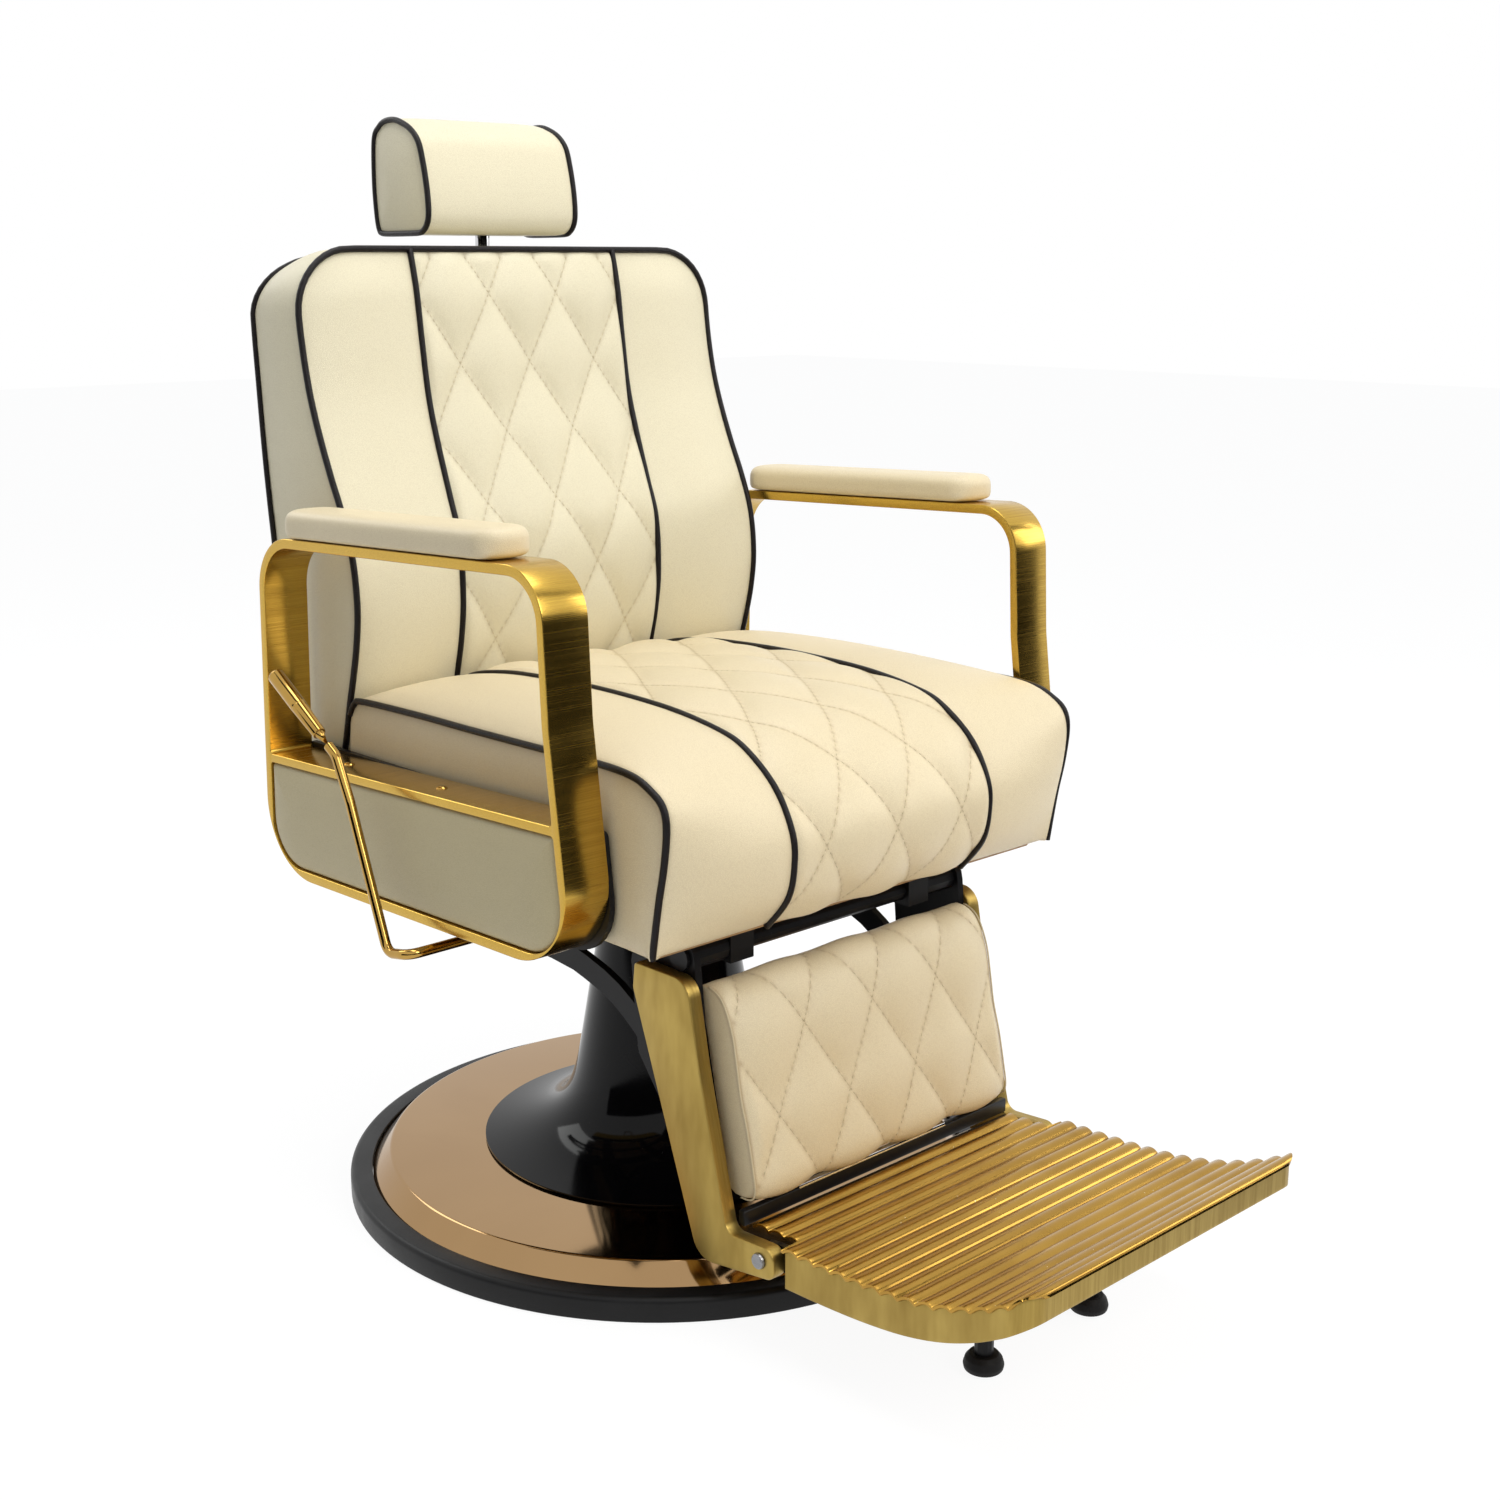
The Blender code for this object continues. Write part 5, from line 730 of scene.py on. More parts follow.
def wire(path: Sequence[Vector], radius: float, closed: bool = False, facets: int = 3,
         ) -> bmesh.types.BMesh:
    """Sweep a round section along a path.

    Args:
        path: The path's points.
        radius: The section's radius.
        closed: Whether the path runs back to its start.
        facets: Curve resolution of a quarter of the section.

    Returns:
        The swept mesh.
    """
    curve = bpy.data.curves.new("swept", "CURVE")
    curve.dimensions = "3D"
    curve.bevel_depth = radius
    curve.bevel_resolution = facets
    curve.use_fill_caps = not closed
    spline = curve.splines.new("POLY")
    spline.points.add(len(path) - 1)
    for slot, point in zip(spline.points, path):
        slot.co = (*point, 1.0)
    spline.use_cyclic_u = closed
    holder = bpy.data.objects.new("swept", curve)
    bpy.context.scene.collection.objects.link(holder)
    mesh = bpy.data.meshes.new_from_object(holder)
    bm = bmesh.new()
    bm.from_mesh(mesh)
    bpy.data.objects.remove(holder)
    bpy.data.meshes.remove(mesh)
    bpy.data.curves.remove(curve)
    return bm


def bent(points: Sequence[Vector], radius: float, steps: int = 10) -> list[Vector]:
    """Round the inner corners of a path.

    Args:
        points: The path's corners.
        radius: The bends' radius.
        steps: Segments in each bend.

    Returns:
        The path's points.
    """
    corners = [Vector(p) for p in points]
    path = [corners[0]]
    for before, corner, after in zip(corners, corners[1:], corners[2:]):
        one, two = before - corner, after - corner
        back = min(radius / math.tan(one.angle(two) / 2.0), 0.45 * min(one.length, two.length))
        start, end = corner + one.normalized() * back, corner + two.normalized() * back
        for step in range(steps + 1):
            t = step / steps
            path.append(start * (1 - t) ** 2 + corner * 2 * t * (1 - t) + end * t * t)
    path.append(corners[-1])
    return path


def loft(rings: Sequence[Sequence[Vector]]) -> bmesh.types.BMesh:
    """Join rings of equal length into one closed skin and cap its ends."""
    bm = bmesh.new()
    rims: list[list[bmesh.types.BMEdge]] = []
    for ring in rings:
        verts = [bm.verts.new(point) for point in ring]
        rims.append([bm.edges.new(pair) for pair in zip(verts, verts[1:] + verts[:1])])
    for low, high in zip(rims, rims[1:]):
        bmesh.ops.bridge_loops(bm, edges=low + high)
    for rim in (rims[0], rims[-1]):
        bmesh.ops.contextual_create(bm, geom=rim)
    return bm


def placed(bm: bmesh.types.BMesh, place: Matrix) -> bmesh.types.BMesh:
    """Move a mesh to its place and return it."""
    bmesh.ops.transform(bm, matrix=place, verts=bm.verts)
    return bm


def merged(*parts: bmesh.types.BMesh) -> bmesh.types.BMesh:
    """Gather several meshes of one piece in the first of them."""
    first = parts[0]
    for part in parts[1:]:
        mesh = bpy.data.meshes.new("gathered")
        part.to_mesh(mesh)
        part.free()
        first.from_mesh(mesh)
        bpy.data.meshes.remove(mesh)
    return first


def along_x(x: float, y: float, z: float, sign: int = 1) -> Matrix:
    """The place that lays a turned mesh's axis along X, pointing outward on a side."""
    return Matrix.Translation((x, y, z)) @ Matrix.Rotation(sign * math.pi / 2, 4, "Y")


def piece(bm: bmesh.types.BMesh, name: str, finish: Finish, body: str,
          shading: Shading = Shading.CRISP, replaces: Sequence[str] = ()) -> bpy.types.Object:
    """Turn a mesh into a piece that rides on a body.

    Args:
        bm: The mesh, which is used up.
        name: The piece's name.
        finish: Its finish.
        body: The body it moves with.
        shading: How its faces meet.
        replaces: The nodes it stands for.

    Returns:
        The piece's object.
    """
    bmesh.ops.remove_doubles(bm, verts=bm.verts, dist=1e-6)
    bmesh.ops.recalc_face_normals(bm, faces=bm.faces)
    mesh = bpy.data.meshes.new(name)
    bm.to_mesh(mesh)
    bm.free()
    if shading is not Shading.FLAT:
        mesh.shade_smooth()
        if shading is not Shading.SOFT:
            mesh.set_sharp_from_angle(angle=math.radians(shading.value))
    made = bpy.data.objects.new(name, mesh)
    bpy.context.scene.collection.objects.link(made)
    mesh.materials.append(finish.material())
    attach(made, body)
    if replaces:
        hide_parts(*replaces)
    LOG.info("%s: %d faces on %s", name, len(mesh.polygons), body)
    return made


def refine(made: bpy.types.Object, levels: int = 1) -> None:
    """Give a piece a subdivision surface of equal levels in view and render."""
    surface = made.modifiers.new("Subdivision", "SUBSURF")
    surface.levels = surface.render_levels = levels


# ---------------------------------------------------------------- upholstery

@dataclass(frozen=True)
class Quilt:
    """Diamond quilting in a face's running coordinates: u across it and v along it."""

    width: float
    height: float
    half: float
    start: float
    depth: float
    parts: int = 16

    def seam_distance(self, u: float, v: float) -> float:
        """How far a place is from the nearest stitched line, as a share of a diamond."""
        a = u / self.width + (v - self.start) / self.height
        b = u / self.width - (v - self.start) / self.height
        return min(abs(a - round(a)), abs(b - round(b)))

    def puff(self, u: float, v: float) -> float:
        """The share of the full height to which the diamond rises at a place."""
        a = math.sin(math.pi * (u / self.width + (v - self.start) / self.height))
        b = math.sin(math.pi * (u / self.width - (v - self.start) / self.height))
        return (abs(a) * abs(b)) ** 0.55

    def columns(self) -> list[float]:
        """Stations across the quilt, through every crossing."""
        step = self.width / self.parts
        count = int(self.half / step + 1e-6)
        inner = [i * step for i in range(-count, count + 1)]
        return [-self.half, *[u for u in inner if self.half - abs(u) > step * 0.3], self.half]

    def rows(self, low: float, high: float) -> list[float]:
        """Stations along the quilt between two ends, through every crossing."""
        step = self.height / self.parts
        first = math.ceil((low - self.start) / step + 0.3)
        last = math.floor((high - self.start) / step - 0.3)
        return [low, *[self.start + i * step for i in range(first, last + 1)], high]

    def lines(self, low: float, high: float, pitch: float) -> Iterable[list[Point2]]:
        """Walk the stitched lines.

        Args:
            low: The lowest v.
            high: The highest v.
            pitch: The spacing of the stitches.

        Yields:
            The (u, v) places along each line.
        """
        reach = int(self.half / self.width + (high - low) / self.height) + 3
        slant = math.hypot(self.width, self.height)
        for way in (1, -1):
            for number in range(-2 * reach, 2 * reach + 1):
                line: list[Point2] = []
                steps = int((high - low) * slant / self.height / pitch)
                for step in range(1, steps):
                    v = low + (high - low) * step / steps
                    u = self.width * (number - way * (v - self.start) / self.height)
                    if abs(u) < self.half - 0.004:
                        line.append((u, v))
                if len(line) > 2:
                    yield line


@dataclass
class Cushion:
    """A stuffed pad: a crowned face, boxing round its edge and a flat rear, as one closed mesh.

    Attributes:
        name: The piece's name.
        body: The body it rides on.
        replaces: The node it stands for.
        half: Half its width.
        span: The face's first and last v.
        surface: The unpadded face's place at (u, v).
        boxing: A boxing point's place, from the face's edge point and a share of 0 to 1.
        crown: How far the face swells between its seams at (u, v).
        quilt: Its quilting.
        edges: Stations from the quilt to the edge, as shares.
        swell: Cap on how far the stuffing's pressure moves the cloth.
        fill: How tight it is; not used.
    """

    name: str
    body: str
    replaces: str
    half: float
    span: Point2
    surface: Callable[[float, float], Vector]
    boxing: Callable[[Vector, float, float, float], Vector]
    crown: Callable[[float, float], float]
    quilt: Quilt
    edges: Sequence[float] = ()
    swell: float = 0.005
    fill: float = 0.7
    boxing_rows: int = 6
    pressure: float = 4.0
    finish: Finish = CREAM

    def normal(self, u: float, v: float) -> Vector:
        """The face's outward direction at a place."""
        step = 0.002
        across = self.surface(u + step, v) - self.surface(u - step, v)
        along = self.surface(u, v + step) - self.surface(u, v - step)
        return along.cross(across).normalized() * self.way

    @cached_property
    def way(self) -> float:
        """Which of the two normals points to the sitter."""
        middle = (self.span[0] + self.span[1]) / 2
        step = 0.002
        across = self.surface(step, middle) - self.surface(-step, middle)
        along = self.surface(0, middle + step) - self.surface(0, middle - step)
        facing = along.cross(across)
        return 1.0 if facing.dot(Vector((0.0, -1.0, 1.0))) > 0.0 else -1.0

    def lift(self, u: float, v: float) -> float:
        """How far the stuffing raises the face at a place."""
        rise = self.crown(u, v)
        if abs(u) < self.quilt.half:
            fade = min(1.0, (self.quilt.half - abs(u)) / 0.007)
            ends = min(1.0, (v - self.span[0]) / 0.010, (self.span[1] - v) / 0.010)
            rise += self.quilt.depth * self.quilt.puff(u, v) * fade * max(ends, 0.0)
        return rise

    def stations(self) -> tuple[list[float], list[float]]:
        """The face's columns and rows."""
        columns = self.quilt.columns()
        outer = [self.quilt.half + (self.half - self.quilt.half) * share for share in self.edges]
        return [-u for u in outer[::-1]] + columns + outer, self.quilt.rows(*self.span)

    def model(self) -> bpy.types.Object:
        """Model, stuff and finish the cushion."""
        columns, rows = self.stations()
        wide, tall = len(columns) - 1, len(rows) - 1
        bm = bmesh.new()
        bmesh.ops.create_grid(bm, x_segments=wide, y_segments=tall, size=0.5)
        # This layer marks where the leather's finish paints shade: stitched lines, the quilt's borders, the face's edge
        # and the boxing's rear edge.
        seam = bm.verts.layers.float.new("seam")
        hold = bm.verts.layers.float.new("hold")
        shares: dict[bmesh.types.BMVert, Point2] = {}
        for vert in bm.verts:
            u = columns[round((vert.co.x + 0.5) * wide)]
            v = rows[round((vert.co.y + 0.5) * tall)]
            shares[vert] = (u, v)
            inside = abs(u) <= self.quilt.half + 1e-6
            stitched = inside and self.quilt.seam_distance(u, v) < 0.01
            border = abs(abs(u) - self.quilt.half) < 1e-6 or vert.is_boundary
            vert[seam] = 1.0 if stitched or border else 0.0
            vert[hold] = 1.0 if stitched or border else 0.0
        for vert, (u, v) in shares.items():
            rise = 0.0 if vert.is_boundary else self.lift(u, v)
            vert.co = self.surface(u, v) + self.normal(u, v) * rise
        face = bm.faces[:]
        rear = bmesh.ops.duplicate(bm, geom=face)
        twin = {new: old for old, new in rear["vert_map"].items() if isinstance(new, bmesh.types.BMVert)
                and new not in shares}
        ring = [e for e in bm.edges if e.is_boundary and e.verts[0] in shares]
        homes = {v: v for e in ring for v in e.verts}
        for step in range(1, self.boxing_rows + 1):
            grown = bmesh.ops.extrude_edge_only(bm, edges=ring)
            made = [v for v in grown["geom"] if isinstance(v, bmesh.types.BMVert)]
            before = {}
            for vert in made:
                source = next(e.other_vert(vert) for e in vert.link_edges if e.other_vert(vert) in homes
                              and e.other_vert(vert) not in made)
                before[vert] = homes[source]
            share = step / self.boxing_rows
            for vert, home in before.items():
                u, v = shares[home]
                vert.co = self.boxing(home.co, u, v, share)
                vert[seam] = 1.0 if step == self.boxing_rows else 0.0
                vert[hold] = 1.0
            homes = before
            ring = [e for e in grown["geom"] if isinstance(e, bmesh.types.BMEdge)]
        for vert, old in twin.items():
            u, v = shares[old]
            vert.co = self.boxing(self.surface(u, v), u, v, 1.0)
            vert[hold] = 1.0
            vert[seam] = 0.0
        bmesh.ops.remove_doubles(bm, verts=bm.verts, dist=4e-5)
        made = piece(bm, self.name, self.finish, self.body, Shading.SOFT, [self.replaces])
        self.stuff(made)
        refine(made)
        return made

    def stuff(self, made: bpy.types.Object) -> None:
        """Let the stuffing's pressure swell the cloth between its seams.

        Args:
            made: The cushion's object, whose mesh takes the result.
        """
        points = len(made.data.vertices)
        held = [value.value for value in made.data.attributes["hold"].data]
        group = made.vertex_groups.new(name="held")
        for index in range(points):
            if held[index] > 0.0:
                group.add([index], held[index], "REPLACE")
        cloth = made.modifiers.new("Stuffing", "CLOTH")
        cloth.settings.vertex_group_mass = "held"
        cloth.settings.use_pressure = True
        cloth.settings.uniform_pressure_force = self.pressure
        cloth.settings.tension_stiffness = cloth.settings.compression_stiffness = 18.0
        cloth.settings.bending_stiffness = 1.2
        cloth.settings.mass = 0.3
        cloth.settings.quality = 4
        cloth.settings.effector_weights.gravity = 0.0
        cloth.point_cache.frame_start, cloth.point_cache.frame_end = 1, 20
        scene = bpy.context.scene
        for frame in range(1, 21):
            scene.frame_set(frame)
        swollen = made.evaluated_get(bpy.context.evaluated_depsgraph_get()).data
        for vert, moved in zip(made.data.vertices, swollen.vertices):
            shift = moved.co - vert.co
            if shift.length > self.swell:
                shift *= self.swell / shift.length
            vert.co += shift
        made.modifiers.remove(cloth)
        made.vertex_groups.remove(group)
        scene.frame_set(1)

    def piping_path(self, places: Sequence[Point2], proud: float) -> list[Vector]:
        """Lay a path on the face, standing proud of it by a distance."""
        return [self.surface(u, v) + self.normal(u, v) * proud for u, v in places]

    def stitch(self, made: bpy.types.Object, pitch: float = 0.0058) -> bpy.types.Object:
        """Sew the quilting: one small thread bead for each stitch.

        Args:
            made: The cushion that is sewn.
            pitch: The spacing of the stitches.

        Returns:
            The stitching's object.
        """
        graph = bpy.context.evaluated_depsgraph_get()
        skin = BVHTree.FromObject(made, graph)
        bm = bmesh.new()
        for line in self.quilt.lines(*self.span, pitch):
            spots = [self.surface(u, v) for u, v in line]
            for before, spot, after, (u, v) in zip(spots, spots[1:], spots[2:], line[1:]):
                out = self.normal(u, v)
                hit = skin.ray_cast(spot + out * 0.03, -out, 0.06)
                if hit[0] is None:
                    continue
                along = (after - before).normalized()
                side = out.cross(along).normalized()
                turn = Matrix((along, side, along.cross(side))).transposed().to_4x4()
                bmesh.ops.create_icosphere(bm, subdivisions=1, radius=1.0, matrix=(
                    Matrix.Translation(hit[0] + out * 0.0001) @ turn @ Matrix.Diagonal((0.0021, 0.0005, 0.00045, 1))))
        return piece(bm, f"{self.name}_stitching", THREAD, self.body, Shading.SOFT)


def piping(paths: Sequence[tuple[list[Vector], bool]], name: str, body: str, radius: float = 0.0034,
           ) -> bpy.types.Object:
    """Model the piping along several seams.

    Args:
        paths: Each path, and whether it closes on itself.
        name: The piece's name.
        body: The body it rides on.
        radius: The piping's radius.

    Returns:
        The piping's object.
    """
    return piece(merged(*[wire(path, radius, closed) for path, closed in paths]), name, WELT, body,
                 Shading.SOFT)


def back_top(x: float, top: float = 1.003, half: float = 0.276, corner: float = 0.065) -> float:
    """Height of the backrest's rounded top edge at x."""
    over = max(abs(x) - (half - corner), 0.0)
    return top - corner + math.sqrt(max(corner ** 2 - over ** 2, 0.0))


@dataclass
class SeatPad:
    """The seat cushion with its piping and stitching."""

    half: float = 0.2768
    bottom: float = 0.385
    rear: float = 0.1755
    side: Line = field(default_factory=lambda: Line([
        (0.1755, 0.530), (0.167, 0.543), (0.150, 0.548), (0.051, 0.550), (-0.034, 0.550), (-0.149, 0.551),
        (-0.228, 0.552), (-0.275, 0.549), (-0.300, 0.540), (-0.315, 0.529), (-0.320, 0.510), (-0.316, 0.475),
        (-0.308, 0.438), (-0.299, 0.385)]))
    middle: Line = field(default_factory=lambda: Line([
        (0.1755, 0.530), (0.158, 0.551), (0.100, 0.563), (0.031, 0.568), (-0.057, 0.570), (-0.160, 0.567),
        (-0.235, 0.557), (-0.270, 0.545), (-0.307, 0.517), (-0.328, 0.482), (-0.3315, 0.454), (-0.324, 0.419),
        (-0.296, 0.385)]))
    quilt: Quilt = Quilt(0.0945, 0.153, 0.1365, 0.570, 0.0078)

    def out(self, u: float) -> float:
        """How far a place is from the quilt towards the cushion's side, from 0 to 1."""
        return max(abs(u) - self.quilt.half, 0.0) / (self.half - self.quilt.half)

    def surface(self, u: float, v: float) -> Vector:
        """The unpadded face at a place."""
        share = v / self.middle.length
        point = self.side.at(share)[0].lerp(self.middle.at(share)[0], 1.0 - self.out(u) ** 2)
        return Vector((u, point.x, point.y))

    def crown(self, u: float, v: float) -> float:
        """The swell between the seams."""
        window = math.sin(math.pi * min(max(v / self.middle.length, 0.0), 1.0)) ** 0.4
        if abs(u) > self.quilt.half:
            return 0.0095 * math.sin(math.pi * min(self.out(u), 1.0)) ** 0.5 * window
        return 0.004 * math.cos(math.pi * u / (2 * self.quilt.half)) * window

    def boxing(self, home: Vector, u: float, v: float, share: float) -> Vector:
        """The cushion's sides, from the piped edge down to its board."""
        along = v / self.middle.length
        front = self.surface(u, self.middle.length).y
        low = Vector((u, self.rear + (front - self.rear) * along, self.bottom))
        bulge = 0.004 * math.sin(math.pi * share)
        point = home.lerp(low, share)
        if abs(u) > self.half - 1e-6:
            point.x += math.copysign(bulge, u)
        elif v < 1e-6:
            point.y += bulge
        return point

    def build(self) -> None:
        """Build the cushion, its piping and its stitching."""
        length = self.middle.length
        pad = Cushion("seat_cushion_cover", "seat", "seat_cushion", self.half, (0.0, length), self.surface, self.boxing,
                      self.crown, self.quilt, (0.06, 0.14, 0.24, 0.36, 0.48, 0.60, 0.72, 0.82, 0.90, 0.96, 1.0))
        made = pad.model()
        pad.stitch(made)
        runs = []
        for u in (-self.half, self.half, -self.quilt.half, self.quilt.half):
            proud = -0.0012 if abs(u) == self.half else 0.0016
            runs.append((pad.piping_path([(u, length * i / 150) for i in range(151)], proud), False))
        piping(runs, "seat_piping", "seat")


@dataclass
class BackPad:
    """The backrest's cushion, its rear panel, piping and stitching."""

    half: float = 0.276
    bottom: float = 0.470
    top: float = 0.996
    drop: float = 0.007
    side: Sequence[Point2] = (
        (0.470, 0.197), (0.496, 0.189), (0.544, 0.1765), (0.569, 0.169), (0.605, 0.160), (0.645, 0.1555),
        (0.694, 0.161), (0.738, 0.177), (0.773, 0.194), (0.820, 0.214), (0.860, 0.227), (0.913, 0.237),
        (0.960, 0.241), (1.003, 0.244))
    middle: Sequence[Point2] = (
        (0.470, 0.197), (0.545, 0.186), (0.591, 0.175), (0.635, 0.169), (0.698, 0.172), (0.739, 0.186),
        (0.791, 0.204), (0.842, 0.219), (0.904, 0.2285), (0.955, 0.235), (1.003, 0.246))
    rear: Sequence[Point2] = (
        (0.470, 0.298), (0.687, 0.312), (0.733, 0.317), (0.785, 0.322), (0.863, 0.327), (0.914, 0.330),
        (0.952, 0.330), (1.003, 0.322))
    quilt: Quilt = Quilt(0.0912, 0.1455, 0.1368, 0.877, 0.0088)

    def out(self, u: float) -> float:
        """How far a place is from the quilt towards the cushion's side, from 0 to 1."""
        return max(abs(u) - self.quilt.half, 0.0) / (self.half - self.quilt.half)

    def surface(self, u: float, v: float) -> Vector:
        """The unpadded face at a place."""
        edge = back_top(min(abs(u), self.half)) - self.drop
        z = self.bottom + (v - self.bottom) * (edge - self.bottom) / (self.top - self.bottom)
        blend = 1.0 - self.out(u) ** 2
        y = height_on(self.side, z) * (1.0 - blend) + height_on(self.middle, z) * blend
        return Vector((u, y, z))

    def crown(self, u: float, v: float) -> float:
        """The swell between the seams."""
        window = max(min((v - 0.500) / 0.06, 1.0, (self.top - v) / 0.04), 0.0)
        if abs(u) > self.quilt.half:
            return 0.0085 * math.sin(math.pi * min(self.out(u), 1.0)) ** 0.7 * window
        return 0.003 * math.cos(math.pi * u / (2 * self.quilt.half)) * window

    def boxing(self, home: Vector, u: float, v: float, share: float) -> Vector:
        """The cushion's sides and top, from the front piping to the rear one."""
        near_top = min(max((home.z - 0.93) / 0.06, 0.0), 1.0)
        z = home.z - 0.010 * near_top
        border = abs(u) > self.half - 1e-6 or v < self.bottom + 1e-6 or v > self.top - 1e-6
        depth = 0.004 + 0.010 * near_top if border else 0.0150
        point = home.lerp(Vector((home.x, height_on(self.rear, z) - depth, z)), share)
        if border and v > self.bottom + 1e-6:
            corner = Vector((max(abs(u) - (self.half - 0.065), 0.0), 0.0, max(home.z - 0.938, 0.0)))
            outward = corner.normalized() if corner.length > 1e-6 else Vector((1.0, 0.0, 0.0))
            bulge = 0.0045 * math.sin(math.pi * share)
            point += Vector((math.copysign(outward.x, u), 0.0, outward.z)) * bulge
        return point

    def build(self) -> None:
        """Build the cushion, the rear panel, the piping and the stitching."""
        bend = [0.533 + 0.467 * math.sin(math.radians(9.0 * i)) for i in range(1, 11)]
        pad = Cushion("back_cushion_cover", "back", "back_cushion", self.half, (self.bottom, self.top), self.surface,
                      self.boxing, self.crown, self.quilt, (0.07, 0.16, 0.27, 0.40, 0.48, *bend), boxing_rows=8,
                      finish=CREAM_BACK)
        made = pad.model()
        pad.stitch(made)
        steps = 90
        rise = [self.bottom + (self.top - self.bottom) * i / steps for i in range(steps + 1)]
        across = pad.stations()[0]
        rim = ([(-self.half, v) for v in rise] + [(u, self.top) for u in across[1:-1]]
               + [(self.half, v) for v in rise[::-1]])
        runs = [(pad.piping_path(rim, 0.0012), False),
                ([self.boxing(self.surface(u, v), u, v, 1.0) for u, v in rim], False)]
        for u in (-self.quilt.half, self.quilt.half):
            runs.append((pad.piping_path([(u, v) for v in rise], 0.0016), False))
        piping(runs, "back_piping", "back")
        self.build_panel()

    def build_panel(self) -> None:
        """Build the upholstered panel that closes the rear of the backrest."""
        wide, tall, half, low = 36, 40, self.half - 0.013, self.bottom + 0.008
        bm = bmesh.new()
        bmesh.ops.create_grid(bm, x_segments=wide, y_segments=tall, size=0.5)
        for vert in bm.verts:
            x = 2 * vert.co.x * half
            high = back_top(x * self.half / half) - 0.034
            z = low + (high - low) * (vert.co.y + 0.5)
            swell = 0.003 * (1.0 - (x / half) ** 4) * math.sin(math.pi * (vert.co.y + 0.5)) ** 0.5
            vert.co = (x, height_on(self.rear, z) + swell - 0.0005, z)
        made = piece(bm, "back_rear_panel", CREAM_BACK, "back", Shading.SOFT, ["back_panel"])
        thick = made.modifiers.new("Thickness", "SOLIDIFY")
        thick.thickness, thick.offset = 0.0125, -1.0 if made.data.polygons[0].normal.y > 0 else 1.0
        soften = made.modifiers.new("Edges", "BEVEL")
        soften.width, soften.segments, soften.limit_method = 0.004, 3, "ANGLE"
        path = [Vector((v.co.x, v.co.y + 0.0002, v.co.z)) for v in made.data.vertices
                if abs(abs(v.co.x) - half * 0.944) < half * 0.001]
        for sign in (-1, 1):
            side = sorted((p for p in path if p.x * sign > 0), key=lambda p: p.z)
            if len(side) > 2:
                piece(wire(side, 0.0007), f"back_panel_seam_{'L' if sign > 0 else 'R'}", THREAD, "back",
                      Shading.SOFT)


@dataclass
class HeadrestPad:
    """The headrest's bolster on its chrome post."""

    half: float = 0.100
    foot: float = 1.011
    middle: Point2 = (0.312, 1.065)
    outline: Sequence[Point2] = (
        (0.315, 1.011), (0.281, 1.0115), (0.270, 1.014), (0.262, 1.022), (0.259, 1.035), (0.261, 1.060),
        (0.267, 1.088), (0.274, 1.108), (0.287, 1.121), (0.304, 1.129), (0.320, 1.133), (0.337, 1.132),
        (0.348, 1.127), (0.359, 1.114), (0.362, 1.070), (0.360, 1.035), (0.356, 1.016), (0.348, 1.0115),
        (0.315, 1.011))

    def ring_point(self, line: Line, share: float, swell: float, x: float) -> Vector:
        """A point of the bolster's section, swollen about its middle."""
        point = line.at(share)[0]
        y = self.middle[0] + (point.x - self.middle[0]) * swell
        z = self.middle[1] + (point.y - self.middle[1]) * swell
        return Vector((x, y, max(z, self.foot + 0.0005)))

    def build(self) -> None:
        """Build the bolster, its piping and the post."""
        line = Line(self.outline)
        stations = [math.sin(math.pi / 2 * (i / 14 - 1)) if i < 14 else i / 14 - 1 for i in range(29)]
        stations = sorted({round(math.copysign(min(abs(s), 1.0), s), 4) for s in stations} | {-1.0, 1.0, 0.0})
        wide, round_count = len(stations) - 1, 96
        bm = bmesh.new()
        bmesh.ops.create_grid(bm, x_segments=wide, y_segments=round_count, size=0.5)
        ends = {-1: [], 1: []}
        for vert in bm.verts:
            station = stations[round((vert.co.x + 0.5) * wide)]
            share = round((vert.co.y + 0.5) * round_count) / round_count
            swell = 0.962 + 0.05 * (1.0 - station ** 6) ** 0.5
            vert.co = self.ring_point(line, share, swell, self.half * station * 0.985)
        bmesh.ops.remove_doubles(bm, verts=bm.verts, dist=1e-5)
        for vert in bm.verts:
            for sign in ends:
                if abs(vert.co.x - sign * self.half * 0.985) < 1e-6:
                    ends[sign].append(vert)
        middle = Vector((0.0, *self.middle))
        for sign, rim in ends.items():
            ring = [e for e in bm.edges if e.is_boundary and e.verts[0] in rim]
            last = 1.0
            for size in (0.965, 0.88, 0.74, 0.56, 0.36, 0.16):
                grown = bmesh.ops.extrude_edge_only(bm, edges=ring)
                verts = [v for v in grown["geom"] if isinstance(v, bmesh.types.BMVert)]
                for vert in verts:
                    flat = Vector((0.0, vert.co.y, vert.co.z)) - middle
                    flat *= size / last
                    vert.co = (sign * self.half * (0.985 + 0.075 * (1.0 - size ** 2.2)), middle.y + flat.y,
                               middle.z + flat.z)
                last = size
                ring = [e for e in grown["geom"] if isinstance(e, bmesh.types.BMEdge)]
            bmesh.ops.holes_fill(bm, edges=ring)
        made = piece(bm, "headrest_bolster", CREAM_BACK, "headrest", Shading.SOFT, ["headrest_cushion"])
        refine(made)
        loops = []
        for sign in (-1, 1):
            loops.append(([self.ring_point(line, i / 120, 0.972, sign * self.half * 0.99) for i in range(120)], True))
        piping(loops, "headrest_piping", "headrest", 0.0032)
        radius, low, high = 0.008, 0.865, 1.05
        post = lathe([(0.0, low), (radius - 0.001, low), (radius, low + 0.001), (radius, high), (0.0, high)], 48)
        piece(placed(post, Matrix.Translation((0.0, 0.3018, 0.0))), "headrest_chrome_post", CHROME, "headrest",
              replaces=["headrest_post"])


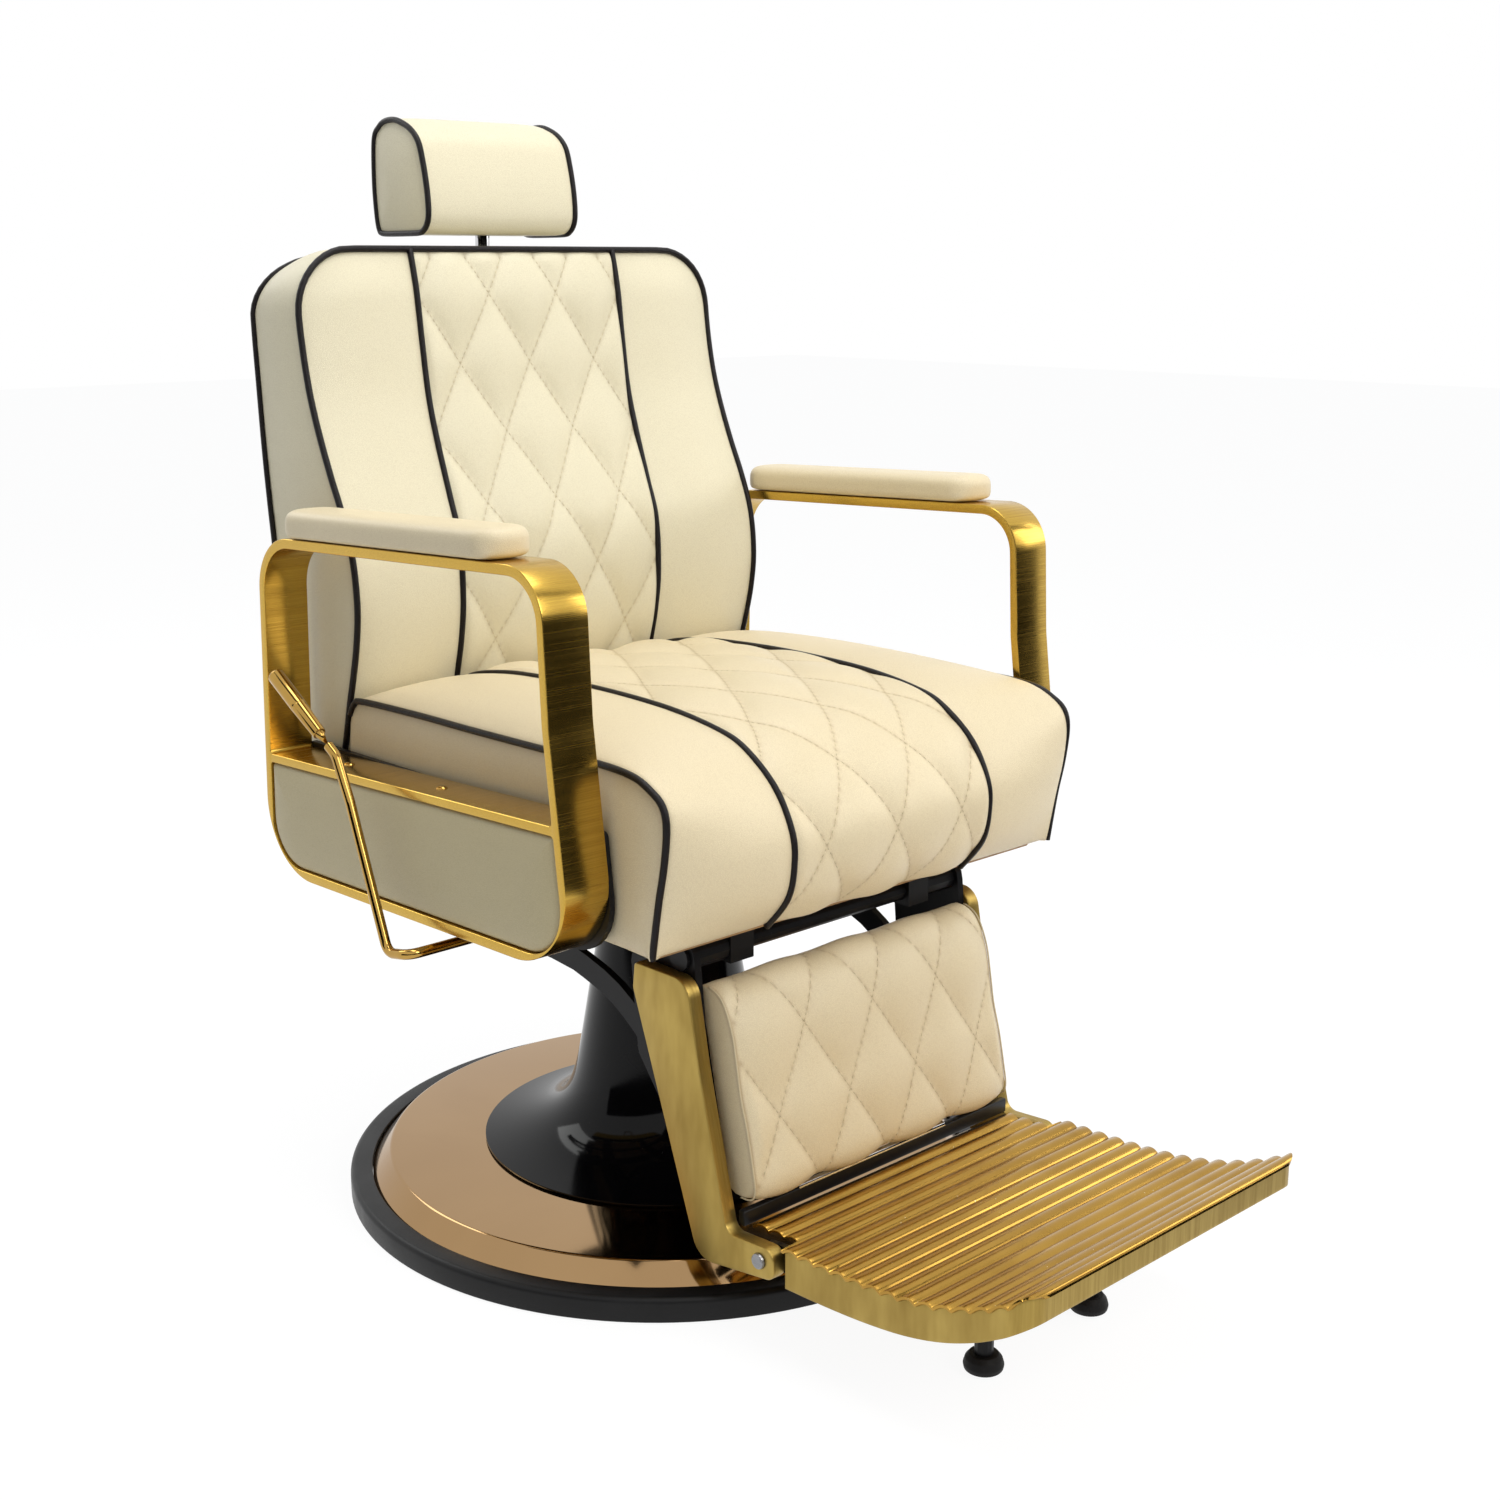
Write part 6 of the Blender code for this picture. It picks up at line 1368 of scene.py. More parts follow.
@dataclass
class CalfPad:
    """The quilted calf pad of the leg rest."""

    half: float = 0.1812
    front: Line = field(default_factory=lambda: Line([
        (-0.2555, 0.3265), (-0.270, 0.3260), (-0.285, 0.3165), (-0.2975, 0.290), (-0.304, 0.258), (-0.309, 0.230),
        (-0.3175, 0.200), (-0.3245, 0.168), (-0.3285, 0.143), (-0.3220, 0.1325), (-0.3000, 0.1315)]))
    rear: tuple[Point2, Point2] = ((-0.2525, 0.3230), (-0.2920, 0.1350))
    quilt: Quilt = Quilt(0.094, 0.156, 0.1790, 0.0725, 0.0076)

    def surface(self, u: float, v: float) -> Vector:
        """The unpadded face at a place."""
        point = self.front.at(v / self.front.length)[0]
        return Vector((u, point.x, point.y))

    def crown(self, u: float, v: float) -> float:
        """The swell of the whole pad."""
        window = math.sin(math.pi * min(max(v / self.front.length, 0.0), 1.0)) ** 0.5
        return 0.005 * max(1.0 - (u / self.half) ** 4, 0.0) * window

    def boxing(self, home: Vector, u: float, v: float, share: float) -> Vector:
        """The pad's sides, back to its board."""
        (y0, z0), (y1, z1) = self.rear
        along = v / self.front.length
        point = home.lerp(Vector((home.x, y0 + (y1 - y0) * along, z0 + (z1 - z0) * along)), share)
        if abs(u) > self.half - 1e-6:
            point.x -= math.copysign(0.0012 * share, u)
        return point

    def build(self) -> None:
        """Build the pad, its stitching and its side seams."""
        length = self.front.length
        pad = Cushion("calf_pad_cover", "leg_rest", "calf_pad", self.half, (0.0, length), self.surface, self.boxing,
                      self.crown, self.quilt, (1.0,), boxing_rows=5)
        made = pad.model()
        pad.stitch(made)
        runs = [wire(pad.piping_path([(u, length * i / 100) for i in range(4, 97)], 0.0004), 0.0009)
                for u in (-self.half, self.half)]
        piece(merged(*runs), "calf_pad_seams", THREAD, "leg_rest", Shading.SOFT)


# ---------------------------------------------------------------- armrests

@dataclass
class Armrest:
    """One side's strap loop, arm pad, side panel and screws."""

    side: Side
    inner_x: float = 0.290
    outer_x: float = 0.340
    strap: float = 0.010
    corners: Sequence[Corner] = (
        ((0.2445, 0.3625), 0.077), ((0.2325, 0.7145), 0.058), ((-0.2320, 0.7322), 0.050),
        ((-0.2385, 0.5950), 0.150), ((-0.2665, 0.3740), 0.077))
    bar_rear: float = 0.4885
    bar_front: float = 0.5085
    bar: float = 0.009

    def on_wall(self, wall: tuple[Point2, Point2], drop: float) -> Point2:
        """Where the middle bar's line, lowered by a drop, meets a wall of the loop."""
        (y0, z0), (y1, z1) = wall
        rear, front = self.corners[0][0][0], self.corners[4][0][0]
        slope = (self.bar_front - self.bar_rear) / (front - rear)
        start = self.bar_rear - drop - slope * rear
        lean = (y1 - y0) / (z1 - z0)
        z = (start + slope * (y0 - lean * z0)) / (1.0 - slope * lean)
        return y0 + lean * (z - z0), z

    def openings(self) -> tuple[list[Corner], list[Corner]]:
        """The corners of the strap's upper and lower openings."""
        inner = inset(self.corners, self.strap)
        points = [corner for corner, _ in inner]
        rear, front = (points[0], points[1]), (points[3], points[4])
        upper = [(self.on_wall(rear, 0.0), 0.004), inner[1], inner[2], inner[3], (self.on_wall(front, 0.0), 0.004)]
        lower = [inner[0], (self.on_wall(rear, self.bar), 0.004), (self.on_wall(front, self.bar), 0.004), inner[4]]
        return upper, lower

    def facing(self) -> Matrix:
        """The place that stands an outline of (y, z) points on this side, its depth outward."""
        return Matrix.Diagonal((self.side.value, 1.0, 1.0, 1.0)) @ SIDE_PLACE

    def build_strap(self) -> None:
        """Build the flat strap loop with its middle bar."""
        loops = [rounded(corners, 24) for corners in (self.corners, *self.openings())]
        frame = placed(slab(loops, self.inner_x, self.outer_x, 0.0012, 3), self.facing())
        piece(frame, f"arm_strap_loop_{self.side.letter}", STRAP_GOLD, "seat",
              replaces=[f"arm_frame_{self.side.letter}"])

    def build_panel(self) -> None:
        """Build the crowned side panel in the lower opening."""
        face = self.outer_x
        steps = ((0.0004, self.inner_x + 0.0004), (0.0004, face - 0.0075), (0.0006, face - 0.0055),
                 (0.0013, face - 0.0036), (0.0028, face - 0.0019), (0.0052, face - 0.0005), (0.009, face + 0.0008),
                 (0.014, face + 0.0020), (0.021, face + 0.0031), (0.029, face + 0.0040), (0.038, face + 0.0046),
                 (0.047, face + 0.0049))
        bm = loft([[Vector((y, z, depth)) for y, z in rounded(inset(self.openings()[1], wide), 14)]
                   for wide, depth in steps])
        # The panel's leather is the darker copy with painted shade.
        made = piece(placed(bm, self.facing()), f"side_panel_cover_{self.side.letter}", CREAM_SHADED_SIDE, "seat",
                     Shading.SOFT, [f"side_panel_{self.side.letter}"])

    def build_pad(self) -> None:
        """Build the arm pad, a firm crowned cushion on the strap's top."""
        x, wide, high, y0, y1 = 0.3155, 0.062, 0.029, -0.164, 0.186
        cap = wide / 2
        bm = bmesh.new()
        bmesh.ops.create_uvsphere(bm, u_segments=64, v_segments=40, radius=1.0)

        def power(value: float, grade: float) -> float:
            """Raise a signed value to a power."""
            return math.copysign(abs(value) ** grade, value)

        (ya, za), (yb, zb) = self.corners[1][0], self.corners[2][0]
        for vert in bm.verts:
            flat = max(math.hypot(vert.co.x, vert.co.y), 1e-9)
            ring = flat ** 0.42
            a, b = power(vert.co.x / flat, 0.85) * ring, power(vert.co.y / flat, 0.85) * ring
            y = (y0 + y1) / 2 + b * cap + math.copysign((y1 - y0) / 2 - cap, b) * min(abs(b) / 0.05, 1.0)
            if flat < 1e-6:
                y = (y0 + y1) / 2
            base = za + (zb - za) * (y - ya) / (yb - ya) + 0.0004
            rise = 0.40 + (0.60 * power(vert.co.z, 0.62) if vert.co.z > 0 else -0.40 * abs(vert.co.z) ** 0.5)
            vert.co = (self.side.value * x + a * cap, y, base + high * rise)
        made = piece(bm, f"arm_pad_cover_{self.side.letter}", CREAM, "seat", Shading.SOFT,
                     [f"arm_pad_{self.side.letter}"])
        refine(made)

    def build_screws(self) -> None:
        """Build the domed screw heads on the middle bar and the strap's foot."""
        x = self.side.value * (self.inner_x + self.outer_x) / 2
        dome = [(0.0, 0.0024), (0.0022, 0.0023), (0.0042, 0.0018), (0.0055, 0.0008), (0.0058, 0.0), (0.0, 0.0)]
        heads = []
        for y in (-0.040, 0.120):
            z = self.bar_rear + (self.bar_front - self.bar_rear) * (0.2445 - y) / 0.511
            heads.append(placed(lathe(dome, 32), Matrix.Translation((x, y, z))))
        for y in (-0.105, 0.100):
            z = 0.3625 + (0.3740 - 0.3625) * (0.2445 - y) / 0.511
            heads.append(placed(lathe(dome, 32), Matrix.Translation((x, y, z)) @ Matrix.Rotation(math.pi, 4, "X")))
        piece(merged(*heads), f"arm_screws_{self.side.letter}", LEVER_GOLD, "seat")

    def build(self) -> None:
        """Build every piece of the armrest."""
        self.build_strap()
        self.build_panel()
        self.build_pad()
        self.build_screws()


# ---------------------------------------------------------------- base and column

@dataclass
class Base:
    """The floor ring, the bronze disc and the trumpet cover."""

    disc: float = 0.326
    crown_z: float = 0.047
    cover_top: float = 0.335
    cover_top_r: float = 0.066
    taper: float = 0.165
    foot_r: float = 0.203
    foot_z: float = 0.0500
    flare: float = 0.018

    def cover_radius(self, z: float) -> float:
        """Outer radius of the trumpet cover at a height."""
        swell = self.foot_r - self.cover_top_r - self.taper * (self.cover_top - self.foot_z)
        return (self.cover_top_r + self.taper * (self.cover_top - z)
                + swell * math.exp(-(z - self.foot_z) / self.flare))

    def build_ring(self) -> None:
        """Build the rubber floor ring."""
        lip = self.disc + 0.0004
        outline = rounded([((0.3328, 0.0004), 0.0008), ((0.350, 0.0004), 0.002), ((0.350, 0.026), 0.006),
                           ((lip, 0.026), 0.0012), ((lip, 0.0184), 0.0), ((0.3328, 0.0184), 0.0)], 6)
        piece(lathe([*outline, outline[0]], 160), "base_floor_ring", BASE_RUBBER, "base",
              replaces=["base_ring"])

    def build_disc(self) -> None:
        """Build the polished disc with its bevelled rim."""
        top = rounded([((self.disc, 0.0185), 0.0), ((self.disc, 0.0225), 0.0016), ((self.disc - 0.020, 0.044), 0.005),
                       ((0.190, self.crown_z), 0.05), ((0.094, self.crown_z), 0.0), ((0.094, 0.0455), 0.0),
                       ((0.190, 0.0455), 0.05), ((self.disc - 0.021, 0.0425), 0.005),
                       ((self.disc - 0.0014, 0.0222), 0.001), ((self.disc - 0.0014, 0.0185), 0.0)], 8)
        piece(lathe([*top, top[0]], 180), "base_bronze_disc", DISC_BRONZE, "base",
              replaces=["base_disc"])

    def build_cover(self) -> None:
        """Build the trumpet cover with its pedal slot."""
        rows = 60
        line = [(self.foot_r, self.foot_z - 0.0022)]
        for step in range(rows + 1):
            share = (step / rows) ** 2.2
            z = self.foot_z + (self.cover_top - self.foot_z) * share
            line.append((self.cover_radius(z), z))
        line += [(self.cover_top_r - 0.0012, self.cover_top + 0.0004), (self.cover_top_r - 0.003, self.cover_top)]
        bm = lathe(line, 144)
        turn = Matrix.Rotation(math.radians(45.0), 4, "Z")
        side = turn @ Vector((0.0, 1.0, 0.0))
        for offset in (-0.0133, 0.0133):
            bmesh.ops.bisect_plane(bm, geom=bm.verts[:] + bm.edges[:] + bm.faces[:], plane_co=side * offset,
                                   plane_no=side)
        for height in (0.118, 0.160):
            bmesh.ops.bisect_plane(bm, geom=bm.verts[:] + bm.edges[:] + bm.faces[:], plane_co=(0, 0, height),
                                   plane_no=(0, 0, 1))
        radial = turn @ Vector((1.0, 0.0, 0.0))
        gone = []
        for face in bm.faces:
            spot = face.calc_center_median()
            if spot.dot(radial) > 0 and abs(spot.dot(side)) < 0.0133 and 0.118 < spot.z < 0.160:
                gone.append(face)
        bmesh.ops.delete(bm, geom=gone, context="FACES")
        made = piece(bm, "column_trumpet", GLOSS_BLACK, "column", Shading.ROUND, ["column_cover"])
        outward = made.data.polygons[len(made.data.polygons) // 2]
        facing = outward.normal.dot(Vector((outward.center.x, outward.center.y, 0.0)))
        wall = made.modifiers.new("Wall", "SOLIDIFY")
        wall.thickness, wall.offset = 0.0028, -1.0 if facing > 0 else 1.0

    def build_tread_ribs(self) -> None:
        """Build the raised ribs of the pump pedal's tread."""
        low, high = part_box("pedal_tread")
        middle = (low + high) / 2
        out = Vector((1.0, 1.0, 0.0)).normalized()
        side = Vector((-1.0, 1.0, 0.0)).normalized()
        ribs = []
        for number in range(-3, 4):
            centre = Vector((middle.x, middle.y, high.z - 0.0012)) + out * number * 0.010
            ribs.append(wire([centre - side * 0.032, centre + side * 0.032], 0.0022, facets=2))
        piece(merged(*ribs), "pedal_tread_ribs", PAD_RUBBER, "pedal", Shading.ROUND)

    def build(self) -> None:
        """Build every piece of the base."""
        self.build_ring()
        self.build_disc()
        self.build_cover()
        self.build_tread_ribs()


# ---------------------------------------------------------------- leg rest and footplate

@dataclass
class LegRest:
    """The gold bars that carry the leg rest, and their screws."""

    inner_x: float = 0.190
    thick: float = 0.016
    pivot: Point2 = (-0.360, 0.094)
    corners: Sequence[Corner] = (
        ((-0.1880, 0.3385), 0.005), ((-0.1850, 0.3120), 0.012), ((-0.2755, 0.0635), 0.024),
        ((-0.3795, 0.0795), 0.012), ((-0.3780, 0.1095), 0.012), ((-0.3160, 0.1050), 0.012),
        ((-0.2790, 0.2550), 0.120), ((-0.2630, 0.3385), 0.022))

    def hole(self, radius: float) -> list[Point2]:
        """The round outline of the screw's hole."""
        return [(self.pivot[0] + radius * math.cos(math.tau * i / 32), self.pivot[1] + radius * math.sin(math.tau * i / 32))
                for i in range(32)]

    def build(self) -> None:
        """Build the bars and their screws."""
        outer = self.inner_x + self.thick
        head = [(0.0, 0.0014), (0.0030, 0.0014), (0.0032, 0.0034), (0.0062, 0.0034), (0.0072, 0.0026), (0.0076, 0.0012),
                (0.0078, 0.0003), (0.0, 0.0003)]
        socket = [(0.0, 0.0016), (0.0027, 0.0016), (0.0030, 0.0030), (0.0, 0.0016)]
        for side in Side:
            facing = Matrix.Diagonal((side.value, 1.0, 1.0, 1.0)) @ SIDE_PLACE
            bar = slab([rounded(self.corners, 10), self.hole(0.0045)], self.inner_x, outer, 0.0022, 3)
            piece(placed(bar, facing), f"leg_rest_bar_{side.letter}", BAR_GOLD, "leg_rest",
                  replaces=[f"leg_bar_{side.letter}"])
            place = along_x(side.value * outer, *self.pivot, sign=side.value)
            piece(placed(lathe(head, 40), place), f"leg_bar_screw_{side.letter}", STEEL, "leg_rest")
            piece(placed(lathe(socket[:3], 6), place), f"leg_bar_socket_{side.letter}", SCREW_BLACK, "leg_rest",
                  Shading.FLAT)
        rail = slab([rounded([((-0.3235, 0.1085), 0.0015), ((-0.3155, 0.1085), 0.0015), ((-0.3155, 0.1235), 0.0015),
                              ((-0.3235, 0.1235), 0.0015)], 4)], -0.1895, 0.1895, 0.0006, 2)
        piece(placed(rail, SIDE_PLACE), "leg_rest_heel_rail", SATIN_BLACK, "leg_rest")
        strip = slab([rounded([((-0.3252, 0.1215), 0.0008), ((-0.3200, 0.1245), 0.0008), ((-0.3175, 0.1280), 0.0008),
                               ((-0.3232, 0.1262), 0.0008)], 3)], -0.118, 0.092, 0.0003, 1)
        piece(placed(strip, SIDE_PLACE), "leg_rest_heel_strip", CHROME, "leg_rest")


@dataclass
class Footplate:
    """The corrugated footplate with its skirt and rubber feet."""

    half: float = 0.203
    heel_half: float = 0.1815
    heel: float = -0.326
    step: float = -0.386
    front: float = -0.668
    sheet: float = 0.0025
    ribs: int = 17
    pitch: float = 0.020
    rise: float = 0.0046
    corner: float = 0.027
    line: Sequence[Point2] = (
        (0.326, 0.1085), (0.386, 0.1125), (0.440, 0.1145), (0.490, 0.1175), (0.535, 0.1225), (0.575, 0.1310),
        (0.610, 0.1430), (0.640, 0.1570), (0.668, 0.1720))

    def top(self, y: float) -> float:
        """Height of the sheet between its ribs."""
        return height_on(self.line, -y)

    def ribbed(self, y: float) -> float:
        """Height of the ribbed sheet."""
        margin = (self.heel - self.front - self.ribs * self.pitch) / 2
        share = (self.heel - margin - y) / self.pitch
        if share < 0.0 or share > self.ribs:
            return self.top(y)
        lean = (share % 1.0) ** 1.12
        lip = 1.3 if share > self.ribs - 1 else 1.0
        return self.top(y) + self.rise * lip * math.sin(math.pi * lean) ** 0.72

    def reach(self, y: float) -> float:
        """Half the sheet's width at y."""
        if y > self.step + 0.0004:
            return self.heel_half
        room = y - self.front
        if room >= self.corner:
            return self.half
        return self.half - self.corner + math.sqrt(max(self.corner ** 2 - (self.corner - room) ** 2, 0.0))

    def build_tread(self) -> None:
        """Build the corrugated sheet."""
        rows = sorted({self.heel + (self.front - self.heel) * i / 306 for i in range(307)}
                      | {self.step, self.step + 0.0008} | {self.front + self.corner * (1 - math.cos(math.radians(9 * k)))
                                                           for k in range(1, 10)})
        bm = bmesh.new()
        wide = 28
        bmesh.ops.create_grid(bm, x_segments=wide, y_segments=len(rows) - 1, size=0.5)
        for vert in bm.verts:
            y = rows[round((vert.co.y + 0.5) * (len(rows) - 1))]
            vert.co = (2 * vert.co.x * self.reach(y), y, self.ribbed(y))
        made = piece(bm, "footplate_ribbed_sheet", TREAD_GOLD, "footplate", Shading.ROUND,
                     ["footplate_tread"])
        upward = made.data.polygons[len(made.data.polygons) // 2].normal.z > 0
        thick = made.modifiers.new("Thickness", "SOLIDIFY")
        thick.thickness, thick.offset = self.sheet, -1.0 if upward else 1.0
        edge = made.modifiers.new("Edges", "BEVEL")
        edge.width, edge.segments, edge.limit_method, edge.angle_limit = 0.0006, 2, "ANGLE", math.radians(60)

    def rim(self) -> list[Point2]:
        """The skirt's path round the plate, from one heel to the other."""
        out, edge = self.half - 0.0015, self.front + 0.0025
        path = rounded([((-out, self.step - 0.003), 0.0), ((-out, edge), 0.0255), ((out, edge), 0.0255),
                        ((out, self.step - 0.003), 0.0)], 14)
        fine = [path[0]]
        for a, b in zip(path, path[1:]):
            parts = max(int((Vector(b) - Vector(a)).length / 0.002), 1)
            fine += [tuple(Vector(a).lerp(Vector(b), (i + 1) / parts)) for i in range(parts)]
        return fine

    def build_skirt(self) -> None:
        """Build the curved skirt under the sheet's edge."""
        edge = self.front + 0.0025
        rim = self.rim()
        bm = bmesh.new()
        verts = [bm.verts.new((x, y, self.ribbed(y) - self.sheet - 0.0004)) for x, y in rim]
        ring = [bm.edges.new(pair) for pair in zip(verts, verts[1:])]
        rows = 8
        depths = {}
        for x, y in rim:
            share = (self.step - y) / (self.step - edge)
            depths[(round(x, 5), round(y, 5))] = 0.034 - 0.012 * share ** 2 + self.ribbed(y) - self.top(y)
        for step in range(rows):
            grown = bmesh.ops.extrude_edge_only(bm, edges=ring)
            for vert in grown["geom"]:
                if isinstance(vert, bmesh.types.BMVert):
                    vert.co.z -= depths[(round(vert.co.x, 5), round(vert.co.y, 5))] / rows
            ring = [e for e in grown["geom"] if isinstance(e, bmesh.types.BMEdge)]
        made = piece(bm, "footplate_skirt_sheet", BAR_GOLD, "footplate", Shading.ROUND, ["footplate_skirt"])
        first = made.data.polygons[0]
        thick = made.modifiers.new("Thickness", "SOLIDIFY")
        thick.thickness, thick.offset = 0.004, -1.0 if first.normal.x * first.center.x > 0 else 1.0
        edges = made.modifiers.new("Edges", "BEVEL")
        edges.width, edges.segments, edges.limit_method, edges.angle_limit = 0.0009, 2, "ANGLE", math.radians(50)

    def build_feet(self) -> None:
        """Build the rubber feet."""
        foot = rounded([((0.0, 0.003), 0.0), ((0.0178, 0.003), 0.0025), ((0.019, 0.0085), 0.004), ((0.0172, 0.0145), 0.004),
                        ((0.0135, 0.019), 0.0015), ((0.0, 0.019), 0.0)], 6)
        for side in Side:
            place = Matrix.Translation((0.078 * side.value, -0.522, 0.0))
            piece(placed(lathe(foot, 56), place), f"footplate_rubber_foot_{side.letter}", PAD_RUBBER, "footplate",
                  Shading.ROUND, [f"footplate_pad_{side.letter}"])

    def build(self) -> None:
        """Build every piece of the footplate."""
        self.build_tread()
        self.build_skirt()
        self.build_feet()


@dataclass
class Lever:
    """The recline lever: a bent gold rod and its tapered grip."""

    x: float = -0.372
    radius: float = 0.005

    def build(self) -> None:
        """Build the rod and the grip."""
        knee = Vector((self.x, 0.0515, 0.5245))
        way = Vector((0.0, 0.091, 0.055)).normalized()
        start = knee + way * 0.014
        path = bent([Vector((-0.104, -0.060, 0.352)), Vector((self.x, -0.060, 0.352)), Vector((self.x, -0.024, 0.345)),
                     Vector((self.x, 0.030, 0.482)), knee, start], 0.014, 12)
        piece(wire(path, self.radius, facets=6), "recline_lever_rod", LEVER_GOLD, "lever", Shading.ROUND,
              ["lever_rod"])
        profile = [(0.0, 0.0), *rounded([((0.0060, 0.0), 0.0008), ((0.0078, 0.056), 0.0), ((0.0080, 0.0575), 0.0005),
                                         ((0.0077, 0.0585), 0.0004), ((0.0081, 0.060), 0.0005), ((0.0083, 0.1075), 0.003),
                                         ((0.0, 0.1085), 0.0)], 4)]
        turn = Vector((0.0, 0.0, 1.0)).rotation_difference(way).to_matrix().to_4x4()
        piece(placed(lathe(profile, 48), Matrix.Translation(start + way * 0.0004) @ turn), "recline_lever_grip",
              LEVER_GOLD, "lever", replaces=["lever_grip"])


# ---------------------------------------------------------------- carried nodes and studio

NODE_FINISHES: dict[str, Finish] = {
    "base_plate": SATIN_BLACK, "base_hub": SATIN_BLACK, "thrust_washer": STEEL, "pump_cylinder": STEEL,
    "cylinder_gland": STEEL, "pump_block": SATIN_BLACK, "pedal_pin": STEEL, "pump_plunger": STEEL,
    "pump_pedal": GLOSS_BLACK, "pedal_tread": PAD_RUBBER, "seat_ram": CHROME, "ram_piston": STEEL,
    "seat_hub": SATIN_BLACK, "seat_frame": SATIN_BLACK, "arm_carrier_front": SATIN_BLACK,
    "arm_carrier_rear": SATIN_BLACK, "seat_pan": PLY, "lever_bearing": SATIN_BLACK, "leg_shaft": SATIN_BLACK,
    "back_shaft": STEEL, "back_pivot_bracket_L": SATIN_BLACK, "back_pivot_bracket_R": SATIN_BLACK,
    "side_plate_L": SATIN_BLACK, "side_plate_R": SATIN_BLACK, "back_carrier": SATIN_BLACK,
    "headrest_sleeve": STEEL, "push_link_L": SATIN_BLACK, "push_link_R": SATIN_BLACK, "leg_frame": SATIN_BLACK,
    "calf_board": PLY, "footplate_screw_L": STEEL, "footplate_screw_R": STEEL, "footplate_frame": SATIN_BLACK,
}


def finish_nodes(nodes: dict[str, bpy.types.Object]) -> None:
    """Give every carried node its finish.

    Args:
        nodes: The frame's nodes by name.
    """
    for name, node in nodes.items():
        finish = NODE_FINISHES.get(name, SATIN_BLACK)
        for slot in node.material_slots:
            slot.material = finish.material()
    LOG.info("finished %d nodes", len(nodes))


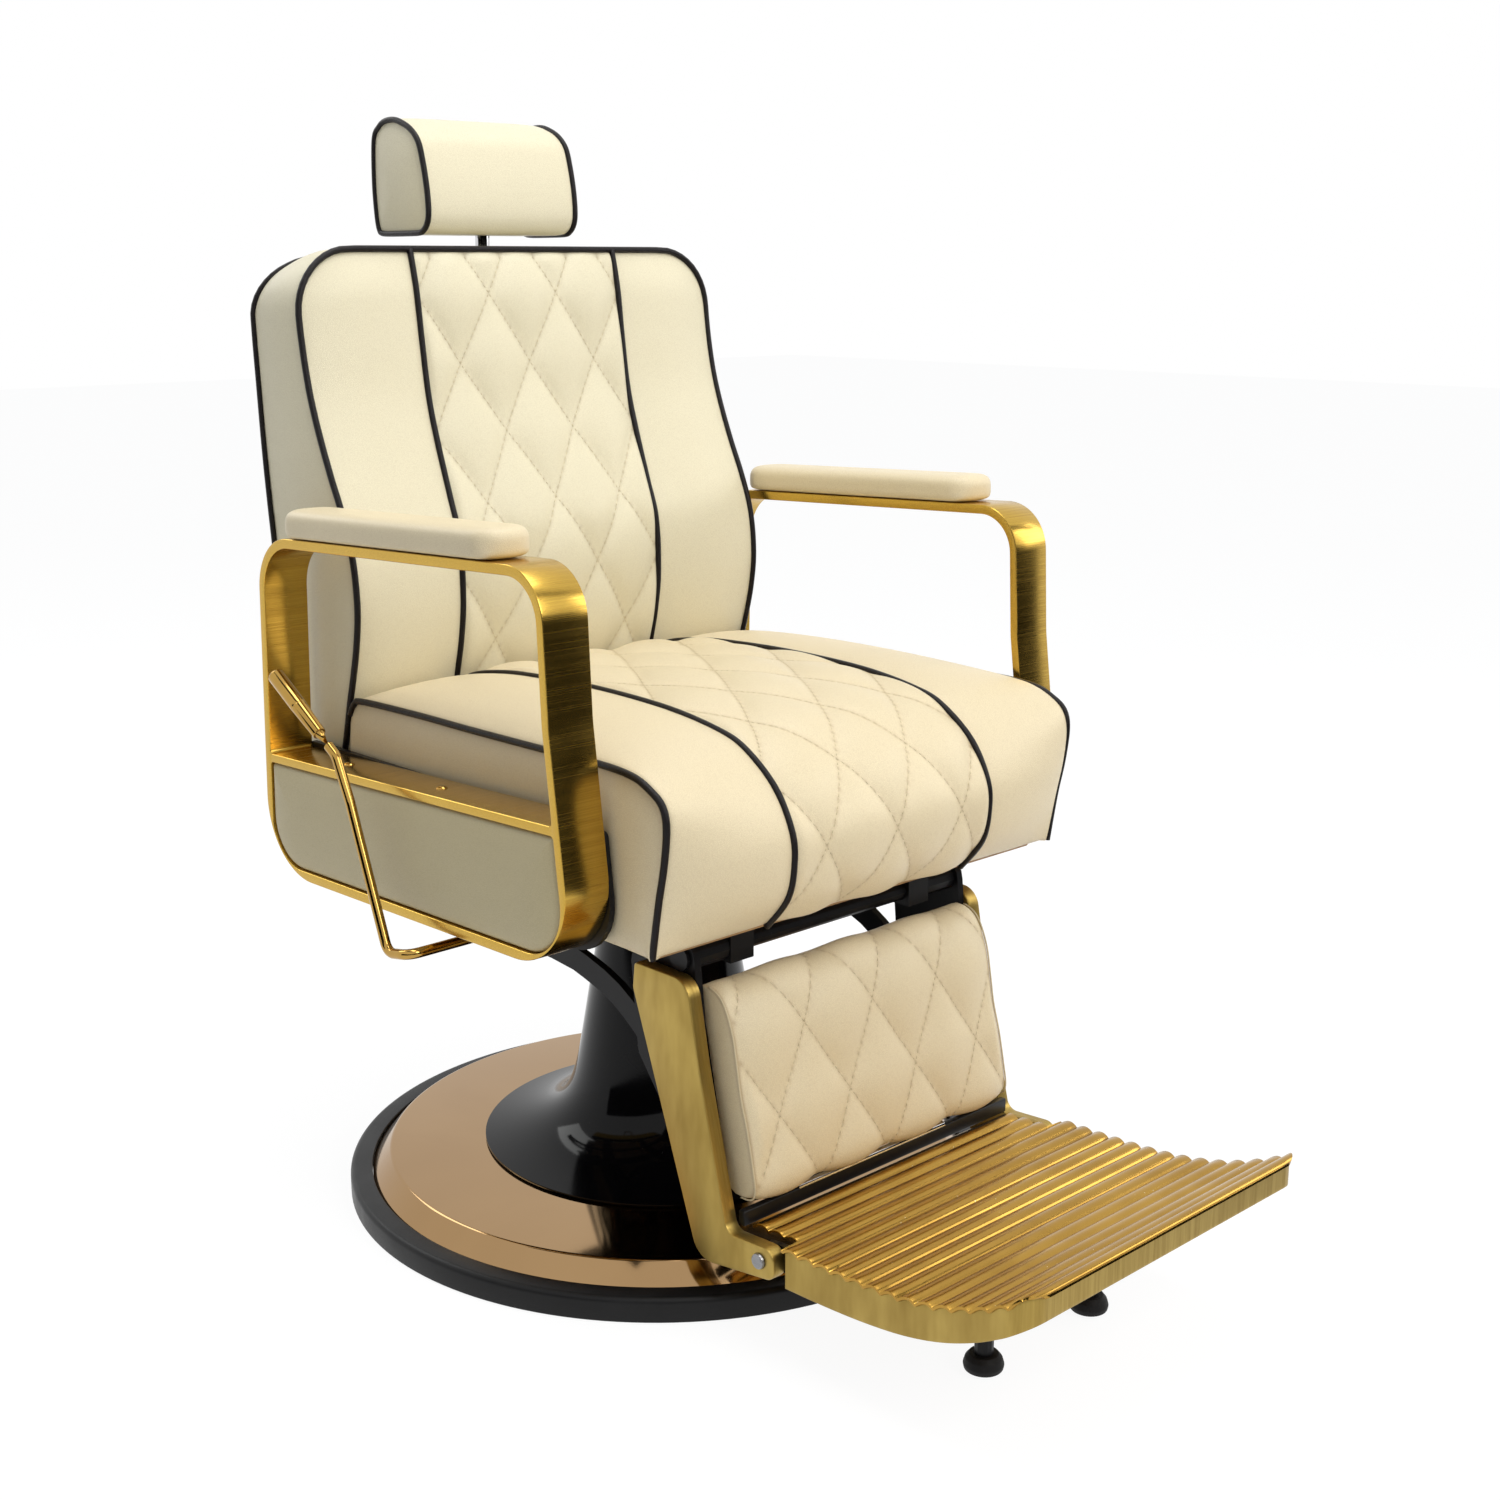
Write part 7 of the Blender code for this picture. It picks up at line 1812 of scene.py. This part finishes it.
@dataclass
class Studio:
    """The pale floor, the soft lamps, the dark cards that metal reflects, and the camera."""

    eye: tuple[float, float, float] = (-1.3669, -1.5738, 0.9847)
    forward: tuple[float, float, float] = (0.6694, 0.7064, -0.2297)
    lens: float = 48.27
    shift: Point2 = (-0.0003, -0.0101)

    def build_camera(self) -> None:
        """Set the camera where the photograph was taken."""
        view = bpy.data.cameras.new("photograph_view")
        view.lens, view.sensor_width = self.lens, 36.0
        view.shift_x, view.shift_y = self.shift
        view.clip_start, view.clip_end = 0.05, 40.0
        holder = bpy.data.objects.new("photograph_view", view)
        holder.location = self.eye
        holder.rotation_euler = Vector(self.forward).to_track_quat("-Z", "Y").to_euler()
        bpy.context.scene.collection.objects.link(holder)
        bpy.context.scene.camera = holder

    def see_white(self, tree: bpy.types.NodeTree) -> bpy.types.NodeSocket:
        """Tell camera, glossy and transmission rays from the rest."""
        path = tree.nodes.new("ShaderNodeLightPath")
        total = path.outputs["Is Camera Ray"]
        for title in ("Is Glossy Ray", "Is Transmission Ray"):
            add = tree.nodes.new("ShaderNodeMath")
            add.operation = "ADD"
            add.use_clamp = True
            tree.links.new(total, add.inputs[0])
            tree.links.new(path.outputs[title], add.inputs[1])
            total = add.outputs[0]
        return total

    def build_world(self) -> None:
        """Light the room evenly and keep its walls white."""
        world = bpy.data.worlds.new("studio_room")
        world.use_nodes = True
        bpy.context.scene.world = world
        tree = world.node_tree
        room = tree.nodes["Background"]
        room.inputs["Color"].default_value = (0.93, 0.96, 1.0, 1.0)
        room.inputs["Strength"].default_value = 0.40
        wall = tree.nodes.new("ShaderNodeBackground")
        wall.inputs["Color"].default_value = (1.0, 1.0, 1.0, 1.0)
        wall.inputs["Strength"].default_value = 1.0
        mix = tree.nodes.new("ShaderNodeMixShader")
        tree.links.new(self.see_white(tree), mix.inputs["Fac"])
        tree.links.new(room.outputs[0], mix.inputs[1])
        tree.links.new(wall.outputs[0], mix.inputs[2])
        tree.links.new(mix.outputs[0], tree.nodes["World Output"].inputs["Surface"])

    def build_floor(self) -> None:
        """Lay the pale floor, which keeps a soft shadow."""
        bm = bmesh.new()
        bmesh.ops.create_grid(bm, x_segments=1, y_segments=1, size=14.0)
        bmesh.ops.translate(bm, vec=(0.0, 0.0, -0.0005), verts=bm.verts)
        mesh = bpy.data.meshes.new("studio_floor")
        bm.to_mesh(mesh)
        bm.free()
        floor = bpy.data.objects.new("studio_floor", mesh)
        bpy.context.scene.collection.objects.link(floor)
        paint = bpy.data.materials.new("studio_floor_paint")
        paint.use_nodes = True
        tree = paint.node_tree
        shader = tree.nodes["Principled BSDF"]
        shader.inputs["Base Color"].default_value = (0.86, 0.86, 0.86, 1.0)
        shader.inputs["Roughness"].default_value = 0.9
        shader.inputs["Specular IOR Level"].default_value = 0.0
        glow = tree.nodes.new("ShaderNodeEmission")
        glow.inputs["Strength"].default_value = 1.08
        share = tree.nodes.new("ShaderNodeMath")
        share.operation = "MULTIPLY"
        share.inputs[1].default_value = 0.86
        tree.links.new(self.see_white(tree), share.inputs[0])
        mix = tree.nodes.new("ShaderNodeMixShader")
        tree.links.new(share.outputs[0], mix.inputs["Fac"])
        tree.links.new(shader.outputs[0], mix.inputs[1])
        tree.links.new(glow.outputs[0], mix.inputs[2])
        tree.links.new(mix.outputs[0], tree.nodes["Material Output"].inputs["Surface"])
        mesh.materials.append(paint)
        floor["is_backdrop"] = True

    def build_lamps(self) -> None:
        """Hang the soft lamps round the chair."""
        for name, spot, size, power, colour in (
                ("key", (0.0, -3.0, 2.4), 1.6, 48.0, (1.0, 0.98, 0.94)),
                ("top", (0.0, -0.2, 3.0), 1.6, 34.0, (1.0, 1.0, 1.0)),
                ("fill", (2.6, -1.6, 1.7), 1.4, 18.0, (1.0, 0.98, 0.96)),
                ("rear", (-0.8, 3.0, 2.8), 1.6, 24.0, (0.98, 1.0, 0.98))):
            lamp = bpy.data.lights.new(f"{name}_lamp", "AREA")
            lamp.shape, lamp.size, lamp.energy, lamp.color = "SQUARE", size, power, colour
            holder = bpy.data.objects.new(f"{name}_lamp", lamp)
            holder.location = spot
            aim = Vector((0.0, 0.0, 0.5)) - Vector(spot)
            holder.rotation_euler = aim.to_track_quat("-Z", "Y").to_euler()
            bpy.context.scene.collection.objects.link(holder)

    def build_cards(self) -> None:
        """Stand dark cards that only reflections see."""
        paint = bpy.data.materials.new("studio_card_paint")
        paint.use_nodes = True
        shader = paint.node_tree.nodes["Principled BSDF"]
        shader.inputs["Base Color"].default_value = (0.006, 0.005, 0.004, 1.0)
        shader.inputs["Roughness"].default_value = 1.0
        shader.inputs["Specular IOR Level"].default_value = 0.0
        for number, (low, high) in enumerate((
                ((-3.6, -3.6, 0.0), (3.4, -3.55, 1.5)),
                ((-3.6, -3.5, 0.0), (-3.55, 1.6, 1.4)),
                ((-0.15, -1.77, 0.0), (2.7, -1.75, 0.78)),
                ((0.1, -1.30, 1.98), (2.7, -1.02, 2.0)),
                ((-1.9, -1.2, 3.2), (-1.2, 1.2, 3.25)),
                ((0.3, -1.75, 0.001), (2.7, -0.95, 0.004)))):
            bm = bmesh.new()
            size, middle = Vector(high) - Vector(low), (Vector(high) + Vector(low)) / 2
            bmesh.ops.create_cube(bm, size=1.0, matrix=Matrix.Translation(middle) @ Matrix.Diagonal((*size, 1.0)))
            mesh = bpy.data.meshes.new(f"studio_card_{number}")
            bm.to_mesh(mesh)
            bm.free()
            mesh.materials.append(paint)
            card = bpy.data.objects.new(f"studio_card_{number}", mesh)
            bpy.context.scene.collection.objects.link(card)
            card.visible_camera = card.visible_diffuse = card.visible_shadow = False
            card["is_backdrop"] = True

    def build(self) -> None:
        """Build the whole studio."""
        self.build_world()
        self.build_floor()
        self.build_lamps()
        self.build_cards()
        bpy.context.scene.view_settings.view_transform = "Standard"


def write_sizes(before: object, after: object) -> None:
    """Log the frame's box and the dressed model's box.

    Args:
        before: The frame's bounds.
        after: The dressed model's bounds.
    """
    boxes = {title: [[float(x) for x in corner] for corner in box] for title, box in (("cad", before), ("visual", after))}
    LOG.info("boxes %s", boxes)


def main() -> None:
    """Load the frame, build the chair's looks and set the studio."""
    logging.basicConfig(level=logging.INFO, format="%(name)s: %(message)s")
    studio = Studio()
    studio.build_camera()
    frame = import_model()
    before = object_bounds()
    finish_nodes(frame["nodes"])
    Base().build()
    SeatPad().build()
    BackPad().build()
    HeadrestPad().build()
    CalfPad().build()
    for side in Side:
        Armrest(side).build()
    LegRest().build()
    Footplate().build()
    Lever().build()
    studio.build()
    write_sizes(before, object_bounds())


if __name__ == "__main__":
    main()
